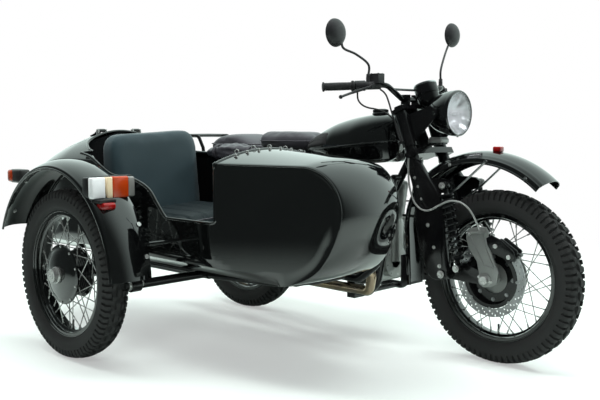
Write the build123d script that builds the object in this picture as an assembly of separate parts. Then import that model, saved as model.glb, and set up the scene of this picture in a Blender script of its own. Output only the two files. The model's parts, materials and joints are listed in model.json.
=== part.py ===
from build123d import *
import math
import os

# Sidecar motorcycle: a flat-twin shaft-driven motorcycle with a leading-link fork and a
# boat-shaped sidecar on its right.  Millimetres.  While it is modelled, X runs forward from
# the rear axle, Y runs to the rider's left from the motorcycle's centre plane, and Z runs up
# from the ground.  Every piece is shifted to the origin below the middle of the whole outfit
# when it is written.

# ---------------------------------------------------------------- driving dimensions
WHEELBASE = 1475.0          # rear axle to front axle
TRACK = 1140.0              # motorcycle centre plane to sidecar wheel plane
WHEEL_LEAD = 200.0          # sidecar axle ahead of the rear axle
TYRE_R = 343.0              # 4.00-19 tyre, outside
TYRE_HALF = 54.0            # half its section width
BEAD_R = 241.0              # bead seat of the 19 inch rim
FLANGE_R = 254.0            # rim flange
RIM_HALF = 37.0             # half the rim's width
RIM_T = 4.0                 # rim metal
TYRE_WALL = 11.0            # tyre casing
SPOKES = 40
SPOKE_R = 2.0
HUB_R = 88.0                # hub barrel
HUB_FLANGE_R = 100.0
HUB_HALF = 40.0             # half the hub's width over its flanges
HUB_BOSS_R = 24.0
AXLE_R = 10.0
RUN = 0.4                   # running gap of a shaft in its bore
SEAT = 0.3                  # gap where two separate pieces seat on each other

RAKE = 27.0                 # steering axis from the vertical, degrees
TRAIL = 60.0
YOKE_LOW = 815.0            # height of the lower yoke on the steering axis
YOKE_TOP = 985.0            # height of the upper yoke
YOKE_LOW_T = 26.0
YOKE_TOP_T = 18.0
HEAD_R = 30.0               # head tube outside
STEM_R = 19.0
LEG_Y = 106.0               # fork leg from the centre plane
LEG_R = 24.0
LINK = 185.0                # leading link, pivot to axle
LINK_Y0 = 88.0              # link arm, inner face
LINK_T = 12.0
SHOCK_Y = 124.0
SPRING_R = 26.0
EYE_R = 16.0
EYE_PIN_R = 8.0
DISC_R = 150.0
DISC_T = 5.0
DISC_Y = 65.0               # inner face of the brake disc from the centre plane

TUBE_R = 17.0               # cradle tube
RAIL_R = 13.0               # seat rail
CRADLE_Y = 120.0
CRADLE_Z = 215.0
RAIL_Y = 100.0
RAIL_Z = 775.0
PIVOT_X = 400.0             # swing arm pivot ahead of the rear axle
PIVOT_Z = 318.0
ARM_Y = 85.0
ARM_R = 15.0

ENGINE_X = 790.0            # cylinder axis ahead of the rear axle
ENGINE_Z = 420.0
ENGINE_HALF = 345.0         # over the rocker covers, half
CASE_HALF = 98.0            # crankcase half width
FINS = 8
FIN_R = 82.0
BARREL_R = 54.0
FIN_T = 4.0
FIN_PITCH = 16.0
PIPE_R = 20.0               # exhaust header
MUFFLER_R = 42.0
MUFFLER_Y = 212.0

TANK_HALF = 142.0
TANK_REAR = 474.0
TANK_FRONT = 985.0

BAR_R = 11.0                # handlebar tube
BAR_Z = 1045.0
BAR_RISE = 55.0
GRIP_Y = 400.0              # end of the bar
GRIP_X = 897.0
GRIP_Z = 1090.0
GRIP_R = 16.0
GRIP_L = 125.0
MIRROR_R = 55.5
MIRROR_Y = 420.0
MIRROR_Z = {-1: 1297.0, 1: 1352.0}   # right and left, as the two are set
MIRROR_X = {-1: 978.0, 1: 948.0}
LAMP_R = 93.5
LAMP_X = 1275.0
LAMP_Z = 985.0
LAMP_L = 145.0

GUARD_T = 3.0               # mudguard sheet
FG_HALF = 80.0              # front mudguard half width
FG_R = 437.0                # its crown's radius
FG_X = 1410.0
FG_Z = 400.0
SG_R = 460.0                # sidecar mudguard crown radius
SG_HALF = 102.0
SG_Y = 7.5                  # its middle is this far inside the wheel plane
RG_R = 415.0                # rear mudguard crown radius
RG_HALF = 72.0

BODY_Y = 645.0              # sidecar body's centre plane from the motorcycle's
HALF = 285.0                # its half width
NOSE_HALF = 155.0
TAPER_X = 790.0             # the plan begins to narrow here
NOSE_X = 1350.0             # foremost point of the side crease
NOSE_RISE = 34.0            # how far the nose's middle stands out from the crease
TAIL_X = -610.0
TAIL_HALF = 240.0
TAIL_TAPER_X = -250.0
FLOOR_Z = 370.0             # underside of the body
CREASE_Z = 797.0            # height of the deck's side crease
CROWN_R = 779.0             # crown of the deck across the body
SKIN = 4.0                  # body sheet with its rolled edges
BILGE_R = 90.0
DECK_X = 835.0              # rear edge of the deck
SIDE_TUBE_R = 18.0          # sidecar chassis tube
SIDE_TUBE_Z = 322.0
FRAME_IN_Y = 332.0          # its inner long tube from the motorcycle's centre plane
REAR_X = -110.0
FRONT_X = 1122.0            # foremost point of the chassis, where the front strut stands
SEAT_Z = 440.0              # underside of the cushion
CUSHION_Z = 600.0
SEAT_HALF = 235.0
LID_GAP = 3.0
LID_X0 = -500.0
LID_X1 = -215.0
LID_Z = 900.0               # top of the trunk at the lid's hinge
LID_HALF = 190.0

MIRROR_OUT = MIRROR_Y + MIRROR_R
ORIGIN_X = (WHEELBASE + TYRE_R + TAIL_X - 25.0) / 2
ORIGIN_Y = (MIRROR_OUT - (TRACK + SG_Y * -1 + SG_HALF)) / 2

# ---------------------------------------------------------------- helpers
NODES = {}


def put(name, *shapes):
    solids = []
    for s in shapes:
        solids += list(s.solids())
    NODES[name] = solids[0] if len(solids) == 1 else Compound(solids)


def rod(a, b, r):
    a, b = Vector(*a), Vector(*b)
    return Plane(origin=a, z_dir=b - a) * Cylinder(r, (b - a).length, align=(Align.CENTER, Align.CENTER, Align.MIN))


def sleeve(a, b, r, bore):
    return rod(a, b, r) - rod(a, b, bore)


def pipe(points, r, bend):
    path = FilletPolyline(*points, radius=bend)
    return sweep(Plane(origin=path @ 0, z_dir=path % 0) * Circle(r), path=path)


def soft_path(points):
    """Path of straight runs and arcs, each arc as large as its two runs allow."""
    v = [Vector(*p) for p in points]
    radii = []
    for a, b, c in zip(v, v[1:], v[2:]):
        turn = math.radians((b - a).get_angle(c - b))
        radii.append(0.45 * min((b - a).length, (c - b).length) / math.tan(turn / 2))
    return FilletPolyline(*points, radius=radii), radii


def hose(points, r):
    path, radii = soft_path(points)
    solid = sweep(Plane(origin=path @ 0, z_dir=path % 0) * Circle(r), path=path)
    print("hose radii", [round(q) for q in radii], "volume ratio", round(solid.volume / (math.pi * r * r * path.length), 4))
    return solid


def block(x0, x1, y0, y1, z0, z1):
    return Pos((x0 + x1) / 2, (y0 + y1) / 2, (z0 + z1) / 2) * Box(abs(x1 - x0), abs(y1 - y0), abs(z1 - z0))


def prism_y(points, y0, y1):
    face = make_face(Polyline([(x, y0, z) for x, z in points], close=True))
    return extrude(face, amount=y1 - y0, dir=(0, 1, 0))


def prism_x(points, x0, x1):
    face = make_face(Polyline([(x0, y, z) for y, z in points], close=True))
    return extrude(face, amount=x1 - x0, dir=(1, 0, 0))


def prism_z(points, z0, z1):
    face = make_face(Polyline([(x, y, z0) for x, y in points], close=True))
    return extrude(face, amount=z1 - z0, dir=(0, 0, 1))


def lathe(points, origin, direction):
    """Turned piece: points are (radius, distance along the axis)."""
    face = make_face(Polyline([(r, 0, h) for r, h in points], close=True))
    return Plane(origin=origin, z_dir=direction) * revolve(face, axis=Axis.Z)


def left(shape):
    return mirror(shape, about=Plane.XZ)


def steer(z, n=0.0, y=0.0):
    """Point on the steering axis at height z, moved n forward across the axis."""
    c, s = math.cos(math.radians(RAKE)), math.sin(math.radians(RAKE))
    return (WHEELBASE + TRAIL - z * math.tan(math.radians(RAKE)) + n * c, y, z + n * s)


AXIS_UP = (-math.sin(math.radians(RAKE)), 0, math.cos(math.radians(RAKE)))
AXIS_FWD = (math.cos(math.radians(RAKE)), 0, math.sin(math.radians(RAKE)))
AXLE_Z = TYRE_R

# ---------------------------------------------------------------- wheels


def tyre():
    seat, side = BEAD_R + SEAT, RIM_HALF - RIM_T - SEAT
    lip = FLANGE_R + SEAT
    w, t, R = TYRE_HALF, TYRE_WALL, TYRE_R
    mid = (lip + R) / 2

    def p(r, y):
        return (r, y, 0)

    edges = [
        Line(p(seat, side - 13), p(seat, side)), Line(p(seat, side), p(lip, side)), Line(p(lip, side), p(lip, w - 16)),
        ThreePointArc(p(lip, w - 16), p(mid - 3, w), p(R - 9, w - 12)),
        ThreePointArc(p(R - 9, w - 12), p(R, 0), p(R - 9, 12 - w)),
        ThreePointArc(p(R - 9, 12 - w), p(mid - 3, -w), p(lip, 16 - w)),
        Line(p(lip, 16 - w), p(lip, -side)), Line(p(lip, -side), p(seat, -side)), Line(p(seat, -side), p(seat, 13 - side)),
        Line(p(seat, 13 - side), p(lip, 14 - side)),
        ThreePointArc(p(lip, 14 - side), p(mid - 2, t - w), p(R - t - 9, t + 10 - w)),
        ThreePointArc(p(R - t - 9, t + 10 - w), p(R - t, 0), p(R - t - 9, w - t - 10)),
        ThreePointArc(p(R - t - 9, w - t - 10), p(mid - 2, w - t), p(lip, side - 14)),
        Line(p(lip, side - 14), p(seat, side - 13)),
    ]
    return revolve(make_face(edges), axis=Axis.Y)


def laced_wheel():
    """Rim, spokes and full-width hub of one interchangeable wheel."""
    f, b, h = FLANGE_R, BEAD_R, RIM_HALF
    well = b - 11.0
    rim = lathe([(f, h), (f, h - RIM_T), (b, h - RIM_T), (b - 2, h - 19), (well, 12), (well, -12), (b - 2, 19 - h),
                 (b, RIM_T - h), (f, RIM_T - h), (f, -h), (b - RIM_T, -h), (b - RIM_T - 2, 19 - h),
                 (well - RIM_T, -12), (well - RIM_T, 12), (b - RIM_T - 2, h - 19), (b - RIM_T, h)], (0, 0, 0), (0, 1, 0))
    w, fl, bo = HUB_HALF, HUB_FLANGE_R, AXLE_R + RUN
    hub = lathe([(bo, -w - 6), (HUB_BOSS_R, -w - 6), (HUB_BOSS_R, -12), (HUB_R - 10, -12), (HUB_R - 10, -w), (fl, -w),
                 (fl, 6 - w), (HUB_R, 6 - w), (HUB_R, w - 6), (fl, w - 6), (fl, w), (HUB_R - 10, w), (HUB_R - 10, 12),
                 (HUB_BOSS_R, 12), (HUB_BOSS_R, w + 6), (bo, w + 6)], (0, 0, 0), (0, 1, 0))
    wheel = rim + hub
    spokes = []
    per = SPOKES // 2
    step = 360.0 / per
    r_in, r_out = fl - 5.0, well - RIM_T / 2
    for side in (-1, 1):
        for i in range(per):
            out = i * step + (step / 2 if side > 0 else 0)
            inn = out + (3 if i % 2 else -3) * step
            a, c = math.radians(inn), math.radians(out)
            y = side * (w - 3 + (1 if i % 2 else -1))
            spokes.append(rod((r_in * math.cos(a), y, r_in * math.sin(a)),
                              (r_out * math.cos(c), side * 5, r_out * math.sin(c)), SPOKE_R))
    return wheel + spokes


TYRE = tyre()
WHEEL = laced_wheel()
STATIONS = {
    "front": Pos(WHEELBASE, 0, AXLE_Z),
    "rear": Pos(0, 0, AXLE_Z),
    "sidecar": Pos(WHEEL_LEAD, -TRACK, AXLE_Z),
}
for name, place in STATIONS.items():
    put(name + "_tyre", place * TYRE)
    put(name + "_wheel", place * WHEEL)

# front brake disc on the hub's right flange
dy, dt = DISC_Y, DISC_T
put("front_brake_disc", lathe([(HUB_R - 8, -HUB_HALF - SEAT), (HUB_FLANGE_R - 2, -HUB_HALF - SEAT), (HUB_FLANGE_R + 4, -dy),
                               (DISC_R, -dy), (DISC_R, -dy - dt), (HUB_FLANGE_R, -dy - dt),
                               (HUB_FLANGE_R - 7, -HUB_HALF - SEAT - 4), (HUB_R - 8, -HUB_HALF - SEAT - 4)],
                              (WHEELBASE, 0, AXLE_Z), (0, 1, 0)))


def drum_cover(side):
    """Dished cover that closes the hub on one side and turns with it."""
    w = HUB_HALF + SEAT
    return lathe([(HUB_BOSS_R + 2, side * w), (HUB_R + 32, side * w), (HUB_R + 32, side * (w + 7)), (HUB_R + 12, side * (w + 15)),
                  (HUB_BOSS_R + 22, side * (w + 22)), (HUB_BOSS_R + 10, side * (w + 26)), (HUB_BOSS_R + 2, side * (w + 26))],
                 (0, 0, 0), (0, 1, 0))


put("sidecar_hub_cover", STATIONS["sidecar"] * drum_cover(-1))
put("rear_hub_cover", STATIONS["rear"] * drum_cover(1))


def axle(y0, y1, head, cap=17.0):
    """Axle from y0 to y1 with a nut outside each end; cap is the radius of the nut at y0."""
    body = rod((0, y0, 0), (0, y1, 0), AXLE_R)
    return body + rod((0, y0 - head, 0), (0, y0, 0), cap) + rod((0, y1, 0), (0, y1 + head, 0), AXLE_R + 7)


LINK_OUT = LINK_Y0 + LINK_T
put("front_axle", STATIONS["front"] * axle(-LINK_OUT - 14, LINK_OUT + SEAT, 12))
put("rear_axle", STATIONS["rear"] * axle(-ARM_Y - 46, ARM_Y + ARM_R + 8, 12))
SIDE_ARM_Y = TRACK - 92.0   # the sidecar wheel's arm runs in this plane
put("sidecar_axle", STATIONS["sidecar"] * axle(-HUB_HALF - 28, TRACK - SIDE_ARM_Y + 18 + SEAT, 26, 27.0))

# ---------------------------------------------------------------- front fork
LEG_TOP = steer(YOKE_TOP + 15, 30)
PIVOT = (WHEELBASE - LINK, 0, AXLE_Z + 2)
ldir = Vector(PIVOT[0] - LEG_TOP[0], 0, PIVOT[2] - LEG_TOP[2])


def on_leg(z, y=LEG_Y, fwd=0.0):
    t = (z - LEG_TOP[2]) / (PIVOT[2] - LEG_TOP[2])
    return (LEG_TOP[0] + t * ldir.X + fwd, y, z)


def across(z):
    return Plane(origin=steer(z), x_dir=AXIS_FWD, z_dir=AXIS_UP)


def yoke_plate(z, t, plan):
    face = make_face(Polyline([(a, b, -t / 2) for a, b in plan], close=True))
    return across(z) * extrude(face, amount=t, dir=(0, 0, 1))


out = LEG_Y + LEG_R + 4
# the lower yoke is waisted behind the legs, so that it passes the down tubes at full lock
low = yoke_plate(YOKE_LOW, YOKE_LOW_T, [(-26, -24), (1, -40), (1, -64), (-6, -86), (-14, -out), (40, -out), (46, -30), (46, 30), (40, out), (-14, out), (-6, 86), (1, 64),
                                        (1, 40), (-26, 24)])
top = yoke_plate(YOKE_TOP, YOKE_TOP_T, [(-32, -26), (4, -out), (62, -out), (62, out), (4, out), (-32, 26)])
stem = rod(steer(YOKE_LOW), steer(YOKE_TOP), STEM_R)
leg_line = [rod(on_leg(LEG_TOP[2] + 30, s * LEG_Y), on_leg(600, s * LEG_Y), LEG_R + SEAT) for s in (-1, 1)]
put("fork_yokes", low + top + stem - leg_line)

SHOCK_TOP = (PIVOT[0] + 5, 0, 700.0)
SHOCK_LOW = (PIVOT[0] + 75, 0, 378.0)


def fork_leg():
    y0, y1 = LINK_OUT + SEAT, LEG_Y + LEG_R - 2
    leg = rod(on_leg(LEG_TOP[2]), on_leg(PIVOT[2] + 52), LEG_R)
    px, pz = PIVOT[0], PIVOT[2]
    a = on_leg(pz + 80)
    lug = prism_y([(a[0] - 20, a[2]), (px - 26, pz), (px - 18, pz - 20), (px + 18, pz - 20), (px + 26, pz), (a[0] + 22, a[2])], y0, y1)
    lug -= rod((px, y0 - 1, pz), (px, y1 + 1, pz), EYE_PIN_R + RUN)
    b = on_leg(SHOCK_TOP[2])
    ear_y1 = SHOCK_Y - 15 - SEAT
    ear = prism_y([(b[0] - 14, b[2] - 70), (b[0] - 14, b[2] + 30), (SHOCK_TOP[0], SHOCK_TOP[2] + 22), (SHOCK_TOP[0] + 20, SHOCK_TOP[2] + 8),
                   (SHOCK_TOP[0] + 14, SHOCK_TOP[2] - 20), (b[0] + 22, b[2] - 60)], ear_y1 - 12, ear_y1)
    pin = rod((SHOCK_TOP[0], ear_y1, SHOCK_TOP[2]), (SHOCK_TOP[0], SHOCK_Y + 20, SHOCK_TOP[2]), EYE_PIN_R)
    return leg + lug + ear + pin


leg = fork_leg()
put("fork_legs", leg, left(leg))


def link_arm():
    y0, y1 = LINK_Y0, LINK_OUT
    px, pz, ax = PIVOT[0], PIVOT[2], WHEELBASE
    arm = prism_y([(px, pz - 20), (px, pz + 20), (SHOCK_LOW[0] - 16, SHOCK_LOW[2] + 16), (SHOCK_LOW[0] + 16, SHOCK_LOW[2] + 16),
                   (ax, AXLE_Z + 22), (ax, AXLE_Z - 22)], y0, y1)
    arm += rod((px, y0, pz), (px, y1, pz), 22) + rod((ax, y0, AXLE_Z), (ax, y1, AXLE_Z), 26)
    arm -= rod((ax, y0 - 1, AXLE_Z), (ax, y1 + 1, AXLE_Z), AXLE_R + SEAT)
    arm += rod((px, y1 - 4, pz), (px, LEG_Y + LEG_R + 8, pz), EYE_PIN_R)
    arm += rod((SHOCK_LOW[0], y1 - 4, SHOCK_LOW[2]), (SHOCK_LOW[0], SHOCK_Y - 14 - SEAT, SHOCK_LOW[2]), 14)
    arm += rod((SHOCK_LOW[0], y1, SHOCK_LOW[2]), (SHOCK_LOW[0], SHOCK_Y + 20, SHOCK_LOW[2]), EYE_PIN_R)
    return arm


arm = link_arm()
put("leading_links", arm, left(arm))


def shock(a, b, y, spring=SPRING_R):
    """Spring and damper between two eyes; the coil is one closed cylinder."""
    A, B = Vector(a[0], y, a[2]), Vector(b[0], y, b[2])
    d = (B - A).normalized()
    n = (B - A).length
    body = rod(tuple(A + d * 34), tuple(B - d * 30), spring)
    body += rod(tuple(A), tuple(A + d * 40), 12) + rod(tuple(B - d * 40), tuple(B), 12)
    for c in (A, B):
        body += rod((c.X, y - 14, c.Z), (c.X, y + 14, c.Z), EYE_R)
    for c in (A, B):
        body -= rod((c.X, y - 16, c.Z), (c.X, y + 16, c.Z), EYE_PIN_R + SEAT)
    return body


s = shock(SHOCK_TOP, SHOCK_LOW, SHOCK_Y)
put("front_shocks", s, left(s))


def shroud():
    """Upper tube cover between the yokes with the headlamp ear on its front."""
    z0 = YOKE_LOW + YOKE_LOW_T / 2 + 8
    z1 = YOKE_TOP - YOKE_TOP_T / 2 + 4
    a, b = on_leg(z0 + 14), on_leg(z1)
    tube = rod(a, b, LEG_R + 5)
    ear = prism_y([(a[0] + 6, a[2] + 6), (LAMP_X - 70, LAMP_Z - 40), (LAMP_X - 42, LAMP_Z - 14), (LAMP_X - 42, LAMP_Z + 14),
                   (LAMP_X - 70, LAMP_Z + 30), (b[0] + 10, b[2] - 6)], LAMP_R + 4 + SEAT, LAMP_R + 8 + SEAT)
    tube = tube + ear
    tube -= rod(on_leg(z0 - 40), on_leg(z1 + 40), LEG_R + SEAT)
    return tube


s = shroud()
# clip that ends the two cables on the right tube cover
put("fork_shrouds", left(s) + rod((1100.2, -LEG_Y - LEG_R - 3.5, 865.9), (1100.2, -163, 865.9), 6), s)

# headlamp bowl, open in front, with a bolt boss each side, and its lens
bx = LAMP_X - LAMP_L
bowl = lathe([(0, 0), (30, 2), (60, 14), (80, 44), (LAMP_R - 4, 86), (LAMP_R, LAMP_L - 15), (LAMP_R, LAMP_L), (LAMP_R - 5, LAMP_L),
              (LAMP_R - 5, LAMP_L - 15), (LAMP_R - 9, 86), (75, 48), (56, 20), (28, 7), (0, 5)], (bx, 0, LAMP_Z), (1, 0, 0))
for sgn in (-1, 1):
    bowl += rod((LAMP_X - 56, sgn * (LAMP_R - 6), LAMP_Z), (LAMP_X - 56, sgn * (LAMP_R + 4), LAMP_Z), 10)
put("headlamp_shell", bowl)
put("headlamp_lens", lathe([(0, -6), (LAMP_R - 5 - SEAT, -6), (LAMP_R - 5 - SEAT, -1), (60, 8), (30, 13), (0, 14.5)],
                           (LAMP_X, 0, LAMP_Z), (1, 0, 0)))

# instrument above the lamp on a bracket from the upper yoke
ytop = YOKE_TOP + YOKE_TOP_T / 2
inst_dir = (-0.34, 0, 0.94)
inst_low = (1124.0, 0, 1043.0)
inst = lathe([(0, 0), (34, 0), (44, 14), (48, 30), (48, 66), (43, 70), (0, 70)], inst_low, inst_dir)
inst += rod(steer(YOKE_TOP + 6, 52), (1120.0, 0, 1052.0), 9)
inst -= across(YOKE_TOP) * Pos(0, 0, YOKE_TOP_T / 2 + SEAT - 50) * Box(400, 400, 100)
put("instrument", inst)

# handlebar with crossbar, held on two risers
BAR_X = steer(YOKE_TOP)[0] - 3.0
bar_pts = [(GRIP_X, GRIP_Y, GRIP_Z), (BAR_X + 20, 190, BAR_Z + BAR_RISE), (BAR_X, 60, BAR_Z), (BAR_X, -60, BAR_Z),
           (BAR_X + 20, -190, BAR_Z + BAR_RISE), (GRIP_X, -GRIP_Y, GRIP_Z)]
bar = pipe(bar_pts, BAR_R, 45)
bar += rod((BAR_X + 15, -153, BAR_Z + 39), (BAR_X + 15, 153, BAR_Z + 39), 5)
put("handlebar", bar)
risers = []
for sgn in (-1, 1):
    r = block(BAR_X - 17, BAR_X + 17, sgn * 36 - 11, sgn * 36 + 11, YOKE_TOP - 30, BAR_Z + BAR_R + 9)
    r -= across(YOKE_TOP) * Pos(0, 0, YOKE_TOP_T / 2 + SEAT - 50) * Box(400, 400, 100)
    r -= rod((BAR_X, sgn * 36 - 20, BAR_Z), (BAR_X, sgn * 36 + 20, BAR_Z), BAR_R + SEAT)
    risers.append(r)
# clip for the brake hose on the lower yoke's right end
risers[0] += rod((1129, -out + 1.5, 812), (1129, -152, 812), 8)
put("fork_yokes", NODES["fork_yokes"] + [r + rod((BAR_X, y, YOKE_TOP - 4), (BAR_X, y, BAR_Z - 12), 10) for r, y in zip(risers, (-36, 36))] - rod((BAR_X, -100, BAR_Z), (BAR_X, 100, BAR_Z), BAR_R + SEAT))


def bar_at(d, sgn=-1):
    """Point on the grip run, d from the bar's end."""
    a, b = Vector(GRIP_X, GRIP_Y, GRIP_Z), Vector(BAR_X + 20, 190, BAR_Z + BAR_RISE)
    p = a + (b - a).normalized() * d
    return (p.X, -sgn * -1 * p.Y if sgn < 0 else p.Y, p.Z)


def grip_side(sgn):
    return lambda d: (bar_at(d)[0], sgn * abs(bar_at(d)[1]), bar_at(d)[2])


grips = []
for sgn in (-1, 1):
    g = grip_side(sgn)
    e = sleeve(g(-6), g(GRIP_L), GRIP_R, BAR_R + SEAT) + rod(g(-6), g(-SEAT), GRIP_R)
    grips.append(e)
put("grips", *grips)


def hand_control(sgn, reservoir):
    g = grip_side(sgn)
    a, b = Vector(*g(GRIP_L + 4)), Vector(*g(GRIP_L + 44))
    d = (b - a).normalized()
    c = rod(tuple(a), tuple(b), 21)
    c += rod(tuple(b), tuple(b + d * 26), 17)
    lever0 = b + d * 12 + Vector(22, 0, -4)
    c += rod(tuple(b + d * 12), tuple(lever0 + Vector(8, 0, -1)), 9)
    tip = Vector(GRIP_X + 118, sgn * (GRIP_Y + 30), GRIP_Z - 43)
    mid = Vector(g(70)[0] + 62, g(70)[1], g(70)[2] - 26)
    c += rod(tuple(lever0), tuple(mid), 6) + rod(tuple(mid), tuple(tip), 5)
    c += Pos(*mid) * Sphere(6) + Pos(*tip) * Sphere(8) + Pos(*lever0) * Sphere(8)
    base = b + d * 14
    c += rod(tuple(base), tuple(base + Vector(0, 0, 34)), 9)
    if reservoir:
        q = b + d * 50
        c += rod(tuple(b), tuple(q + d * 14), 17)
        c += block(q.X - 24, q.X + 24, q.Y - 19, q.Y + 19, q.Z + 8, q.Z + 42)
    c -= rod(g(-20), g(260), BAR_R + SEAT)
    c -= pipe(bar_pts, BAR_R + SEAT, 45)
    return max(c.solids(), key=lambda k: k.volume), base + Vector(0, 0, 34)


right_control, right_base = hand_control(-1, True)
left_control, left_base = hand_control(1, False)
put("hand_control_right", right_control)
put("hand_control_left", left_control)

mirrors, glasses = [], []
for sgn, base in ((-1, right_base), (1, left_base)):
    b = Vector(base.X, base.Y, base.Z + SEAT)
    top_c = Vector(MIRROR_X[sgn], sgn * MIRROR_Y, MIRROR_Z[sgn])
    knee = top_c + Vector(4, -sgn * 40, -56)
    pts = [tuple(b), (b.X, b.Y, b.Z + 58), tuple(knee), (top_c.X + 12, top_c.Y - sgn * 22, top_c.Z - 14)]
    m = pipe(pts, 5, [14, 12])
    cup = lathe([(0, 26), (24, 22), (44, 12), (MIRROR_R, 2), (MIRROR_R, -4), (MIRROR_R - 3, -4), (MIRROR_R - 3, 0), (0, 0)], tuple(top_c), (1, 0, 0))
    mirrors.append(m + cup)
    glasses.append(rod((top_c.X - 3, top_c.Y, top_c.Z), (top_c.X - SEAT, top_c.Y, top_c.Z), MIRROR_R - 3 - SEAT))
put("mirrors", *mirrors)
put("mirror_glass", *glasses)

# brake caliper over the disc, its bracket on the axle, and its hose
cal_a = math.radians(58)
cal = Plane(origin=(WHEELBASE + DISC_R * math.cos(cal_a) * 0.93, 0, AXLE_Z + DISC_R * math.sin(cal_a) * 0.93),
            x_dir=(math.cos(cal_a), 0, math.sin(cal_a)), z_dir=(0, -1, 0))
cy = DISC_Y + DISC_T / 2
caliper = cal * (Pos(0, 0, cy) * Box(62, 92, 50))
caliper -= lathe([(0, -DISC_Y + 2), (DISC_R + 3, -DISC_Y + 2), (DISC_R + 3, -DISC_Y - DISC_T - 2), (0, -DISC_Y - DISC_T - 2)],
                 (WHEELBASE, 0, AXLE_Z), (0, 1, 0))
caliper = max(caliper.solids(), key=lambda k: k.volume)
by0, by1 = -LINK_OUT - SEAT - 9, -LINK_OUT - SEAT
bracket = prism_y([(1397, 548), (1440, 560), (1560, 520), (1600, 470), (1560, 440), (1500, 350), (1500, 330), (1450, 330), (1450, 350), (1425, 440)], by0, by1)
bracket += rod((WHEELBASE, by0, AXLE_Z), (WHEELBASE, by1, AXLE_Z), 28)
bracket -= rod((WHEELBASE, by0 - 1, AXLE_Z), (WHEELBASE, by1 + 1, AXLE_Z), AXLE_R + SEAT)
for q in (-34, 34):
    c = cal.from_local_coords(Vector(0, q, cy + 25 + SEAT))
    bracket += rod((c.X, c.Y + 12, c.Z), (c.X, by1 - 2, c.Z), 9)
# banjo that the brake hose ends on
bracket += rod((1465.3, by1 - 2, 530.4), (1465.3, -142, 530.4), 9)
put("brake_caliper", bracket + caliper)
hose_pts = [(1128.9, -142.5, 803.7), (1131, -147, 738), (1145, -152, 672), (1178, -157, 612), (1235, -160, 592), (1290, -160, 622),
            (1345, -159, 648), (1402, -154, 640), (1444, -145, 596), (1462, -134, 540)]
lines = [hose(hose_pts, 4)]

# cables from the throttle side down to the right fork leg
for pts in ([(971.4, -278, 1077), (964, -272, 1062), (952, -252, 1034), (962, -218, 1010), (1000, -178, 1002), (1046, -156, 978), (1078, -148, 930), (1098, -146, 872)],
            [(1032, -209.2, 1082.2), (1043.5, -190.5, 1070), (1054, -181, 1034), (1062, -173, 994), (1074, -164, 950), (1086, -160, 905), (1098, -157, 872)]):
    lines.append(hose(pts, 3.5))
put("fork_lines", *lines)

# ---------------------------------------------------------------- mudguards


def guard_section(half, crown, lip, t):
    """Cross-section points (across, out) of a mudguard: outer line then inner line."""
    outer = [(half, -lip), (half - 4, -crown - 6), (half * 0.82, -crown * 0.62), (half * 0.5, -crown * 0.22), (0, 0)]
    outer = outer + [(-a, b) for a, b in reversed(outer[:-1])]
    inner = [(half - t, -lip), (half - 4 - t, -crown - 6 - 1), (half * 0.82 - t * 0.6, -crown * 0.62 - t), (half * 0.5, -crown * 0.22 - t), (0, -t)]
    inner = inner + [(-a, b) for a, b in reversed(inner[:-1])]
    return outer + list(reversed(inner))


def guard_arc(cx, cy, cz, r, a0, a1, section):
    """Section swept about a crosswise axis from angle a0 to a1, degrees above +X."""
    face = make_face(Polyline([(r + o, w, 0) for w, o in section], close=True))
    piece = revolve(face, axis=Axis.Y, revolution_arc=a1 - a0)
    return Pos(cx, cy, cz) * Rot(0, -a1, 0) * piece


fsec = guard_section(FG_HALF, 26.0, 46.0, GUARD_T)
A0, A1 = 49.0, 122.0
fg = guard_arc(FG_X, 0, FG_Z, FG_R, A0, A1, fsec)
# the rear of the guard follows a second, tangent arc and then runs straight down
r2 = 300.0
c2x = FG_X + (FG_R - r2) * math.cos(math.radians(A1))
c2z = FG_Z + (FG_R - r2) * math.sin(math.radians(A1))
A2 = 183.0
fg += guard_arc(c2x, 0, c2z, r2, A1, A2, fsec)
ex, ez = c2x + r2 * math.cos(math.radians(A2)), c2z + r2 * math.sin(math.radians(A2))
nx, nz = math.cos(math.radians(A2)), math.sin(math.radians(A2))
L3 = 235.0
face = make_face(Polyline([(ex + nx * o, w, ez + nz * o) for w, o in fsec], close=True))
fg += extrude(face, amount=L3, dir=(-nz, 0, nx))
leg_in = LEG_Y - LEG_R - SEAT
for sgn in (-1, 1):
    c = on_leg(722.0)
    fg += rod((c[0], sgn * (FG_HALF - 12), c[2]), (c[0], sgn * leg_in, c[2]), 9)
    c = on_leg(560.0)
    fg += rod((ex + 24, sgn * (FG_HALF - 5), c[2]), (c[0], sgn * (leg_in - 6), c[2]), 6)
put("front_mudguard", fg)
# rubber flap bolted behind the guard's lower end
lx, lz = ex - nz * L3, ez + nx * L3
flap = prism_y([(lx + nx * SEAT - 0.2, lz + 124), (lx + nx * SEAT - 0.2, lz - 12), (lx + nx * (SEAT + 5), lz - 12), (lx + nx * (SEAT + 5), lz + 124)], -76, 76)
for q in (-30, 30):
    flap += rod((lx - 3, q, lz + 100), (lx - 12, q, lz + 100), 7)
put("mud_flap", max((flap - fg).solids(), key=lambda k: k.volume))
print("front guard lower end", round(ex - nz * L3), round(ez + nx * L3), len(fg.solids()))

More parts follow.
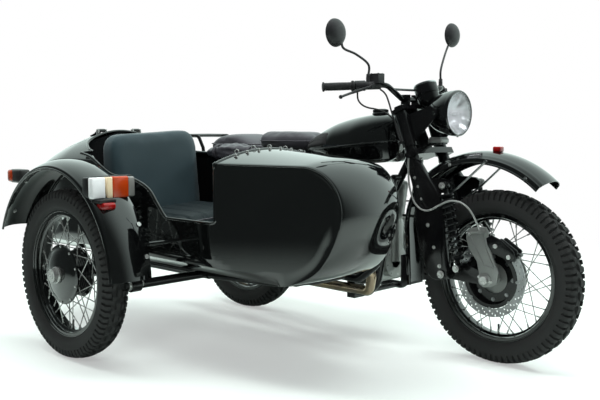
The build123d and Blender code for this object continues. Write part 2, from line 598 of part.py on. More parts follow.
ssec = guard_section(SG_HALF, 14.0, 22.0, GUARD_T)
SG_CY = -TRACK + SG_Y
sg = guard_arc(WHEEL_LEAD, SG_CY, AXLE_Z, SG_R, -5.0, 162.0, ssec)
for a in (20.0, 116.0, 142.0):
    bxx, bzz = WHEEL_LEAD + (SG_R - 14) * math.cos(math.radians(a)), AXLE_Z + (SG_R - 14) * math.sin(math.radians(a))
    sg += rod((bxx, SG_CY + SG_HALF - 4, bzz), (bxx, -BODY_Y - HALF - SEAT, bzz), 8)
    sg += rod((bxx, SG_CY + SG_HALF - 3, bzz), (WHEEL_LEAD + (SG_R - 25) * math.cos(math.radians(a)), SG_CY + SG_HALF - 3, AXLE_Z + (SG_R - 25) * math.sin(math.radians(a))), 6)
put("sidecar_mudguard", sg)

rsec = guard_section(RG_HALF, 20.0, 40.0, GUARD_T)
rg = guard_arc(0, 0, AXLE_Z, RG_R, 58.0, 196.0, rsec)
for sgn in (-1, 1):
    for x in (90.0, -130.0):
        zr = RAIL_Z - 3 + (20.0 * (x + 60) / 515 if x > -60 else -3.0 * (x + 60) / 190)
        a = Vector(x, sgn * (RG_HALF - 11), 720)
        c = Vector(x, sgn * RAIL_Y, zr)
        b = c - (c - a).normalized() * (RAIL_R + SEAT)
        rg += rod(tuple(a), tuple(b), 7)
put("rear_mudguard", rg)

# ---------------------------------------------------------------- motorcycle frame
hz0 = YOKE_LOW + (YOKE_LOW_T / 2 + 3) * math.cos(math.radians(RAKE))
hz1 = YOKE_TOP - (YOKE_TOP_T / 2 + 3) * math.cos(math.radians(RAKE))
head = sleeve(steer(hz0), steer(hz1), HEAD_R, STEM_R + RUN)
back_a, back_b = steer(905, -HEAD_R + 6), (560.0, 0, 812.0)
frame = rod(back_a, back_b, TUBE_R + 2)
for sgn in (-1, 1):
    rail = pipe([(575, sgn * 6, 812), (455, sgn * RAIL_Y, 792), (-60, sgn * RAIL_Y, RAIL_Z - 3), (-250, sgn * RAIL_Y, RAIL_Z)], RAIL_R, [50, 50])
    d0 = steer(862, -HEAD_R + 8, sgn * 16)
    down = pipe([d0, (1000, sgn * 84, 640), (955, sgn * CRADLE_Y, 262), (905, sgn * CRADLE_Y, CRADLE_Z), (330, sgn * CRADLE_Y, CRADLE_Z),
                 (232, sgn * CRADLE_Y, 280), (205, sgn * CRADLE_Y, 440), (60, sgn * (RAIL_Y + 3), 640), (-30, sgn * RAIL_Y, RAIL_Z - 3)], TUBE_R,
                [60, 70, 40, 50, 50, 60, 60])
    frame += [rail, down]
frame += rod((880, -CRADLE_Y, CRADLE_Z), (880, CRADLE_Y, CRADLE_Z), 12)
frame += rod((365, -CRADLE_Y, CRADLE_Z), (365, CRADLE_Y, CRADLE_Z), 12)
frame += rod((455, -RAIL_Y, 791), (455, RAIL_Y, 791), RAIL_R)
frame += rod((-215, -RAIL_Y, RAIL_Z), (-215, RAIL_Y, RAIL_Z), 10)
# pivot lugs for the swing arm stand on the cradle's lower bend
for sgn in (-1, 1):
    lug = prism_y([(330, CRADLE_Z), (440, CRADLE_Z), (425, PIVOT_Z + 22), (375, PIVOT_Z + 22)], sgn * CRADLE_Y - 6, sgn * CRADLE_Y + 6)
    lug -= rod((PIVOT_X, sgn * CRADLE_Y - 10, PIVOT_Z), (PIVOT_X, sgn * CRADLE_Y + 10, PIVOT_Z), 9 + SEAT)
    frame += lug
    # shock studs on the rear of the seat rails
    frame += rod((-52, sgn * RAIL_Y, 700), (-52, sgn * (RAIL_Y + 66), 700), EYE_PIN_R)
    frame += prism_y([(-75, 695), (-30, 690), (-10, RAIL_Z), (-90, RAIL_Z)], sgn * RAIL_Y - 6, sgn * RAIL_Y + 6)
    # saddle posts
    frame += rod((190, sgn * RAIL_Y, RAIL_Z), (190, sgn * RAIL_Y, 817 - SEAT), 12)
    frame += rod((390, sgn * (RAIL_Y - 6), 786), (390, sgn * (RAIL_Y - 6), 817 - SEAT), 8)
    frame += rod((-150, sgn * RAIL_Y, RAIL_Z), (-150, sgn * RAIL_Y, 797 - SEAT), 10) + rod((70, sgn * RAIL_Y, RAIL_Z), (70, sgn * RAIL_Y, 797 - SEAT), 10)
FRONT_STUD = (1026.0, -98.0, 715.0)
REAR_STUD = (150.0, -RAIL_Y - RAIL_R - 16, RAIL_Z + 5)
frame += rod((1026, -60, 715), (1026, FRONT_STUD[1] + 12 + SEAT, 715), 15) + rod((1026, -60, 715), (1026, FRONT_STUD[1] - 18, 715), EYE_PIN_R)
frame += rod((150, -RAIL_Y, REAR_STUD[2]), (150, REAR_STUD[1] + 12 + SEAT, REAR_STUD[2]), 12) + rod((150, -RAIL_Y, REAR_STUD[2]), (150, REAR_STUD[1] - 18, REAR_STUD[2]), EYE_PIN_R)
frame += head
frame -= rod(steer(hz0 - 20), steer(hz1 + 20), STEM_R + RUN)
put("cradle_frame", frame)

# swing arm: pivot tube, two legs, shock studs
arm = sleeve((PIVOT_X, -CRADLE_Y + 7, PIVOT_Z), (PIVOT_X, CRADLE_Y - 7, PIVOT_Z), 20, 9 + RUN)
for sgn in (-1, 1):
    arm += rod((PIVOT_X, sgn * ARM_Y, PIVOT_Z), (0, sgn * ARM_Y, AXLE_Z), ARM_R)
    arm += rod((0, sgn * (ARM_Y - ARM_R), AXLE_Z), (0, sgn * (ARM_Y + ARM_R), AXLE_Z), 26)
    arm += rod((0, sgn * ARM_Y, AXLE_Z), (-40, sgn * ARM_Y, AXLE_Z + 87), 14)
    arm += rod((-40, sgn * (ARM_Y - 10), AXLE_Z + 87), (-40, sgn * (RAIL_Y + 66), AXLE_Z + 87), EYE_PIN_R)
arm -= rod((PIVOT_X, -200, PIVOT_Z), (PIVOT_X, 200, PIVOT_Z), 9 + RUN)
arm -= rod((0, -200, AXLE_Z), (0, 200, AXLE_Z), AXLE_R + SEAT)
put("swing_arm", arm)
swing_pivot = rod((PIVOT_X, -CRADLE_Y - 16, PIVOT_Z), (PIVOT_X, CRADLE_Y + 16, PIVOT_Z), 9)
RS_Y = RAIL_Y + 46.0
s = shock((-52, 0, 700), (-40, 0, AXLE_Z + 87), RS_Y, 28)

# ---------------------------------------------------------------- engine and drive line
case = block(610, 925, -CASE_HALF, CASE_HALF, 245, 540)
case = fillet(case.edges().filter_by(Axis.Y), 45)
case += rod((925, 0, 345), (962, 0, 345), 72) + rod((945, 0, 345), (945, 0, 560), 34)
case += lathe([(0, 0), (36, 0), (42, 12), (50, 150), (44, 162), (0, 162)], (948, 0, 536), (0.08, 0, 1))
case += block(460, 612, -80, 80, 262, 470) + rod((424 + SEAT, -80, 374), (470, -80, 374), 28)
case += prism_y([(470, 460), (610, 530), (610, 440), (470, 440)], -70, 70)
put("engine_case", case)

cyls = []
for sgn in (-1, 1):
    y0 = CASE_HALF + SEAT
    c = rod((ENGINE_X, sgn * y0, ENGINE_Z), (ENGINE_X, sgn * 250, ENGINE_Z), BARREL_R)
    c += rod((ENGINE_X, sgn * y0, ENGINE_Z), (ENGINE_X, sgn * (y0 + 8), ENGINE_Z), 70)
    for k in range(FINS):
        y = y0 + 18 + k * FIN_PITCH
        c += rod((ENGINE_X, sgn * y, ENGINE_Z), (ENGINE_X, sgn * (y + FIN_T), ENGINE_Z), FIN_R)
    hx = 82.0
    headb = block(ENGINE_X - hx, ENGINE_X + hx, sgn * 250, sgn * (ENGINE_HALF - 42), ENGINE_Z - 76, ENGINE_Z + 76)
    headb = fillet(headb.edges().filter_by(Axis.Y), 26)
    cover = block(ENGINE_X - 66, ENGINE_X + 66, sgn * (ENGINE_HALF - 42), sgn * ENGINE_HALF, ENGINE_Z - 60, ENGINE_Z + 60)
    cover = fillet(cover.edges().filter_by(Axis.Y), 40)
    c += [headb, cover]
    cyls.append(c)
put("cylinders", *cyls)

carbs, intakes = [], []
for sgn in (-1, 1):
    x1 = ENGINE_X - 82.0 - SEAT
    c = rod((x1, sgn * 276, ENGINE_Z + 10), (x1 - 130, sgn * 262, ENGINE_Z + 26), 22) + rod((x1 - 62, sgn * 270, ENGINE_Z - 40), (x1 - 62, sgn * 270, ENGINE_Z + 88), 25)
    c += pipe([(x1 - 128, sgn * 262, ENGINE_Z + 26), (x1 - 190, sgn * 255, ENGINE_Z + 40), (580, sgn * 160, 600), (600, sgn * 40, 640)], 20, [40, 45])
    c -= block(x1, x1 + 60, sgn * 400, sgn * 100, 200, 700)
    carbs.append(c)
air = rod((645, 0, 560), (645, 0, 700), 74)
air += rod((645, 0, 531), (645, 0, 562), 40)
air -= case
put("induction", air + carbs)


def exhaust(sgn):
    x1 = ENGINE_X + 82 + SEAT
    pts = [(x1, sgn * 280, ENGINE_Z - 10), (1000, sgn * 280, ENGINE_Z - 10), (1040, sgn * 262, 330), (1005, sgn * 235, 252), (850, sgn * MUFFLER_Y, 246), (440, sgn * MUFFLER_Y, 244)]
    e = pipe(pts, PIPE_R, [50, 45, 40, 60])
    a, b = Vector(445, sgn * MUFFLER_Y, 244), Vector(-250, sgn * MUFFLER_Y, 268)
    n = (b - a).length
    e += lathe([(0, 0), (PIPE_R + 3, 0), (MUFFLER_R, 70), (MUFFLER_R, n - 90), (PIPE_R + 4, n), (PIPE_R - 2, n), (PIPE_R - 2, n - 40), (0, n - 40)], tuple(a), tuple(b - a))
    return e


ex = exhaust(-1)
put("exhausts", ex, left(ex))

drive_z = 374.0
fy = ARM_Y + ARM_R + SEAT
final = rod((0, -fy, AXLE_Z), (0, -fy - 28, AXLE_Z), 66) + rod((35, -fy - 14, drive_z), (112, -80, drive_z), 13.5)
final += rod((112, -80, drive_z), (424, -80, drive_z), 10) + Pos(112, -80, drive_z) * Sphere(15)
final -= rod((0, -200, AXLE_Z), (0, 0, AXLE_Z), AXLE_R + SEAT)
put("shaft_drive", final)

# ---------------------------------------------------------------- tank, saddles, small pieces


def tank():
    # station: x, half width, bottom, seam height, top
    rows = [(TANK_REAR, 62, 806, 820, 842), (510, 96, 798, 823, 872), (590, 128, 792, 828, 917), (700, TANK_HALF, 780, 838, 957),
            (800, TANK_HALF, 772, 850, 977), (880, 130, 770, 858, 985), (940, 96, 774, 866, 982), (TANK_FRONT, 46, 800, 872, 962)]
    secs = []
    for x, w, zb, zs, zt in rows:
        h = zt - zs
        pts = [(x, -w, zs), (x, -w * 0.94, zs + h * 0.38), (x, -w * 0.72, zs + h * 0.74), (x, -w * 0.38, zs + h * 0.95), (x, 0, zt),
               (x, w * 0.38, zs + h * 0.95), (x, w * 0.72, zs + h * 0.74), (x, w * 0.94, zs + h * 0.38), (x, w, zs), (x, w * 0.86, zb), (x, -w * 0.86, zb)]
        secs.append(make_face(Polyline(pts, close=True)))
    body = loft(secs, ruled=True)
    slot = rod(back_a, back_b, TUBE_R + 8) + prism_x([(-TUBE_R - 8, 700), (TUBE_R + 8, 700), (TUBE_R + 8, 830), (-TUBE_R - 8, 830)], 540, 1000)
    slot += prism_y([(540, 700), (1000, 700), (1000, 890), (560, 812)], -TUBE_R - 8, TUBE_R + 8)
    for sgn in (-1, 1):
        slot += pipe([(620, 0, 814), (575, sgn * 6, 812), (455, sgn * RAIL_Y, 792), (300, sgn * RAIL_Y, 789)], RAIL_R + 5, [12, 50])
        slot += rod((440, -RAIL_Y - 10, 791), (440, RAIL_Y + 10, 791), 5)
    return max((body - slot).solids(), key=lambda k: k.volume)


put("fuel_tank", tank())
put("fuel_cap", max((rod((868, 0, 972), (868, 0, 1003), 34) - NODES["fuel_tank"]).solids(), key=lambda k: k.center().Z))


def saddle(rows, z0):
    secs = []
    for x, w, zt in rows:
        pts = [(x, -w, z0), (x, -w, z0 + (zt - z0) * 0.72), (x, -w * 0.82, zt), (x, w * 0.82, zt), (x, w, z0 + (zt - z0) * 0.72), (x, w, z0)]
        secs.append(make_face(Polyline(pts, close=True)))
    return loft(secs, ruled=True)


put("saddles", saddle([(146, 120, 888), (160, 132, 898), (300, 130, 896), (400, 104, 893), (455, 80, 886), (471, 66, 870)], 817),
    saddle([(-226, 96, 830), (-205, 118, 852), (-120, 130, 870), (0, 128, 872), (90, 112, 852), (122, 96, 830)], 797))
rz = RAIL_Z + RAIL_R + SEAT
gr = pipe([(-238, -RAIL_Y, rz), (-242, -RAIL_Y, rz + 30), (-275, -RAIL_Y - 4, 880), (-440, -RAIL_Y - 4, 880), (-440, RAIL_Y + 4, 880),
           (-275, RAIL_Y + 4, 880), (-242, RAIL_Y, rz + 30), (-238, RAIL_Y, rz)], 9, [20, 30, 40, 40, 30, 20])
gr -= rod((-300, -RAIL_Y, RAIL_Z), (-200, -RAIL_Y, RAIL_Z), RAIL_R + SEAT) + rod((-300, RAIL_Y, RAIL_Z), (-200, RAIL_Y, RAIL_Z), RAIL_R + SEAT)
for x in (-320, -380):
    gr += rod((x, -RAIL_Y - 4, 880), (x, RAIL_Y + 4, 880), 6)
put("grab_rail", gr)
ta = math.radians(150)
tlx, tlz = (RG_R) * math.cos(ta), AXLE_Z + (RG_R) * math.sin(ta)
tl = Plane(origin=(tlx, 0, tlz), x_dir=(math.cos(ta), 0, math.sin(ta)), z_dir=(0, 1, 0)) * Pos(24 + SEAT, 0, 0) * Box(48, 62, 88)
put("tail_lamp", tl)

boxes = []
for sgn in (-1, 1):
    b = block(262, 420, sgn * 92, sgn * 168, 500, 690)
    b -= prism_y([(180, 380), (260, 470), (262, 520), (200, 540)], -300, 300)
    rz = 792.0 - (455 - 341) * 20.0 / 515
    b += block(331, 351, sgn * 97, sgn * 103, 685, rz) - rod((-60, sgn * RAIL_Y, RAIL_Z - 3), (455, sgn * RAIL_Y, 792), RAIL_R + SEAT)
    boxes.append(b)
put("side_boxes", *boxes)
pegs = []
for sgn in (-1, 1):
    p = rod((540, sgn * (CRADLE_Y - 4), 300), (540, sgn * 205, 300), 10) + rod((540, sgn * 135, 300), (540, sgn * 228, 300), 17)
    p += prism_y([(520, CRADLE_Z), (560, CRADLE_Z), (552, 315), (528, 315)], sgn * CRADLE_Y - 5, sgn * CRADLE_Y + 5)
    p -= rod((500, sgn * CRADLE_Y, CRADLE_Z), (600, sgn * CRADLE_Y, CRADLE_Z), TUBE_R + SEAT)
    pegs.append(p)
put("foot_pegs", *pegs)
put("foot_controls", pipe([(505, 80 + SEAT, 400), (505, 118, 400), (452, 174, 490), (452, 222, 505)], 8, [16, 16]),
    pipe([(585, 80 + SEAT, 300), (585, 150, 300), (655, 165, 330), (655, 215, 330)], 7, [14, 14]),
    pipe([(585, -80 - SEAT, 300), (585, -150, 300), (655, -160, 330), (655, -204, 330)], 7, [14, 14]))

# ---------------------------------------------------------------- sidecar chassis
T = SIDE_TUBE_R
iy = -FRAME_IN_Y            # inner long tube, beside the body
oy = -BODY_Y - 60.0         # outer long tube, under the body's floor
UPR = -BODY_Y - HALF - 42.0 # spring upright, just outside the body
AX = WHEEL_LEAD + 300.0     # the wheel arm's pivot
sf = pipe([(540, oy, SIDE_TUBE_Z), (REAR_X, oy, SIDE_TUBE_Z), (REAR_X, iy, SIDE_TUBE_Z), (FRONT_X - 90, iy, SIDE_TUBE_Z),
           (FRONT_X, iy, SIDE_TUBE_Z + 70), (FRONT_X + 8, iy, SIDE_TUBE_Z + 130)], T, [60, 60, 50, 40])
sf += rod((AX, iy, SIDE_TUBE_Z), (AX, -SIDE_ARM_Y + 40, SIDE_TUBE_Z), T)
sf += rod((90, iy, SIDE_TUBE_Z), (90, UPR, SIDE_TUBE_Z), T - 2)
sf += pipe([(540, oy, SIDE_TUBE_Z), (900, oy + 60, SIDE_TUBE_Z + 4), (960, oy + 200, SIDE_TUBE_Z + 4), (960, iy, SIDE_TUBE_Z + 4)], T - 3, [80, 60])
sf += pipe([(90, UPR + 40, SIDE_TUBE_Z), (90, UPR, SIDE_TUBE_Z), (150, UPR, 640), (240, UPR, 668)], 14, [16, 30])
sf += rod((240, UPR + 10, 668), (240, -SIDE_ARM_Y - 22, 668), EYE_PIN_R)
# studs for the lower eyes of the two upper struts
sf += rod((FRONT_X + 8, iy, SIDE_TUBE_Z + 134), (FRONT_X + 8, iy + T + SEAT + 30, SIDE_TUBE_Z + 134), EYE_PIN_R) + Pos(FRONT_X + 8, iy, SIDE_TUBE_Z + 130) * Sphere(T)
sf += rod((90, iy, SIDE_TUBE_Z), (90, iy + T + SEAT + 30, SIDE_TUBE_Z), EYE_PIN_R)
for x, y in ((20, -BODY_Y + 130), (20, oy), (760, -BODY_Y + 130), (760, oy + 30)):
    if y > oy + 100:
        sf += rod((x, iy, SIDE_TUBE_Z), (x, y - 10, SIDE_TUBE_Z), 12)
    sf += rod((x, y, SIDE_TUBE_Z), (x, y, FLOOR_Z - SEAT), 22)
# arms to the motorcycle, each ending in a split clamp round the cradle's bottom tube
for x in (480.0, 838.0):
    sf += rod((x, iy, SIDE_TUBE_Z - 4), (x, -CRADLE_Y - TUBE_R - 14, 282), 14)
    c = block(x - 22, x + 22, -CRADLE_Y - TUBE_R - 22, -CRADLE_Y + TUBE_R + 10, CRADLE_Z - TUBE_R - 10, CRADLE_Z + TUBE_R + 12)
    c += block(x - 22, x + 22, -CRADLE_Y - TUBE_R - 22, -CRADLE_Y - TUBE_R, CRADLE_Z, 298)
    sf += c - rod((x - 60, -CRADLE_Y, CRADLE_Z), (x + 60, -CRADLE_Y, CRADLE_Z), TUBE_R + SEAT)
sf -= rod((400, -CRADLE_Y, CRADLE_Z), (960, -CRADLE_Y, CRADLE_Z), TUBE_R + SEAT)
put("sidecar_frame", sf)


def strut(a, b, r):
    """Stay with an eye on a stud at each end and a turnbuckle near the top."""
    A, B = Vector(*a), Vector(*b)
    d = (B - A).normalized()
    q = rod(a, b, r) + rod(tuple(A + d * 40), tuple(A + d * 120), r + 4)
    for c in (A, B):
        q += rod((c.X, c.Y - 12, c.Z), (c.X, c.Y + 12, c.Z), EYE_R)
    for c in (A, B):
        q -= rod((c.X, c.Y - 30, c.Z), (c.X, c.Y + 30, c.Z), EYE_PIN_R + SEAT)
    return q


low_y = iy + T + SEAT + 12
put("upper_struts", strut(FRONT_STUD, (FRONT_X + 8, low_y, SIDE_TUBE_Z + 134), 11), strut(REAR_STUD, (90, low_y, SIDE_TUBE_Z), 11))

# sidecar wheel arm, its pivot tube and its spring
ay = -SIDE_ARM_Y
sa = sleeve((AX, ay - ARM_R - 4, SIDE_TUBE_Z), (AX, ay + ARM_R + 8, SIDE_TUBE_Z), 27, 12 + RUN)
sa += rod((AX - 24, ay, SIDE_TUBE_Z + 2), (WHEEL_LEAD, ay, AXLE_Z), ARM_R)
sa += rod((WHEEL_LEAD, ay - 18, AXLE_Z), (WHEEL_LEAD, ay + 18, AXLE_Z), 27)
sx, sz = WHEEL_LEAD + 40.0, AXLE_Z + 42.0
sa += block(sx - 18, sx + 18, ay + 4, ay + 22, AXLE_Z - 12, AXLE_Z + 8)
sa += prism_y([(sx - 18, AXLE_Z - 10), (sx + 18, AXLE_Z - 10), (sx + 13, sz + 12), (sx - 13, sz + 12)], ay + 14 + SEAT, ay + 22)
sa += rod((sx, ay - 20, sz), (sx, ay + 22, sz), EYE_PIN_R)
sa -= rod((WHEEL_LEAD, -2000, AXLE_Z), (WHEEL_LEAD, 0, AXLE_Z), AXLE_R + SEAT)
sa -= rod((AX, -2000, SIDE_TUBE_Z), (AX, 0, SIDE_TUBE_Z), 12 + RUN)
ss = shock((sx, 0, 668), (sx, 0, sz), ay, 23)
put("sidecar_swing_arm", sa)
put("rear_shocks", s, left(s), ss)
side_pivot = rod((AX, -SIDE_ARM_Y + 40 + SEAT - 0.3, SIDE_TUBE_Z), (AX, ay - ARM_R - 18, SIDE_TUBE_Z), 12) + rod((AX, ay - ARM_R - 18, SIDE_TUBE_Z), (AX, ay - ARM_R - 4 - SEAT, SIDE_TUBE_Z), 20)
put("axles", NODES.pop("rear_axle"), NODES.pop("sidecar_axle"), swing_pivot, side_pivot)

# ---------------------------------------------------------------- sidecar body
C1 = (NOSE_X - 157.0, FLOOR_Z + 270.0, CREASE_Z - FLOOR_Z - 270.0)      # upper nose arc: centre, radius
C2 = (NOSE_X - 270.0, FLOOR_Z + 270.0, 270.0)                            # lower nose arc
C3 = (TAIL_X + 189.0, FLOOR_Z + 190.0, 189.0)                            # trunk back arc
C4 = (TAIL_X + 130.0, FLOOR_Z + 130.0, 130.0)                            # tail bottom arc


def arc_pt(c, a, inset=0.0):
    return (c[0] + (c[2] - inset) * math.cos(math.radians(a)), c[1] + (c[2] - inset) * math.sin(math.radians(a)))


TRUNK_A = 106.0


def half_at(x):
    if x > TAPER_X:
        return HALF - (HALF - NOSE_HALF) * (x - TAPER_X) / (NOSE_X - TAPER_X)
    if x < TAIL_TAPER_X:
        return HALF - (HALF - TAIL_HALF) * (TAIL_TAPER_X - x) / (TAIL_TAPER_X - TAIL_X)
    return HALF


def stations():
    """Crease stations round the body: x, z, direction of the outward normal, crown rise factor."""
    st = [(C4[0], FLOOR_Z, -90.0)]
    st += [arc_pt(C4, a) + (float(a),) for a in (-115, -140, -165, -180)]
    st += [arc_pt(C3, a) + (float(a),) for a in (180, 162, 144, 125, TRUNK_A)]
    st += [(-379, FLOOR_Z + 396, 100.0), (-289, FLOOR_Z + 410, 94.0), (-211, FLOOR_Z + 415, 90.0), (-100, FLOOR_Z + 417, 90.0), (150, FLOOR_Z + 418, 90.0),
           (400, FLOOR_Z + 422, 90.0), (620, FLOOR_Z + 426, 90.0), (DECK_X - 40, CREASE_Z, 90.0), (DECK_X + 120, CREASE_Z, 90.0)]
    st += [arc_pt(C1, a) + (float(a),) for a in (90, 75, 60, 45, 30, 15, 0)]
    st += [arc_pt(C2, a) + (float(a),) for a in (-15, -30, -45, -60, -75, -90)]
    return st


def rise_at(x, a):
    hw = half_at(x)
    flat = CROWN_R - math.sqrt(CROWN_R ** 2 - hw ** 2)
    if x > 600:
        if a >= 0:
            return flat + (NOSE_RISE - flat) * max(0.0, math.cos(math.radians(a)))
        return 4.0 + (NOSE_RISE - 4.0) * (1 + math.sin(math.radians(a)))
    # the trunk's hump, highest just behind the seat
    table = [(TAIL_X, 22.0), (-560.0, 45.0), (-473.0, 84.0), (-379.0, 98.0), (-289.0, 110.0), (-211.0, 124.0), (-100.0, 128.0), (150.0, 100.0), (400.0, 84.0), (620.0, 66.0)]
    if a < 0 or a > 179.5:
        return 20.0 - 12.0 * max(0.0, -math.sin(math.radians(a))) if a < 0 else 22.0
    if x <= table[0][0]:
        return table[0][1]
    for (x0, r0), (x1, r1) in zip(table, table[1:]):
        if x <= x1:
            return r0 + (r1 - r0) * (x - x0) / (x1 - x0)
    return flat


def band(inset, parts):
    secs = []
    for x, z, a in parts:
        hw = half_at(x)
        rise = rise_at(x, a)
        R = (hw * hw + rise * rise) / (2 * rise)
        ext = hw + 12
        drop = R - math.sqrt(R * R - ext * ext)
        n = (math.cos(math.radians(a)), math.sin(math.radians(a)))

        def P(y, h):
            return (x + n[0] * (h - inset), -BODY_Y + y, z + n[1] * (h - inset))

        arc = ThreePointArc(P(-ext, rise - drop), P(0, rise), P(ext, rise - drop))
        low = -90.0
        secs.append(make_face([arc, Line(P(ext, rise - drop), P(ext, low)), Line(P(ext, low), P(-ext, low)), Line(P(-ext, low), P(-ext, rise - drop))]))
    return loft(secs, ruled=True)


def hull(inset):
    st = stations()
    whole = band(inset, st)
    core_pts = []
    for x, z, a in st:
        core_pts.append((x - math.cos(math.radians(a)) * (inset + 10), z - math.sin(math.radians(a)) * (inset + 10)))
    # the core fills the middle; its floor is the floor of the body
    y0, y1 = -BODY_Y - HALF - 60, -BODY_Y + HALF + 60
    core = prism_y(core_pts, y0, y1)
    core += block(C4[0], C2[0], y0, y1, FLOOR_Z + inset, FLOOR_Z + 80)
    solid = whole + core
    i = inset
    xs = [TAIL_X - 200, TAIL_TAPER_X, TAPER_X, NOSE_X + 120]
    ws = [half_at(x) - i for x in xs]
    plan = prism_z([(x, -BODY_Y - w) for x, w in zip(xs, ws)] + [(x, -BODY_Y + w) for x, w in reversed(list(zip(xs, ws)))], 200, 1100)
    B = BILGE_R
    k = B * (1 - math.cos(math.radians(45)))
    h = HALF - i
    z0 = FLOOR_Z + i
    edges = [
        Line((0, h, 1100), (0, h, z0 + B)), ThreePointArc((0, h, z0 + B), (0, h - k, z0 + k), (0, h - B, z0)),
        Line((0, h - B, z0), (0, B - h, z0)), ThreePointArc((0, B - h, z0), (0, k - h, z0 + k), (0, -h, z0 + B)),
        Line((0, -h, z0 + B), (0, -h, 1100)), Line((0, -h, 1100), (0, h, 1100))]
    tube = Pos(TAIL_X - 200, -BODY_Y, 0) * extrude(make_face(edges), amount=NOSE_X - TAIL_X + 600, dir=(1, 0, 0))
    return solid & plan & tube


OUTER = hull(0.0)
INNER = hull(SKIN)
shell = OUTER - INNER
print("hull", OUTER.is_valid, INNER.is_valid, len(shell.solids()), round(shell.volume / 1e3))


def lid_cut(grow, z0, z1):
    return block(LID_X0 - grow, LID_X1 + grow, -BODY_Y - LID_HALF - grow, -BODY_Y + LID_HALF + grow, z0, z1)


lid = shell & lid_cut(0, 700, 1100)
body = shell - lid_cut(LID_GAP, 700, 1100)
# cockpit: open from the trunk's front edge to the deck, lower on the outer side
inn = HALF - 30.0
by = -BODY_Y
cock = prism_z([(DECK_X, by - inn), (40, by - inn), (-60, by - inn + 16), (-150, by - inn + 60), (-178, by - inn + 130), (-178, by + inn - 130),
                (-150, by + inn - 60), (-60, by + inn - 16), (40, by + inn), (DECK_X, by + inn)], 560, 1200)
notch = prism_y([(-60, 815), (11, 800), (88, 765), (171, 733), (260, 724), (346, 716), (435, 684), (494, 628), (545, 577), (DECK_X - 4, 577),
                 (DECK_X, 581), (DECK_X, 1200), (-60, 1200)], -BODY_Y - HALF - 60, -BODY_Y - HALF + 60)
body = body - cock - notch
# bulkhead between the seat and the trunk, and the seat riser
body += block(-190, -184, -BODY_Y - HALF, -BODY_Y + HALF, FLOOR_Z, 1100) & INNER
riser = block(10, 610, -BODY_Y - 200, -BODY_Y + 200, FLOOR_Z + SKIN - 1, SEAT_Z - SEAT) - block(14, 606, -BODY_Y - 196, -BODY_Y + 196, FLOOR_Z, SEAT_Z - SEAT - 4)
body += riser
HX, HZ = LID_X1 + 16.0, LID_Z + 12.0
print("body", body.is_valid, len(body.solids()), [round(q.volume) for q in body.solids()])
hinges, knuckles = [], []
for yy in (-BODY_Y - 95, -BODY_Y + 95):
    for q in (-24, 18):
        hinges.append(prism_y([(HX - 7, LID_Z - 25), (HX + 16, LID_Z - 25), (HX + 10, HZ + 7), (HX - 7, HZ + 7)], yy + q, yy + q + 6))
    hinges.append(rod((HX, yy - 24, HZ), (HX, yy + 24, HZ), 4))
    kn = sleeve((HX, yy - 17.5, HZ), (HX, yy + 17.5, HZ), 8, 4 + RUN)
    arm_l = prism_y([(HX - 4, HZ + 7), (LID_X1 - 40, HZ - 6), (LID_X1 - 60, HZ - 18), (LID_X1 - 60, HZ - 40), (LID_X1 - 2, HZ - 40), (LID_X1 - 2, HZ - 4), (HX - 4, HZ - 6)], yy - 12, yy + 12)
    arm_l -= rod((HX, yy - 30, HZ), (HX, yy + 30, HZ), 6)
    knuckles.append(kn + arm_l)
body = body + [h - INNER for h in hinges]
lid = lid + [k - INNER for k in knuckles]
put("sidecar_body", body)
put("trunk_lid", lid)
print("body", body.is_valid, len(body.solids()), "lid", lid.is_valid, len(lid.solids()))

put("sidecar_cushions",
    prism_y([(134, SEAT_Z), (134, CUSHION_Z), (560, CUSHION_Z + 4), (606, CUSHION_Z - 30), (606, SEAT_Z)], -BODY_Y - SEAT_HALF + 8, -BODY_Y + SEAT_HALF - 8),
    prism_y([(20, SEAT_Z), (128, SEAT_Z), (126, 600), (86, 900), (66, 918), (38, 918), (22, 903)], -BODY_Y - SEAT_HALF, -BODY_Y + SEAT_HALF))

# ---------------------------------------------------------------- sidecar lamps
ring = Pos(WHEEL_LEAD, -TRACK, AXLE_Z) * Rot(90, 0, 0) * Cylinder(SG_R + SEAT, 400)
front_lamp = block(444, 498, -TRACK - 75, -TRACK + 110, 660, 750) - ring
stalk = math.radians(137)
rear_lamp = block(-262, -150, -TRACK - 38, -TRACK + 12, 690, 748) + rod((WHEEL_LEAD + (SG_R - 20) * math.cos(stalk), SG_CY, AXLE_Z + (SG_R - 20) * math.sin(stalk)),
                                                           (WHEEL_LEAD + (SG_R + 60) * math.cos(stalk), SG_CY, AXLE_Z + (SG_R + 60) * math.sin(stalk)), 12) - ring
put("lamp_housings", NODES.pop("tail_lamp"), max(front_lamp.solids(), key=lambda k: k.volume), max(rear_lamp.solids(), key=lambda k: k.volume))

# ---------------------------------------------------------------- write
shift = Pos(-ORIGIN_X, -ORIGIN_Y, 0)
os.makedirs("parts", exist_ok=True)
for name, shape in NODES.items():
    export_step(shift * shape, "parts/" + name + ".step")
lo = [min(tuple((shift * s).bounding_box().min)[k] for s in NODES.values()) for k in range(3)]
hi = [max(tuple((shift * s).bounding_box().max)[k] for s in NODES.values()) for k in range(3)]
print("box", [round(v) for v in lo], [round(v) for v in hi], len(NODES))
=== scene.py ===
"""Looks of a sidecar motorcycle: every piece is worked out as a surface in numpy and dressed
with procedural materials.  Sizes below are in millimetres in the maker's axes (X forward from
the rear axle, Y to the rider's left, Z up from the ground); place() turns them into the
frame's metres."""
import json
import math

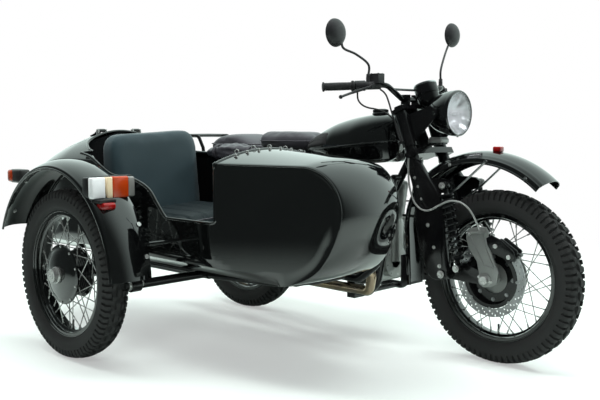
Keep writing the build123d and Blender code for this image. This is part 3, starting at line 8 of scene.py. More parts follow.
import bmesh
import bpy
import numpy as np
from bpy.props import FloatProperty, FloatVectorProperty, IntProperty, PointerProperty
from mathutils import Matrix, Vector

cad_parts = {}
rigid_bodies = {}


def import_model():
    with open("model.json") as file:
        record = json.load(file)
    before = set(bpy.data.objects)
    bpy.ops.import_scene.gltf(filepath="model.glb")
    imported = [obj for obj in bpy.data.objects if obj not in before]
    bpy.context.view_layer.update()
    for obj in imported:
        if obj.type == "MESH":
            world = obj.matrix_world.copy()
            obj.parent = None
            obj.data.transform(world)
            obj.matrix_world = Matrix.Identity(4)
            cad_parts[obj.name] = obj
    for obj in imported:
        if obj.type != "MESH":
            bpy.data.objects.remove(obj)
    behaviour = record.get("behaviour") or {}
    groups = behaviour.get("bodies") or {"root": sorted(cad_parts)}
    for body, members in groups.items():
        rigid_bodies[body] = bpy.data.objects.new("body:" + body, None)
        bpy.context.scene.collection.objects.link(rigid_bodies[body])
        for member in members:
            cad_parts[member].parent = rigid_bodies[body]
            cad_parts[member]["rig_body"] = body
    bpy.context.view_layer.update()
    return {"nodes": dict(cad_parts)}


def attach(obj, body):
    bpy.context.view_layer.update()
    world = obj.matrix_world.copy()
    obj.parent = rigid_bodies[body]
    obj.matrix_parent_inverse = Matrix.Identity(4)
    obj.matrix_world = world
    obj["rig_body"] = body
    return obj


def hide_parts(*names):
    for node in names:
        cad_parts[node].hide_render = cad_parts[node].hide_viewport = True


bl_info = {
    "name": "Sidecar motorcycle",
    "version": (1, 0, 0),
    "blender": (4, 5, 0),
    "location": "View3D > Sidebar > Outfit",
    "description": "Builds the wheels, bodywork, pads, lamps and controls of a sidecar motorcycle",
    "category": "Add Mesh",
}

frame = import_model()
ORIGIN = np.array([591.5, -379.5, 0.0])     # the maker's axes seen from the frame's origin

# Places that the solids give.
WHEELBASE, TRACK, LEAD, AXLE_Z = 1475.0, 1140.0, 200.0, 343.0
BODY_Y, HALF = -645.0, 285.0
HUBS = {"front": (WHEELBASE, 0.0, AXLE_Z), "rear": (0.0, 0.0, AXLE_Z), "sidecar": (LEAD, -TRACK, AXLE_Z)}
RAKE = math.radians(27.0)
SIDE_GUARD_R, REAR_GUARD_R = 460.0, 415.0     # crowns of the mudguards
STALK_ANGLE, TAIL_ANGLE = math.radians(137), math.radians(150)     # lamps round those crowns


def place(points):
    """Millimetres in the maker's axes to metres in the frame."""
    return (np.asarray(points, float) - ORIGIN) / 1000.0


def steer(z, n=0.0, y=0.0):
    """Point on the steering axis at height z, moved n forward square to it."""
    return np.array([WHEELBASE + 60.0 - z * math.tan(RAKE) + n * math.cos(RAKE), y, z + n * math.sin(RAKE)])


def unit(v):
    v = np.asarray(v, float)
    return v / np.maximum(np.linalg.norm(v, axis=-1, keepdims=True), 1e-12)


def basis(axis):
    """Two unit vectors square to an axis and to each other."""
    a = unit(axis)
    h = np.array([0.0, 0.0, 1.0]) if abs(a[2]) < 0.9 else np.array([1.0, 0.0, 0.0])
    u = unit(np.cross(h, a))
    return u, np.cross(a, u)


class Shape:
    """Arrays of points and faces that grow into one mesh."""

    def __init__(self):
        self.points, self.faces, self.marks, self.count = [], [], [], 0

    def add(self, points, faces, mark):
        self.points.append(np.asarray(points, float).reshape(-1, 3))
        for f in faces:
            self.faces += (f + self.count).tolist()
            self.marks += [mark] * len(f)
        self.count += len(self.points[-1])
        return self

    def grid(self, p, around=False, along=False, mark=0):
        """Quads over a table of points p[i, j]; around closes j on itself and along closes i."""
        n, m = p.shape[:2]
        k = np.arange(n * m).reshape(n, m)
        if along:
            k = np.vstack([k, k[:1]])
        if around:
            k = np.hstack([k, k[:, :1]])
        q = np.stack([k[:-1, :-1], k[1:, :-1], k[1:, 1:], k[:-1, 1:]], -1).reshape(-1, 4)
        return self.add(p, [q], mark)

    def capped(self, p, mark=0):
        """A grid closed round j, with its first and last rows closed by a fan to their middles."""
        n, m = p.shape[:2]
        self.grid(p, around=True, mark=mark)
        for row in (p[0], p[-1]):
            i = np.arange(m)
            t = np.stack([i, (i + 1) % m, np.full(m, m)], -1)
            self.add(np.vstack([row, row.mean(0)]), [t], mark)
        return self

    def lathe(self, profile, origin, axis, sides=48, mark=0, closed=True):
        """Profile of (radius, height) turned about an axis; closed joins its last point to its first."""
        pr = np.asarray(profile, float)
        u, w = basis(axis)
        a = np.linspace(0, 2 * np.pi, sides, endpoint=False)
        ring = np.cos(a)[:, None] * u + np.sin(a)[:, None] * w
        p = np.asarray(origin, float) + pr[:, 1][None, :, None] * \
                       unit(axis) + pr[:, 0][None, :, None] * ring[:, None, :]
        return self.grid(p, around=closed, along=True, mark=mark)

    def tube(self, path, radius, sides=12, mark=0, closed=False, flat=1.0):
        """Circle carried along a path with a frame that turns as little as it can; the radius may
        change along it and flat squeezes it along its second axis."""
        p = np.asarray(path, float)
        r = np.broadcast_to(np.asarray(radius, float), (len(p),))
        u, w = frames(p, closed)
        a = np.linspace(0, 2 * np.pi, sides, endpoint=False)
        ring = p[:, None] + r[:, None, None] * (np.cos(a)[None, :, None] * \
                                                u[:, None] + flat * np.sin(a)[None, :, None] * w[:, None])
        return self.grid(ring, around=True, along=True, mark=mark) if closed else self.capped(ring, mark)

    def rod(self, a, b, r, sides=16, mark=0, edge=0.0):
        """Round bar from a to b with a small chamfer at each end."""
        a, b = np.asarray(a, float), np.asarray(b, float)
        n = np.linalg.norm(b - a)
        e = min(edge, r * 0.5, n * 0.4)
        if e <= 0:
            return self.lathe([(0, 0), (r, 0), (r, n), (0, n)], a, b - a, sides, mark, closed=False)
        return self.lathe([(0, 0), (r - e, 0), (r, e), (r, n - e), (r - e, n), (0, n)],
                          a, b - a, sides, mark, closed=False)

    def box(self, low, high, edge=1.5, mark=0, turn=None, at=(0, 0, 0)):
        """Block with rounded edges: a rounded square carried up through five levels that shrink at
        the ends.  turn is a 3x3 matrix of its axes and at its place; where low and
        high aren't even, their middle is added along the outer axes and not the turned ones."""
        lo, hi = np.minimum(low, high).astype(float), np.maximum(low, high).astype(float)
        c, h = (lo + hi) / 2, (hi - lo) / 2
        e = min(edge, h.min() * 0.95)
        a = np.linspace(0, 2 * np.pi, 16, endpoint=False) + np.pi / 16
        sx, sy = np.sign(np.cos(a)), np.sign(np.sin(a))
        rows = []
        for z, s in ((-h[2], e), (-h[2] + 0.3 * e, 0.3 * e), (-h[2] + e, 0),
                     (h[2] - e, 0), (h[2] - 0.3 * e, 0.3 * e), (h[2], e)):
            x = sx * (h[0] - e) + (e - s) * np.cos(a)
            y = sy * (h[1] - e) + (e - s) * np.sin(a)
            rows.append(np.stack([x, y, np.full(16, z)], -1))
        p = np.array(rows)
        if turn is not None:
            p = p @ np.asarray(turn, float) + np.asarray(at, float) + (c if np.any(c) else 0)
        else:
            p = p + c + np.asarray(at, float)
        return self.capped(p, mark)

    def bolt(self, at, axis, r=7.0, height=5.0, mark=0, washer=True):
        """Hexagon head on a washer."""
        at, n = np.asarray(at, float), unit(axis)
        if washer:
            self.lathe([(0, 0), (r * 1.45, 0), (r * 1.45, 1.4), (0, 1.4)], at, n, 20, mark, closed=False)
            at = at + n * 1.4
        return self.lathe([(0, 0), (r, 0), (r, height - 1), (r * 0.86, height),
                          (0, height)], at, n, 6, mark, closed=False)

    def moved(self, matrix=None, shift=(0, 0, 0)):
        self.points = [p @ (np.eye(3) if matrix is None else matrix).T + np.asarray(shift, float) for p in self.points]
        return self

    def mirrored(self):
        """The same shape again on the other side of the motorcycle's centre plane."""
        p = np.vstack(self.points) * np.array([1.0, -1.0, 1.0])
        faces = [[i + self.count for i in reversed(f)] for f in self.faces]
        self.faces += faces
        self.marks += list(self.marks)
        self.points.append(p)
        self.count *= 2
        return self

    def make(self, name, materials, body, replaces=(), slot=None, angle=35.0, weld=0.01, outward=True):
        """Puts the arrays into a mesh: joins doubled points, turns faces outwards and shades
        smooth up to an angle."""
        mesh = bpy.data.meshes.new(name)
        mesh.from_pydata(place(np.vstack(self.points)).tolist(), [], self.faces)
        mesh.polygons.foreach_set("material_index", np.array(self.marks, np.int32))
        for m in materials:
            mesh.materials.append(m)
        bm = bmesh.new()
        bm.from_mesh(mesh)
        bmesh.ops.remove_doubles(bm, verts=bm.verts, dist=weld / 1000.0)
        bmesh.ops.dissolve_degenerate(bm, edges=bm.edges, dist=1e-7)
        if outward:
            bmesh.ops.recalc_face_normals(bm, faces=bm.faces)
        bm.to_mesh(mesh)
        bm.free()
        shade(mesh, angle)
        obj = bpy.data.objects.new(name, mesh)
        bpy.context.scene.collection.objects.link(obj)
        return dress(obj, body, replaces, slot)


def shade(mesh, angle):
    """Smooth faces, with edges sharper than an angle kept crisp."""
    mesh.polygons.foreach_set("use_smooth", np.ones(len(mesh.polygons), bool))
    mesh.set_sharp_from_angle(angle=math.radians(angle))


def dress(obj, body, replaces=(), slot=None):
    """Rides a finished piece on its body and hides the plain parts it replaces."""
    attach(obj, body)
    if replaces:
        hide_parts(*replaces)
    return obj


def frames(p, closed=False):
    """Unit vectors square to a path: the first is carried from point to point by taking away
    its part along each new direction."""
    t = np.gradient(p, axis=0)
    if closed:
        t = np.roll(p, -1, 0) - np.roll(p, 1, 0)
    t = unit(t)
    u = np.empty_like(p)
    u[0] = basis(t[0])[0]
    for i in range(1, len(p)):
        v = u[i - 1] - t[i] * np.dot(u[i - 1], t[i])
        u[i] = v / np.linalg.norm(v)
    if closed:
        w0 = np.cross(t[0], u[0])
        v = u[-1] - t[0] * np.dot(u[-1], t[0])
        twist = math.atan2(np.dot(v, w0), np.dot(v, u[0]))
        a = -twist * np.arange(len(p)) / len(p)
        w = np.cross(t, u)
        u = np.cos(a)[:, None] * u + np.sin(a)[:, None] * w
    return u, np.cross(t, u)


def bent(points, radius, step=6):
    """Path of straight runs whose corners are arcs of a radius, cut to what the runs allow."""
    p = np.asarray(points, float)
    radii = np.broadcast_to(np.asarray(radius, float), (len(p) - 2,)) if len(p) > 2 else []
    out = [p[0]]
    for i in range(1, len(p) - 1):
        a, b = unit(p[i - 1] - p[i]), unit(p[i + 1] - p[i])
        half = math.acos(np.clip(np.dot(a, b), -1, 1)) / 2
        if half > math.pi / 2 - 1e-3:
            continue
        room = 0.49 * min(np.linalg.norm(p[i - 1] - p[i]), np.linalg.norm(p[i + 1] - p[i]))
        cut = min(radii[i - 1] / math.tan(half), room)
        r = cut * math.tan(half)
        centre = p[i] + unit(a + b) * r / math.sin(half)
        turn = math.pi - 2 * half
        s = np.linspace(-turn / 2, turn / 2, max(3, int(step)))
        mid = unit(p[i] - centre)
        side = unit(b - a)
        out += list(centre + r * (np.cos(s)[:, None] * mid + np.sin(s)[:, None] * side))
    out.append(p[-1])
    return np.array(out)


def curve(points, count, closed=False):
    """Centripetal-free Catmull-Rom curve through points, sampled evenly in its parameter."""
    p = np.asarray(points, float)
    n = len(p)
    t = np.linspace(0, n if closed else n - 1, count, endpoint=not closed)
    i = np.minimum(t.astype(int), n - 1 if closed else n - 2)
    f = (t - i)[:, None]
    if closed:
        a, b, c, d = (p[(i + k) % n] for k in (-1, 0, 1, 2))
    else:
        e = np.vstack([2 * p[0] - p[1], p, 2 * p[-1] - p[-2]])
        a, b, c, d = (e[i + k] for k in (0, 1, 2, 3))
    return 0.5 * ((2 * b) + (c - a) * f + (2 * a - 5 * b + 4 * c - d) * f ** 2 + (3 * b - a - 3 * c + d) * f ** 3)


def slopes(x, y):
    """Slopes for a smooth curve that never overshoots its points."""
    h, d = np.diff(x), np.diff(y) / np.diff(x)
    m = np.empty(len(x))
    m[0], m[-1] = d[0], d[-1]
    w1, w2 = 2 * h[1:] + h[:-1], h[1:] + 2 * h[:-1]
    with np.errstate(divide="ignore", invalid="ignore"):
        mid = (w1 + w2) / (w1 / d[:-1] + w2 / d[1:])
    m[1:-1] = np.where(d[:-1] * d[1:] > 0, mid, 0.0)
    return m


def through(x, y, q):
    """Smooth value at q through the points (x, y)."""
    x, y, q = np.asarray(x, float), np.asarray(y, float), np.asarray(q, float)
    m = slopes(x, y)
    i = np.clip(np.searchsorted(x, q) - 1, 0, len(x) - 2)
    h = x[i + 1] - x[i]
    t = np.clip((q - x[i]) / h, 0, 1)
    return ((2 * t ** 3 - 3 * t ** 2 + 1) * y[i] + (t ** 3 - 2 * t ** 2 + t) * h * m[i]
            + (-2 * t ** 3 + 3 * t ** 2) * y[i + 1] + (t ** 3 - t ** 2) * h * m[i + 1])


def helix(a, b, radius, turns, per=20):
    """Coil about the line from a to b."""
    a, b = np.asarray(a, float), np.asarray(b, float)
    u, w = basis(b - a)
    t = np.linspace(0, 1, int(turns * per) + 1)
    g = 2 * np.pi * turns * t
    return a + t[:, None] * (b - a) + radius * (np.cos(g)[:, None] * u + np.sin(g)[:, None] * w)


# ---------------------------------------------------------------- materials
class Web:
    """Small helper that adds nodes to a tree and links them."""

    def __init__(self, tree):
        self.tree, self.n, self.l = tree, tree.nodes, tree.links

    def node(self, kind, **values):
        n = self.n.new(kind)
        for k, v in values.items():
            if k.startswith("in_"):
                key = k[3:].replace("_", " ")
                n.inputs[int(key) if key.isdigit() else key].default_value = v
            else:
                setattr(n, k, v)
        return n

    def link(self, a, b):
        self.l.new(a, b)

    def noise(self, vec, scale, detail=3.0, rough=0.55):
        n = self.node("ShaderNodeTexNoise", in_Scale=scale, in_Detail=detail, in_Roughness=rough)
        self.link(vec, n.inputs["Vector"])
        return n.outputs["Fac"]

    def ramp(self, value, low, high, a=0.0, b=1.0):
        n = self.node("ShaderNodeMapRange", clamp=True)
        for i, v in ((1, low), (2, high), (3, a), (4, b)):
            n.inputs[i].default_value = v
        self.link(value, n.inputs[0])
        return n.outputs[0]

    def math(self, op, a, b):
        n = self.node("ShaderNodeMath", operation=op)
        for i, v in enumerate((a, b)):
            if isinstance(v, (int, float)):
                n.inputs[i].default_value = v
            else:
                self.link(v, n.inputs[i])
        return n.outputs[0]

    def mix(self, fac, a, b):
        n = self.node("ShaderNodeMix", data_type="RGBA")
        for i, v in ((0, fac), (6, a), (7, b)):
            if isinstance(v, (int, float, tuple, list)):
                n.inputs[i].default_value = v
            else:
                self.link(v, n.inputs[i])
        return n.outputs[2]

    def bump(self, height, strength, distance):
        n = self.node("ShaderNodeBump", in_Strength=strength, in_Distance=distance)
        self.link(height, n.inputs["Height"])
        return n.outputs["Normal"]


def group(name, inputs, outputs, build):
    """A node group made once, with named sockets in and out."""
    g = bpy.data.node_groups.get(name)
    if g:
        return g
    g = bpy.data.node_groups.new(name, "ShaderNodeTree")
    for label, kind, value in inputs:
        s = g.interface.new_socket(label, in_out="INPUT", socket_type=kind)
        s.default_value = value
    for label, kind in outputs:
        g.interface.new_socket(label, in_out="OUTPUT", socket_type=kind)
    w = Web(g)
    build(w, w.node("NodeGroupInput").outputs, w.node("NodeGroupOutput").inputs)
    return g


FLOAT, COLOR = "NodeSocketFloat", "NodeSocketColor"


def wear_group():
    """Dust and rub marks: two noises of different size, cut to patches, and a finer one in them."""
    def build(w, i, o):
        pos = w.node("ShaderNodeTexCoord").outputs["Object"]
        big = w.noise(pos, 3.0, 4.0, 0.6)
        fine = w.noise(pos, 160.0, 2.0, 0.6)
        low = w.node("ShaderNodeSeparateXYZ")
        w.link(pos, low.inputs[0])
        height = w.ramp(low.outputs[2], 0.0, 0.55, 1.0, 0.15)
        patch = w.math("MULTIPLY", w.ramp(big, 0.42, 0.72), height)
        dust = w.math("MULTIPLY", w.math("MULTIPLY", patch, w.ramp(fine, 0.3, 0.75, 0.5, 1.0)), i["Dust"])
        w.link(w.mix(dust, i["Base"], i["Dust Color"]), o["Color"])
        w.link(dust, o["Mask"])
        rough = w.math("ADD", i["Roughness"], w.math("MULTIPLY", dust, 0.5))
        streak = w.math("MULTIPLY", w.math("SUBTRACT", w.noise(pos, 22.0, 3.0, 0.6), 0.5), i["Uneven"])
        w.link(w.math("ADD", rough, streak), o["Roughness"])
    return group("dust_and_rub",
                 [("Base", COLOR, (0.5, 0.5, 0.5, 1)), ("Dust Color", COLOR, (0.3, 0.28, 0.25, 1)), ("Dust", FLOAT, 0.2),
                  ("Roughness", FLOAT, 0.3), ("Uneven", FLOAT, 0.1)],
                 [("Color", COLOR), ("Mask", FLOAT), ("Roughness", FLOAT)], build)


def grain_group():
    """Height of a surface skin: cell noise for leather or castings, with a softer swell under it."""
    def build(w, i, o):
        pos = w.node("ShaderNodeTexCoord").outputs["Object"]
        cell = w.node("ShaderNodeTexVoronoi", feature="DISTANCE_TO_EDGE")
        w.link(pos, cell.inputs["Vector"])
        w.link(i["Scale"], cell.inputs["Scale"])
        crease = w.ramp(cell.outputs["Distance"], 0.0, 0.12)
        n = w.node("ShaderNodeTexNoise", in_Detail=2.0)
        w.link(pos, n.inputs["Vector"])
        w.link(i["Scale"], n.inputs["Scale"])
        soft = w.noise(pos, 14.0, 2.0, 0.5)
        h = w.math(
    "ADD", w.math(
        "MULTIPLY", crease, i["Creases"]), w.math(
            "MULTIPLY", n.outputs["Fac"], w.math(
                "SUBTRACT", 1.0, i["Creases"])))
        w.link(w.math("ADD", h, w.math("MULTIPLY", soft, i["Swell"])), o["Height"])
        w.link(h, o["Mask"])
    return group("surface_grain", [("Scale", FLOAT, 400.0), ("Creases", FLOAT, 0.5),
                 ("Swell", FLOAT, 0.3)], [("Height", FLOAT), ("Mask", FLOAT)], build)


def finish(name, base, rough, metallic=0.0, dust=0.1, uneven=0.06, grain=None, tint=None, coat=0.0, spec=0.5, sheen=0.0,
           dust_color=(0.32, 0.30, 0.27, 1), coat_rough=0.04, tint_scale=6.0, ior=1.5):
    """A solid material: base colour with a second tint in soft patches, dust, uneven gloss and a
    grain of (scale, creases, swell, strength, distance in metres)."""
    if name in bpy.data.materials:
        return bpy.data.materials[name]
    m = bpy.data.materials.new(name)
    m.use_nodes = True
    m.diffuse_color = (*base, 1)
    w = Web(m.node_tree)
    w.n.clear()
    out = w.node("ShaderNodeOutputMaterial")
    s = w.node("ShaderNodeBsdfPrincipled")
    w.link(s.outputs[0], out.inputs[0])
    pos = w.node("ShaderNodeTexCoord").outputs["Object"]
    tinted = w.mix(w.ramp(w.noise(pos, tint_scale, 4.0, 0.6), 0.35, 0.7),
                   (*base, 1), (*(tint or tuple(c * 0.82 for c in base)), 1))
    wear = w.node("ShaderNodeGroup", node_tree=wear_group())
    w.link(tinted, wear.inputs["Base"])
    for k, v in (("Dust Color", dust_color), ("Dust", dust), ("Roughness", rough), ("Uneven", uneven)):
        wear.inputs[k].default_value = v
    w.link(wear.outputs["Color"], s.inputs["Base Color"])
    w.link(wear.outputs["Roughness"], s.inputs["Roughness"])
    s.inputs["Metallic"].default_value = metallic
    s.inputs["Coat Weight"].default_value = coat
    s.inputs["Coat Roughness"].default_value = coat_rough
    s.inputs["Specular IOR Level"].default_value = spec
    s.inputs["IOR"].default_value = ior
    if sheen:
        s.inputs["Sheen Weight"].default_value = sheen
        s.inputs["Sheen Roughness"].default_value = 0.5
    if grain:
        g = w.node("ShaderNodeGroup", node_tree=grain_group())
        for k, v in zip(("Scale", "Creases", "Swell"), grain):
            g.inputs[k].default_value = v
        w.link(w.bump(g.outputs["Height"], grain[3], grain[4]), s.inputs["Normal"])
    return m


def see_through(name, color, rough=0.03, ior=1.46, flutes=0.0):
    """Clear or coloured glass; flutes adds the upright ribs of a lamp glass."""
    if name in bpy.data.materials:
        return bpy.data.materials[name]
    m = bpy.data.materials.new(name)
    m.use_nodes = True
    w = Web(m.node_tree)
    w.n.clear()
    out = w.node("ShaderNodeOutputMaterial")
    s = w.node("ShaderNodeBsdfPrincipled", in_Roughness=rough, in_IOR=ior)
    s.inputs["Base Color"].default_value = (*color, 1)
    s.inputs["Transmission Weight"].default_value = 1.0
    pos = w.node("ShaderNodeTexCoord").outputs["Object"]
    smear = w.ramp(w.noise(pos, 30.0, 3.0, 0.6), 0.4, 0.8, rough, rough + 0.05)
    w.link(smear, s.inputs["Roughness"])
    if flutes:
        wave = w.node("ShaderNodeTexWave", wave_type="BANDS", bands_direction="Y", in_Scale=flutes)
        w.link(pos, wave.inputs["Vector"])
        w.link(w.bump(wave.outputs["Fac"], 0.35, 0.0015), s.inputs["Normal"])
    w.link(s.outputs[0], out.inputs[0])
    return m


def paint_black(): return finish(
    "black_enamel", tuple(
        LOOK.paint), 0.05, dust=0.012, uneven=0.02, tint=(
            0.003, 0.0035, 0.0035), spec=0.5, ior=1.7, coat=0.6)
def frame_black(): return finish("frame_enamel", (0.003, 0.003, 0.0035), 0.16,
                dust=0.05, uneven=0.06, tint=(0.006, 0.006, 0.0065), spec=0.5)
def moulded(): return finish(
    "moulded_black", (0.018, 0.018, 0.02), 0.42, dust=0.18, uneven=0.08, grain=(
        900.0, 0.2, 0.1, 0.25, 0.0004), tint=(
            0.03, 0.03, 0.032))
def rubber(): return finish(
    "black_rubber", (0.02, 0.02, 0.021), 0.62, dust=0.25, grain=(
        700.0, 0.3, 0.2, 0.3, 0.0004), tint=(
            0.032, 0.032, 0.033))
def tyre_rubber(): return finish(
    "tyre_rubber", tuple(
        LOOK.tyre), 0.6, dust=0.35, uneven=0.1, grain=(
            420.0, 0.25, 0.35, 0.35, 0.0006), tint=(
                0.030, 0.033, 0.036), tint_scale=16.0)
def chrome(): return finish("bright_chrome", (0.72, 0.73, 0.74), 0.06,
           metallic=1.0, dust=0.06, uneven=0.05, tint=(0.62, 0.63, 0.65))
def polished(): return finish("polished_alloy", (0.66, 0.66, 0.66), 0.2, metallic=1.0, dust=0.15,
             uneven=0.14, grain=(300.0, 0.0, 0.2, 0.08, 0.0004), tint=(0.52, 0.52, 0.53))
def cast(): return finish(
    "cast_alloy", tuple(
        LOOK.alloy), 0.46, metallic=0.75, dust=0.35, uneven=0.16, grain=(
            520.0, 0.15, 0.5, 0.4, 0.0007), tint=(
                0.34, 0.35, 0.34))
def steel(): return finish("bare_steel", (0.5, 0.5, 0.51), 0.3, metallic=1.0, dust=0.2,
          uneven=0.15, grain=(800.0, 0.0, 0.1, 0.12, 0.0003), tint=(0.36, 0.36, 0.37))
def zinc(): return finish("zinc_plate", (0.66, 0.68, 0.66), 0.26,
         metallic=0.7, dust=0.12, uneven=0.12, tint=(0.5, 0.5, 0.49))
def hot_steel(): return finish("heated_steel", (0.62, 0.48, 0.30), 0.22, metallic=1.0,
              dust=0.15, uneven=0.15, tint=(0.42, 0.33, 0.30), tint_scale=9.0)
def vinyl(): return finish(
    "seat_vinyl", (0.013, 0.016, 0.017), 0.34, dust=0.1, uneven=0.1, grain=(
        330.0, 0.75, 0.2, 0.35, 0.0006), tint=(
            0.021, 0.026, 0.027), sheen=0.1)
def slate_vinyl(): return finish(
    "slate_vinyl", tuple(
        LOOK.cushion), 0.45, dust=0.08, uneven=0.1, grain=(
            300.0, 0.75, 0.25, 0.4, 0.0006), tint=(
                0.028, 0.049, 0.057), sheen=0.1, tint_scale=4.0, spec=0.4)
# Painted shade: the seat's cover is the backrest's slate vinyl at 0.28 of its colour, with less sheen and gloss,
# darkened for the shadow the seat lies in.
def shadow_painted_vinyl(): return finish("seat_slate_vinyl", tuple(0.28 * c for c in LOOK.cushion), 0.45, dust=0.05, uneven=0.1,
                 grain=(300.0, 0.75, 0.25, 0.4, 0.0006), tint=(0.008, 0.014, 0.016), sheen=0.03, tint_scale=4.0, spec=0.2)
def carpet(): return finish(
    "floor_mat", (0.02, 0.02, 0.021), 0.85, dust=0.3, grain=(
        240.0, 0.4, 0.4, 0.7, 0.002), tint=(
            0.035, 0.034, 0.033))
def lamp_black(): return finish("lamp_black", (0.012, 0.012, 0.013), 0.3, dust=0.1, uneven=0.06, tint=(0.02, 0.02, 0.02))
def mirror(): return finish("mirror_silver", (0.86, 0.88, 0.9), 0.02,
           metallic=1.0, dust=0.02, uneven=0.01, tint=(0.84, 0.86, 0.88))
def reflector(): return finish("lamp_reflector", (0.85, 0.88, 0.85), 0.12,
              metallic=0.7, dust=0.0, uneven=0.04, tint=(0.8, 0.81, 0.82))
def dial_white(): return finish("dial_marks", (0.8, 0.8, 0.78), 0.5, dust=0.03, tint=(0.72, 0.72, 0.7))
def clear(): return see_through("clear_glass", (0.96, 0.98, 1.0))
def ribbed(): return see_through("headlamp_glass", (0.95, 0.97, 1.0), flutes=60.0)
def solid_lens(name, color):
    return finish(name, color, 0.12, dust=0.04, coat=0.7, tint=tuple(
        c * 0.75 for c in color), grain=(260.0, 0.7, 0.0, 0.25, 0.0005))
def amber(): return solid_lens("amber_lens", (0.50, 0.05, 0.006))
def smoke(): return solid_lens("smoked_lens", (0.22, 0.22, 0.21))
def cream(): return solid_lens("cream_lens", (0.95, 0.78, 0.52))
def white_lens(): return solid_lens("white_lens", (0.92, 0.94, 0.95))
def red(): return solid_lens("red_lens", (0.30, 0.004, 0.004))


def dressed_copy(node, name, material, slot, edge=0.8, angle=28.0, extra=None, drop=None):
    """A copy of a plain solid with its triangles joined, its edges rounded and its curved faces
    shaded smooth.  extra is not used."""
    src = frame["nodes"][node]
    mesh = src.data.copy()
    mesh.name = name
    bm = bmesh.new()
    bm.from_mesh(mesh)
    bmesh.ops.remove_doubles(bm, verts=bm.verts, dist=2e-6)
    if drop:
        kill = [v for v in bm.verts if drop(np.array(v.co) * 1000.0 + ORIGIN)]
        bmesh.ops.delete(bm, geom=kill, context="VERTS")
    bmesh.ops.dissolve_limit(bm, angle_limit=math.radians(1.0), verts=bm.verts, edges=bm.edges)
    bm.to_mesh(mesh)
    bm.free()
    mesh.materials.clear()
    mesh.materials.append(material)
    mesh.polygons.foreach_set("material_index", np.zeros(len(mesh.polygons), np.int32))
    shade(mesh, angle)
    obj = bpy.data.objects.new(name, mesh)
    bpy.context.scene.collection.objects.link(obj)
    if edge:
        b = obj.modifiers.new("edges", "BEVEL")
        b.width, b.segments, b.limit_method, b.angle_limit = edge / 1000.0, 2, "ANGLE", math.radians(32)
        b.use_clamp_overlap = True
    return dress(obj, src["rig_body"], [node], slot)


# ---------------------------------------------------------------- wheels
TYRE_R, FLANGE_R, BEAD_R, RIM_HALF, HUB_R, HUB_FLANGE_R, HUB_HALF = 343.0, 254.0, 241.0, 37.0, 88.0, 100.0, 40.0


def tyre_shape(centre, pitches):
    """Blocked tyre.  Across the tread the surface follows a shallow arc, and a pattern of five
    rows of blocks, shifted by half a pitch from row to row, lifts it; the sides are a curve
    through the bead, the widest point and the shoulder."""
    depth = 10.0
    cuts = np.array([0.05, 0.105, 0.395, 0.45, 0.55, 0.605, 0.895, 0.95])
    u = (np.arange(pitches)[:, None] + cuts).ravel() / pitches
    phase = np.tile(np.arange(8), pitches)
    on_a = ((phase >= 1) & (phase <= 2)) | ((phase >= 5) & (phase <= 6))   # shoulder rows, two lugs a pitch
    on_b = (phase >= 1) & (phase <= 6) & (phase != 6)
    on_c = (phase <= 1) | (phase >= 6) | (phase == 7)
    ys = np.array([0, 8.4, 9.3, 11.8, 12.7, 26.5, 27.4, 30.4, 31.3, 39, 45.5])
    row = np.array([0, 0, -1, -1, 1, 1, -1, -1, 2, 2, 2])
    crown = 102.0
    r = TYRE_R - (crown - np.sqrt(crown ** 2 - ys ** 2))
    # down the shoulder: lug tips first, then the plain wall
    wall = np.array([(49.2, 327.0, 2), (51.4, 318.0, 2), (53.2, 308.0, 2), (53.0, 305.5, -2), (54.0, 296.0, -2), (53.2, 283.0, -2), (51.6, 276.0, -3), (51.4, 274.5, -2),
                     (48.0, 266.0, -2), (42.0, 260.0, -2), (37.6, 257.4, -2), (37.4, 254.6, -2), (33.2, 254.4, -2), (32.7, 242.0, -2)])
    y = np.concatenate([ys, wall[:, 0]])
    rad = np.concatenate([r, wall[:, 1]])
    kind = np.concatenate([row, wall[:, 2]]).astype(int)
    y = np.concatenate([-y[::-1], y[1:]])
    rad = np.concatenate([rad[::-1], rad[1:]])
    side = np.concatenate([np.zeros(len(kind), int), np.ones(len(kind) - 1, int)])
    kind = np.concatenate([kind[::-1], kind[1:]])
    lift = np.zeros((len(u), len(y)))
    for k, on in ((0, on_b), (1, on_c), (2, on_a)):
        lift += np.where(kind == k, 1.0, 0.0)[None] * on[:, None]
    # the second shoulder is half a pitch on
    shift = np.roll(lift, 2, 0)
    lift = np.where((side == 1)[None] & (kind == 1)[None], shift, lift)
    lift = np.where((kind <= -2)[None], 1.0, lift)
    lift = np.where((kind == -3)[None], 1.15, lift)
    out = np.where(kind == 2, 0.8, 1.0)
    low = rad - depth * out
    R = low[None] + (rad - low)[None] * lift
    W = y[None] - np.sign(y)[None] * np.where((kind == 2)[None], (1 - lift) * 5.0, 0.0)
    W = np.where((kind == -3)[None], W * 1.012, W)
    a = 2 * np.pi * u
    P = np.stack([R * np.cos(a)[:, None], W, R * np.sin(a)[:, None]], -1)
    inner = np.array([(20.0, 243.0), (26.0, 262.0), (41.0, 285.0), (42.0, 305.0), (30.0, 325.0),
                     (0.0, 331.0), (-30.0, 325.0), (-42.0, 305.0), (-41.0, 285.0), (-26.0, 262.0), (-20.0, 243.0)])
    Q = np.stack([inner[:, 1][None] * np.cos(a)[:, None], np.broadcast_to(inner[:, 0],
                 (len(a), len(inner))), inner[:, 1][None] * np.sin(a)[:, None]], -1)
    return Shape().grid(np.concatenate([P, Q], 1) + np.asarray(centre), around=True, along=True)


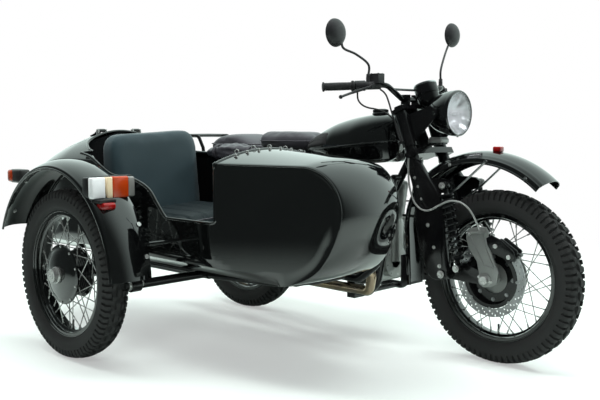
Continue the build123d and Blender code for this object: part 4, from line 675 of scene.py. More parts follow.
def rim_shape(centre):
    """Rolled rim: one closed profile with round flanges and a dropped well, turned about the axle."""
    f, b, h, t = FLANGE_R, BEAD_R, RIM_HALF, 4.0
    well = b - 11
    bead = [(f - 1.5 + 2.8 * math.cos(a), h - 2.0 + 2.8 * math.sin(a))
             for a in np.radians([-60, -10, 30, 70, 110, 150, 190])]
    outer = [(b + 2, h - t - 1), (b, h - t - 3), (b - 2, h - 19), (well + 1, 14), (well, 10)]
    under = [(well - t, 10), (well - t + 1, 15), (b - t - 2, h - 18), (b - t - 1, h - t - 3), (b - t + 2, h - 1.5)]
    half_out = bead[::1]
    prof = [(r, y) for r, y in half_out[::-1]]
    top = [(f - 5, h - 4.2)] + outer
    loop = top + [(r, -y) for r, y in reversed(top)]
    loop += [(r, -y) for r, y in prof[::-1]]
    low = [(r, -y) for r, y in reversed(under)]
    loop += low + under + prof
    return Shape().lathe(loop, centre, (0, 1, 0), 144)


def spokes_shape(centre):
    """Forty laced spokes, each a straight wire from the hub flange to the rim, with its elbow and
    its nipple; every other one leaves the flange on its outer face."""
    s = Shape()
    c = np.asarray(centre)
    per, step = 20, 18.0
    r_in, r_out = HUB_FLANGE_R - 5.0, BEAD_R - 13.0
    for side in (-1, 1):
        for i in range(per):
            out = i * step + (step / 2 if side > 0 else 0)
            inn = out + (3 if i % 2 else -3) * step
            a, b = math.radians(inn), math.radians(out)
            off = side * (HUB_HALF - 3 + (4.0 if i % 2 else -4.0))
            p0 = c + (r_in * math.cos(a), side * (HUB_HALF - 3), r_in * math.sin(a))
            p1 = c + (r_in * math.cos(a), off, r_in * math.sin(a))
            p2 = c + (r_out * math.cos(b), side * 5, r_out * math.sin(b))
            s.tube(bent([p0 - (0, 0, 0), p1, p2], 2.5, 3), 2.1, 6)
            d = unit(p2 - p1)
            s.tube([p2 - d * 17, p2 - d * 16, p2 - d * 2, p2 + d * 3], [2.4, 3.3, 3.3, 4.4], 6)
            s.lathe([(0, 0), (3.6, 0), (3.0, 1.6), (0, 2.0)], p0 - np.array([0, side * (4.0 if i %
                    2 else -4.0) * 0.9, 0]), (0, -side if i % 2 else side, 0), 8, closed=False)
    return s


def hub_shape(centre, cover):
    """Full-width brake hub with flanges and a finned middle."""
    w, fl = HUB_HALF, HUB_FLANGE_R
    prof = [(10.4, -w - 6), (24, -w - 6), (26, -w - 4), (26, -w + 2), (HUB_R - 12, -w + 2), (HUB_R - 10, -w),
             (fl - 1.5, -w), (fl, 1.5 - w), (fl, 4.5 - w), (fl - 1.5, 6 - w), (HUB_R + 2, 6 - w), (HUB_R, 9 - w)]
    for k in range(5):
        y = -20 + k * 10.0
        prof += [(HUB_R, y - 3), (HUB_R + 3.5, y - 1.6), (HUB_R + 3.5, y + 1.6), (HUB_R, y + 3)]
    prof += [(HUB_R, w - 9), (HUB_R + 2, w - 6), (fl - 1.5, w - 6), (fl, w - 4.5), (fl, w - 1.5), (fl - 1.5, w),
              (HUB_R - 10, w), (HUB_R - 12, w - 2), (26, w - 2), (26, w + 4), (24, w + 6), (10.4, w + 6)]
    s = Shape().lathe(prof, centre, (0, 1, 0), 72)
    return s


def hub_cover_shape(centre, side):
    """Dished dome over the drum with a ring of small screws and a turned cap in the middle."""
    w = HUB_HALF + 0.3
    prof = [(26, w), (120, w), (120, w + 5), (118, w + 7.5), (112, w + 8.5), (106, w + 9.0), (100, w + 12.5),
             (92, w + 15.5), (80, w + 18.5), (64, w + 21.5), (46, w + 24), (36, w + 25.8), (26, w + 26)]
    s = Shape().lathe([(r, side * y) for r, y in prof], centre, (0, 1, 0), 96)
    for k in range(10):
        a = 2 * math.pi * (k + 0.5) / 10
        p = np.asarray(centre) + (113 * math.cos(a), side * (w + 8.4), 113 * math.sin(a))
        s.lathe([(0, 0), (5, 0), (5, 2), (3.5, 3.4), (0, 3.8)], p, (0, side, 0), 12, mark=1, closed=False)
    s.lathe([(r, side * y) for r, y in ((27.5, w + 25), (33, w + 26), (34, w + 28), (34, w + 34),
            (31, w + 37), (29, w + 37.5), (28, w + 36), (27.5, w + 30))], centre, (0, 1, 0), 48, mark=1)
    return s


def build_wheels():
    for name, c in HUBS.items():
        body = name + "_wheel_body"
        tyre_shape(c, LOOK.tread).make(name + "_blocked_tyre",
                   [tyre_rubber()], body, [name + "_tyre"], "tyre_rubber", angle=32)
        rim_shape(c).make(name + "_rim", [paint_black()], body, [name + "_wheel"], "alloy_polished", angle=40)
        spokes_shape(c).make(name + "_spokes", [zinc()], body, (), "alloy_polished", angle=50)
        hub_shape(c,
    True).make(name + "_hub",
    [cast() if name == "front" else frame_black()],
    body,
    (),
    "alloy_polished",
     angle=35)
        # valve stem through the rim's well
        v = Shape()
        p = np.asarray(c) + (0, 0, -(BEAD_R - 14))
        v.tube([p, p + (0, 0, 26), p + (0, 0, 27), p + (0, 0, 36)], [4.5, 3.6, 4.4, 4.2], 10)
        v.make(name + "_valve", [rubber()], body, (), "rubber")
    hub_cover_shape(HUBS["sidecar"], -1).make("sidecar_hub_dome", [paint_black(), zinc()],
                    "sidecar_wheel_body", ["sidecar_hub_cover"], "paint_black")
    hub_cover_shape(HUBS["rear"], 1).make("rear_hub_dome", [paint_black(), zinc()],
                    "rear_wheel_body", ["rear_hub_cover"], "paint_black")
    disc_shape().make("drilled_disc", [steel(), frame_black()], "front_wheel_body", ["front_brake_disc"], "steel")


def disc_shape():
    """Floating brake disc: a ring cut by rows of holes, worked out as strips between the holes,
    on a dark carrier.  The ring is a table of radius and angle with the holes left out."""
    c = np.asarray(HUBS["front"])
    y0, t, r0, r1 = -65.0, 5.0, 118.0, 150.0
    s = Shape()
    n, m = 288, 13
    a = np.linspace(0, 2 * np.pi, n, endpoint=False)
    r = np.linspace(r0, r1, m)
    holes = [(128.0, 24, 0.0), (136.5, 24, 1 / 3), (144.0, 24, 2 / 3)]
    keep = np.ones((n, m - 1), bool)
    mid_r = (r[:-1] + r[1:]) / 2
    mid_a = a + np.pi / n
    for hr, count, off in holes:
        ph = (mid_a * count / (2 * np.pi) - off) % 1.0
        dist = np.minimum(ph, 1 - ph) * 2 * np.pi * hr / count
        keep &= ~((dist[:, None] < 3.4) & (np.abs(mid_r - hr)[None] < 3.4))
    k = np.arange(n * m).reshape(n, m)
    def ring(y):
        return np.stack([c[0] + r[None] * np.cos(a)[:, None], np.full((n, m), c[1] + y),
                        c[2] + r[None] * np.sin(a)[:, None]], -1).reshape(-1, 3)
    kn = np.roll(k, -1, 0)
    q = np.stack([k[:, :-1], kn[:, :-1], kn[:, 1:], k[:, 1:]], -1)[keep]
    top, low = ring(y0), ring(y0 - t)
    N = n * m
    # walls stand wherever a kept cell meets an empty one
    walls = []
    pad = np.zeros((n, m + 1), bool)
    pad[:, 1:-1] = keep
    edge_r = pad[:, :-1] != pad[:, 1:]
    i, j = np.nonzero(edge_r)
    walls.append(np.stack([k[i, j], kn[i, j], kn[i, j] + N, k[i, j] + N], -1))
    edge_a = keep != np.roll(keep, 1, 0)
    i, j = np.nonzero(edge_a)
    walls.append(np.stack([k[i, j], k[i, j + 1], k[i, j + 1] + N, k[i, j] + N], -1))
    s.add(np.vstack([top, low]), [q, q[:, ::-1] + N] + walls, 0)
    s.lathe([(60, -HUB_HALF - 0.4), (98, -HUB_HALF - 0.4), (104, y0 + 0.5), (116, y0 + 0.5), (116, y0 - t - \
            0.5), (101, y0 - t - 0.5), (93, -HUB_HALF - 5), (60, -HUB_HALF - 5)], c, (0, 1, 0), 72, mark=1)
    for q in range(8):
        g = 2 * math.pi * q / 8
        p = c + (116.5 * math.cos(g), y0 + 1.5, 116.5 * math.sin(g))
        s.lathe([(0, 0), (5.5, 0), (5.5, -8), (0, -8)], p, (0, 1, 0), 14, mark=0, closed=False)
        p = c + (84 * math.cos(g), -HUB_HALF - 5, 84 * math.sin(g))
        s.bolt(p, (0, -1, 0), 5.5, 4, mark=0)
    return s


# ---------------------------------------------------------------- mudguards
def guard_skin(path, section, thick=2.6, bead=4.0):
    """Sheet of a mudguard: the section (across, out) stands square to a path in the wheel's plane.
    path holds (x, z, angle of the outward direction); the sheet's inner face is the same section
    moved inwards, and a round bead closes each long edge."""
    path = np.asarray(path, float)
    sec = np.asarray(section, float)
    d = unit(np.gradient(sec, axis=0))
    n = np.stack([-d[:, 1], d[:, 0]], -1)
    n *= np.sign(n[len(n) // 2, 1])
    inner = sec - n * thick
    loop = np.vstack([sec, inner[::-1]])
    a = np.radians(path[:, 2])
    P = np.stack([path[:, 0][:, None] + np.cos(a)[:, None] * loop[:, 1][None],
                  np.broadcast_to(loop[:, 0], (len(path), len(loop))),
                  path[:, 1][:, None] + np.sin(a)[:, None] * loop[:, 1][None]], -1)
    s = Shape().grid(P, around=True)
    for row in (P[0], P[-1]):
        m = len(sec)
        q = np.stack([np.arange(m - 1), np.arange(1, m), 2 * m - 2 - \
                     np.arange(m - 1), 2 * m - 1 - np.arange(m - 1)], -1)
        s.add(row, [q], 0)
    for k in (0, len(sec) - 1):
        edge = P[:, k] * 0.5 + P[:, 2 * len(sec) - 1 - k] * 0.5
        s.tube(edge, bead, 10)
    return s


def crown_section(half, crown, lip, ridge=0.0, count=33):
    """Cross-section of a mudguard: a crown that falls as a power of the distance from its middle,
    a soft fold, and an upright side."""
    y = np.linspace(-1, 1, count)
    out = -crown * np.abs(y) ** 2.3
    if ridge:
        out += ridge * np.exp(-((np.abs(y) - 0.86) / 0.05) ** 2)
    top = np.stack([y * (half - 6), out], -1)
    t = np.linspace(0, 1, 7)[1:]
    fold = np.stack([half - 6 + 5 * np.sin(t * np.pi / 2), -crown - 7 * (1 - np.cos(t * np.pi / 2))], -1)
    down = np.array([(half - 0.6, -crown - 12 - (lip - crown - 12) * 0.5), (half, -lip)])
    side = np.vstack([fold, down])
    return np.vstack([side[::-1] * (-1, 1), top[1:-1], side])


def arc_path(cx, cz, r, a0, a1, n):
    a = np.linspace(a0, a1, n)
    return np.stack([cx + r * np.cos(np.radians(a)), cz + r * np.sin(np.radians(a)), a], -1)


FG_X, FG_Z, FG_R = 1410.0, 400.0, 437.0


def front_guard_path():
    a1, r2 = 122.0, 300.0
    c2 = (FG_X + (FG_R - r2) * math.cos(math.radians(a1)), FG_Z + (FG_R - r2) * math.sin(math.radians(a1)))
    p = np.vstack([arc_path(FG_X, FG_Z, FG_R, 49, a1, 44), arc_path(*c2, r2, a1, 183.0, 30)[1:]])
    n = np.array([math.cos(math.radians(183.0)), math.sin(math.radians(183.0))])
    t = np.array([-n[1], n[0]])
    run = np.linspace(0, 235, 8)[1:]
    tail = np.stack([p[-1, 0] + t[0] * run, p[-1, 1] + t[1] * run, np.full(len(run), 183.0)], -1)
    return np.vstack([p, tail])


def build_mudguards():
    front = front_guard_path()
    s = guard_skin(front, crown_section(80, 26, 46, ridge=1.6))
    leg_in = 106 - 24 - 0.3
    for sgn in (-1, 1):
        for z, r in ((722.0, 9), (560.0, 6)):
            x = leg_x(z)
            y0 = 68 if z > 700 else 75
            x0 = x if z > 700 else 1028 + 24
            s.rod((x0, sgn * y0, z), (x, sgn * (leg_in - (0 if z > 700 else 6)), z), r, 14, edge=1)
        for a in (58, 84, 108):
            p = (FG_X + (FG_R - 38) * math.cos(math.radians(a)), sgn * \
                 80.4, FG_Z + (FG_R - 38) * math.sin(math.radians(a)))
            s.bolt(p, (0, sgn, 0), 5, 4, mark=1)
    s.make("front_guard", [paint_black(), zinc()], "steering", ["front_mudguard"], "paint_black")
    # stay from the fork to each side of the guard, and two flat washers on each side of the guard
    st = Shape()
    for sgn in (-1, 1):
        a = math.radians(84)
        p0 = (FG_X + (FG_R - 38) * math.cos(a), sgn * 84, FG_Z + (FG_R - 38) * math.sin(a))
        st.tube(bent([p0, (1330, sgn * 88, 690), (1252, sgn * 100, 640), (1212, sgn * 108, 632)], 40), 4.5, 10)
        a = math.radians(58)
        p1 = (FG_X + (FG_R - 38) * math.cos(a), sgn * 84, FG_Z + (FG_R - 38) * math.sin(a))
        st.lathe([(0, 0), (8, 0), (8, 3), (0, 3)], p0, (0, sgn, 0), 14, closed=False)
        st.lathe([(0, 0), (8, 0), (8, 3), (0, 3)], p1, (0, sgn, 0), 14, closed=False)
    st.make("front_guard_stays", [steel()], "steering", (), "steel")
    side = arc_path(LEAD, AXLE_Z, SIDE_GUARD_R, 3.5, 159.0, 84)
    g = guard_skin(side, crown_section(88, 22, 34, count=37), bead=4.5)
    g = g.moved(shift=(0, -TRACK - 6.5, 0))
    y_in = -TRACK - 6.5 + 88
    for a in (20.0, 116.0, 142.0):
        ca, sa = math.cos(math.radians(a)), math.sin(math.radians(a))
        p = (LEAD + 446 * ca, y_in - 3, AXLE_Z + 446 * sa)
        g.rod(p, (p[0], BODY_Y - HALF - 0.3, p[2]), 8, 14)
        g.rod((p[0], y_in - 3, p[2]), (LEAD + 435 * ca, y_in - 3, AXLE_Z + 435 * sa), 6, 10)
    for a in (14, 30, 150, 128):
        ca, sa = math.cos(math.radians(a)), math.sin(math.radians(a))
        for y in (-TRACK - 40, -TRACK + 55):
            g.lathe([(0, 0), (9, 0), (8, 3), (3, 4.5), (0, 4.5)], (LEAD + 455 * ca,
                    y, AXLE_Z + 455 * sa), (-ca, 0, -sa), 14, mark=1, closed=False)
    g.make("sidecar_guard", [paint_black(), zinc()], "chassis", ["sidecar_mudguard"], "paint_black")
    back = arc_path(0, AXLE_Z, 415.0, 58.0, 196.0, 72)
    r = guard_skin(back, crown_section(72, 20, 40))
    for sgn in (-1, 1):
        for x in (90.0, -130.0):
            zr = 772 + (20.0 * (x + 60) / 515 if x > -60 else -3.0 * (x + 60) / 190)
            a = np.array([x, sgn * 61.0, 720.0])
            c = np.array([x, sgn * 100.0, zr])
            r.rod(a, c - unit(c - a) * 13.3, 7, 12)
    r.make("rear_guard", [paint_black()], "chassis", ["rear_mudguard"], "paint_black")


LEG_TOP = steer(1000.0, 30)
PIVOT = np.array([WHEELBASE - 185.0, 0.0, AXLE_Z + 2])


def leg_x(z):
    """Where the fork leg's middle line is at height z."""
    return LEG_TOP[0] + (z - LEG_TOP[2]) / (PIVOT[2] - LEG_TOP[2]) * (PIVOT[0] - LEG_TOP[0])


# ---------------------------------------------------------------- sidecar body
CREASE = np.array([  # silhouette of the body's side seam: x, z, direction of the outward normal
    (-480, 370, -90), (-610, 500, -180), (-610, 560, -180), (-473.1,
     741.7, -254), (-379, 766, -260), (-289, 780, -266), (-211, 785, -270),
    (-100, 787, -270), (150, 788, -270), (400, 792, -270), (620,
     796, -270), (795, 797, -270), (955, 797, -270), (1193, 797, -270),
    (1350, 640, -360), (1080, 370, -450)], float)
HUMP = np.array([(-610, 22), (-560, 45), (-473, 84), (-379, 98), (-289, 110),
                (-211, 124), (-100, 128), (150, 100), (400, 84), (620, 66)], float)


def half_width(x):
    """Half width of the body in plan: straight between the tail, the shoulders and the nose."""
    soft = np.interp(x, [-610, -250, 790, 1350], [240, HALF, HALF, 155])
    soft2 = np.interp(np.asarray(x) + 25, [-610, -250, 790, 1350], [240, HALF, HALF, 155])
    soft0 = np.interp(np.asarray(x) - 25, [-610, -250, 790, 1350], [240, HALF, HALF, 155])
    return (soft + soft0 + soft2) / 3


def bilge(z):
    """Half width left by the rounded lower edge at a height."""
    d = np.clip(90.0 - (np.asarray(z, float) - 370.0), 0, 90.0)
    return HALF - 90.0 + np.sqrt(np.maximum(90.0 ** 2 - d ** 2, 0))


def crown_rise(x, a):
    """How far the middle of the skin stands out from the side seam, from the tail round to the floor."""
    hw = half_width(x)
    flat = 779.0 - np.sqrt(779.0 ** 2 - hw ** 2)
    hump = through(HUMP[:, 0], HUMP[:, 1], np.clip(x, -610, 620))
    w = np.clip((x - 560) / 130.0, 0, 1)
    w = w * w * (3 - 2 * w)
    top = hump * (1 - w) + flat * w
    nose = flat + (34.0 - flat) * np.clip(np.cos(np.radians(a)), 0, 1)
    low = 4.0 + 30.0 * (1 + np.sin(np.radians(a)))
    a0 = (a + 180) % 360 - 180
    front = np.where(a0 >= 0, nose, low)
    tail = np.where(a0 < 0, 20.0 + 12.0 * np.sin(np.radians(a0)), hump)
    out = np.where(x > 690, front, np.where(x > 300, np.where(a0 >= 0, top, low), np.where(a0 < 0, tail, top)))
    return np.where((a0 < -80) & (x > -500) & (x < 1100), np.interp(x, [-480, 1080], [8.0, 4.0]), out)


def seam(count=300):
    """Points round the side seam: between stations the normal turns evenly and the point follows
    the curve with those tangents."""
    p = CREASE
    out = []
    for i in range(len(p)):
        a, b = p[i], p[(i + 1) % len(p)]
        da = b[2] - a[2] if i < len(p) - 1 else 0.0
        n = max(3, int(abs(da) / 3.5), int(np.linalg.norm(b[:2] - a[:2]) / 34))
        t = np.linspace(0, 1, n, endpoint=False)
        ta = np.array([math.sin(math.radians(a[2])), -math.cos(math.radians(a[2]))])
        tb = np.array([math.sin(math.radians(b[2])), -math.cos(math.radians(b[2]))])
        d = b[:2] - a[:2]
        if np.dot(ta, d) < 0:
            ta, tb = -ta, -tb
        L = np.linalg.norm(d)
        turn = math.radians(abs(da))
        k = L * (4 / 3 * math.tan(turn / 4) / (2 * math.sin(turn / 2)) * 3 if turn > 0.05 else 1.0)
        h = np.stack([2 * t ** 3 - 3 * t ** 2 + 1, t ** 3 - 2 * t ** 2 + \
                     t, -2 * t ** 3 + 3 * t ** 2, t ** 3 - t ** 2], -1)
        q = h[:, :1] * a[:2] + h[:, 1:2] * k * ta + h[:, 2:3] * b[:2] + h[:, 3:4] * k * tb
        out.append(np.column_stack([q, a[2] + da * t]))
    return np.vstack(out)


def skin(inset=0.0):
    """Closed outer surface of the sidecar's body.  At every point of the side seam an arc crosses
    the body square to the outline; its ends turn down round a small edge and run on as the flat
    side to the body's middle line."""
    st = seam()
    x, z, a = st.T
    n = np.stack([np.cos(np.radians(a)), np.sin(np.radians(a))], -1)
    hw = np.minimum(half_width(x), bilge(z))
    rise = np.maximum(crown_rise(x, a), 2.0)
    # round the seam's run so that neighbouring stations change smoothly
    for _ in range(2):
        rise = (np.roll(rise, 1) + 2 * rise + np.roll(rise, -1)) / 4
    R = (hw ** 2 + rise ** 2) / (2 * rise)
    edge = 15.0 * np.clip((z - 440) / 70.0, 0.02, 1)
    lean = np.arcsin(np.clip(hw / R, -1, 1))
    phi = np.pi / 2 - lean
    L = edge * np.tan(phi / 2)
    t = np.linspace(0, 1, 22) ** 0.9
    stop = hw - L * np.cos(lean)
    yb = t[None] * stop[:, None]
    hb = rise[:, None] - (R[:, None] - np.sqrt(R[:, None] ** 2 - yb ** 2))
    g = np.linspace(0, 1, 9)[1:]
    ang = lean[:, None] + g[None] * phi[:, None]
    yc = stop[:, None] + edge[:, None] * (np.sin(ang) - np.sin(lean)[:, None])
    hc = hb[:, -1:] - edge[:, None] * (np.cos(lean)[:, None] - np.cos(ang))
    yy, hh = np.hstack([yb, yc]), np.hstack([hb, hc])
    px = x[:, None] + n[:, :1] * (hh - inset)
    pz = z[:, None] + n[:, 1:] * (hh - inset)
    yy = yy - inset * np.clip((yy - (hw - 20)[:, None]) / 20.0, 0, 1)
    # flat side
    mx, mz = np.clip(x, -430, 1120), np.full(len(x), 600.0)
    s = 0.96 * np.linspace(0, 1, 20)[1:] ** 1.7
    sx = px[:, -1:] + s[None] * (mx[:, None] - px[:, -1:])
    sz = pz[:, -1:] + s[None] * (mz[:, None] - pz[:, -1:])
    blend = np.clip(s * 6, 0, 1)[None]
    side = np.minimum(half_width(sx), bilge(sz)) - inset
    sy = yy[:, -1:] + (side - yy[:, -1:]) * blend
    X, Y, Z = np.hstack([px, sx]), np.hstack([yy, sy]), np.hstack([pz, sz])
    right = np.stack([X, BODY_Y - Y, Z], -1)
    left = np.stack([X, BODY_Y + Y, Z], -1)
    return np.concatenate([right[:, ::-1], left[:, 1:]], 1)


def deck_height(x, y, lift=0.0):
    """Height of the body's top skin over a point of the plan, where its normal is upright."""
    x, y = np.asarray(x, float), np.asarray(y, float)
    hw = half_width(x)
    top = CREASE[5:13]
    z = through(top[:, 0], top[:, 1], np.clip(x, top[0, 0], top[-1, 0]))
    rise = crown_rise(x, np.full_like(x, 90.0))
    R = (hw ** 2 + rise ** 2) / (2 * rise)
    return z + rise - (R - np.sqrt(np.maximum(R ** 2 - (y - BODY_Y) ** 2, 0))) + lift


def prism(outline, axis, low, high):
    """Closed prism: an outline in the two other axes carried from low to high."""
    o = np.asarray(outline, float)
    rows = []
    for v in (low, high):
        p = np.empty((len(o), 3))
        k = [i for i in range(3) if i != axis]
        p[:, k[0]], p[:, k[1]], p[:, axis] = o[:, 0], o[:, 1], v
        rows.append(p)
    s = Shape()
    n = len(o)
    s.grid(np.array(rows), around=True)
    s.add(rows[0], [np.arange(n)[None]], 0)
    s.add(rows[1], [np.arange(n)[None]], 0)
    return s


def solid_of(shape, name):
    """Bare object of a shape, for cutting with."""
    mesh = bpy.data.meshes.new(name)
    mesh.from_pydata(place(np.vstack(shape.points)).tolist(), [], shape.faces)
    bm = bmesh.new()
    bm.from_mesh(mesh)
    bmesh.ops.remove_doubles(bm, verts=bm.verts, dist=1e-5)
    bmesh.ops.recalc_face_normals(bm, faces=bm.faces)
    bm.to_mesh(mesh)
    bm.free()
    obj = bpy.data.objects.new(name, mesh)
    bpy.context.scene.collection.objects.link(obj)
    return obj


def applied(obj, steps):
    """Mesh of an object after modifiers given as (type, values)."""
    for kind, values in steps:
        m = obj.modifiers.new(kind.lower(), kind)
        for k, v in values.items():
            setattr(m, k, v)
    bpy.context.view_layer.update()
    mesh = bpy.data.meshes.new_from_object(obj.evaluated_get(bpy.context.evaluated_depsgraph_get()))
    obj.modifiers.clear()
    return mesh


COCKPIT_IN = HALF - 30.0
NOTCH = np.array([(-60, 815), (11, 800), (88, 765), (171, 733), (260, 724),
                 (346, 716), (435, 684), (494, 628), (545, 577), (831, 577)], float)


def cockpit_outline():
    """Plan of the cockpit's opening, with its swept rear edge."""
    b, n = BODY_Y, COCKPIT_IN
    rear = curve([(40, n), (-60, n - 14), (-150, n - 60), (-178, n - 130), (-184, 0),
                 (-178, 130 - n), (-150, 60 - n), (-60, 14 - n), (40, -n)], 41)
    return np.vstack([[(835, b - n)], rear[::-1] + (0, b), [(835, b + n)]])


def notch_outline():
    """Side view of the dip in the body's outer side, as one smooth line."""
    low = curve(NOTCH[:9], 49)
    corner = np.array([(560, 577), (826, 577), (833, 579), (835, 586), (835, 1200), (-60, 1200)])
    low[-1] = (545, 578)
    return np.vstack([low[:-2], [(546, 580), (556, 577.3)], corner])


def build_body():
    P = skin()
    shell = solid_of(Shape().grid(P, along=True), "raw_skin")
    bm = bmesh.new()
    bm.from_mesh(shell.data)
    # the stations end just short of the side's middle line, and one face closes the slot there
    bmesh.ops.remove_doubles(bm, verts=bm.verts, dist=1e-4)
    caps = bmesh.ops.holes_fill(bm, edges=[e for e in bm.edges if e.is_boundary], sides=0)
    bmesh.ops.triangulate(bm, faces=caps["faces"])
    bmesh.ops.recalc_face_normals(bm, faces=bm.faces)
    bm.to_mesh(shell.data)
    bm.free()
    shell.data = applied(shell, [("SOLIDIFY", dict(thickness=0.004, offset=-1.0, use_even_offset=True))])
    cock = solid_of(prism(cockpit_outline(), 2, 560, 1200), "cut_cockpit")
    notch = solid_of(prism(notch_outline(), 1, BODY_Y - HALF - 60, BODY_Y - HALF + 60), "cut_notch")
    lid_big = solid_of(Shape().box((-503, BODY_Y - 193, 700), (-212, BODY_Y + 193, 1100), edge=26), "cut_lid_seat")
    lid_cut = solid_of(Shape().box((-500, BODY_Y - 190, 700), (-215, BODY_Y + 190, 1100), edge=24), "cut_lid")
    lid = bpy.data.objects.new("raw_lid", shell.data.copy())
    bpy.context.scene.collection.objects.link(lid)
    lid.data = applied(lid, [("BOOLEAN", dict(operation="INTERSECT", solver="EXACT", object=lid_cut))])
    shell.data = applied(
    shell, [
        ("BOOLEAN", dict(
            operation="DIFFERENCE", solver="EXACT", object=o)) for o in (
                cock, notch, lid_big)])
    for o in (cock, notch, lid_big, lid_cut):
        bpy.data.objects.remove(o)
    for o, name, mat, body, rep in ((shell, "sidecar_shell", paint_black(), "chassis", [
                                    "sidecar_body"]), (lid, "trunk_lid_panel", paint_black(), "trunk_lid_body", ["trunk_lid"])):
        o.name = name
        o.data.name = name
        o.data.materials.clear()
        o.data.materials.append(mat)
        o.data.polygons.foreach_set("material_index", np.zeros(len(o.data.polygons), np.int32))
        shade(o.data, 30)
        dress(o, body, rep, "paint_black")
    rims()
    inside()
    lid_fittings()


def side_y(x, z):
    return BODY_Y - np.minimum(half_width(x), bilge(z))


def rims():
    """Rolled edge round the cockpit: a tube that follows the cut through the skin, down the notch
    in the outer side, along its sill and up the deck's rear edge."""
    low = notch_outline()[:-6]
    p = np.column_stack([low[:, 0], side_y(low[:, 0], low[:, 1]) + 2, low[:, 1]])
    sill_x = np.linspace(570, 818, 8)
    sill = np.column_stack([sill_x, side_y(sill_x, np.full(8, 577.0)) + 2, np.full(8, 577.0)])
    up_z = np.concatenate([[583.0, 600.0], np.linspace(640, 775, 6)])
    up = np.column_stack([np.full(8, 834.0), side_y(np.full(8, 834.0), up_z) + 2, up_z])
    yy = np.linspace(BODY_Y - HALF + 10, BODY_Y + COCKPIT_IN - 16, 40)
    across = np.column_stack([np.full(40, 835.0), yy, deck_height(np.full(40, 835.0), yy, -2)])
    lx = np.linspace(815, 60, 26)
    left = np.column_stack([lx, np.full(26, BODY_Y + COCKPIT_IN),
                           deck_height(lx, np.full(26, BODY_Y + COCKPIT_IN), -2)])
    rear = cockpit_outline()[1:-1][::-1]
    back = np.column_stack([rear, deck_height(rear[:, 0], rear[:, 1], -2)])
    back = back[:-4]
    path = np.vstack([p, sill, up, across, left, back])
    keep = [0]
    for i in range(1, len(path)):
        if np.linalg.norm(path[i] - path[keep[-1]]) > 5:
            keep.append(i)
    path = path[keep]
    s = Shape()
    dense = curve(path, len(path) * 3, closed=True)
    s.tube(dense, 6.5, 12, closed=True)
    s.make("cockpit_rolled_edge", [paint_black()], "chassis", (), "paint_black", angle=60)
    # thin bead along the crease between deck and sides, down to the nose
    row, line = seam(), skin()
    for col, off in ((23, -1.0), (line.shape[1] - 24, 1.0)):
        on = (row[:, 2] <= -266) & (row[:, 2] >= -372) & (line[:, col, 0] > 846)
        q = line[on][:, col] + (0, off * 0.6, 0)
        b = Shape().tube(curve(q, 160), 3.4, 10)
        b.make(
    "crease_bead_%s" %
    ("right" if off < 0 else "left"), [
        paint_black()], "chassis", (), "paint_black", angle=60)
    # snap studs and wire hooks on the deck's rear edge for the cover
    h = Shape()
    for y in np.linspace(BODY_Y - 190, BODY_Y + 215, 8):
        z = float(deck_height(858.0, y))
        base = np.array([858.0, y, z])
        h.lathe([(0, 0), (8, 0), (7.5, 1.5), (4, 2.2), (4, 6), (5.2, 7), (5.2, 8.5),
                (3.5, 9.5), (0, 9.8)], base, (0, 0, 1), 16, closed=False)
    for y in np.linspace(BODY_Y - 150, BODY_Y + 190, 5):
        z = float(deck_height(835.0, y))
        c = np.array([829.0, y, z + 1])
        a = np.linspace(-0.6, np.pi * 1.25, 16)
        ring = np.stack([c[0] - 11 + 11 * np.cos(a), np.full(16, y), c[2] + 9 * np.sin(a) + 4], -1)
        h.tube(ring, 2.0, 8)
    h.make("cover_studs", [zinc()], "chassis", (), "chrome")


def inside():
    """Bulkhead behind the seat, seat riser and floor mat of the cockpit."""
    s = Shape()
    z = np.linspace(374, 905, 12)
    rows = []
    for zz in z:
        hw = float(min(half_width(-187.0), bilge(zz))) - 5
        if zz > 770:
            rise, w = float(crown_rise(np.array([-187.0]), np.array([90.0]))[0]), float(half_width(-187.0))
            R = (w * w + rise * rise) / (2 * rise)
            top = zz - 785.0
            hw = min(hw, math.sqrt(max(R * R - (R - rise + top) ** 2, 1.0)) - 6) if top < rise - 6 else 12.0
        rows.append(hw)
    rows = np.maximum(np.array(rows), 12.0)
    t = np.linspace(-1, 1, 15)
    front = np.stack([np.full((12, 15), -184.0), BODY_Y + rows[:, None] * \
                     t[None], np.broadcast_to(z[:, None], (12, 15))], -1)
    back = front.copy()
    back[..., 0] = -190.0
    loop = np.concatenate([front, back[:, ::-1]], 1)
    s.capped(loop)
    s.box((10, BODY_Y - 200, 373), (610, BODY_Y + 200, 439.7), edge=4)
    s.make("seat_riser_and_bulkhead", [frame_black()], "chassis", (), "paint_black")
    m = Shape()
    u, v = np.linspace(0, 1, 30), np.linspace(-1, 1, 24)
    X = 622 + u[:, None] * 560 + 0 * v[None]
    W = np.minimum(half_width(X) - 40, 190) * v[None]
    Z = 374.5 + 50 * np.clip((X - 1010) / 170.0, 0, 1) ** 2 + 1.2 * np.sin(u[:, None] * 60) * np.ones_like(v)[None]
    top = np.stack([X, BODY_Y + W, Z + 6], -1)
    low = np.stack([X, BODY_Y + W, Z], -1)
    m.capped(np.concatenate([top, low[:, ::-1]], 1))
    m.make("floor_mat", [carpet()], "chassis", (), "rubber")


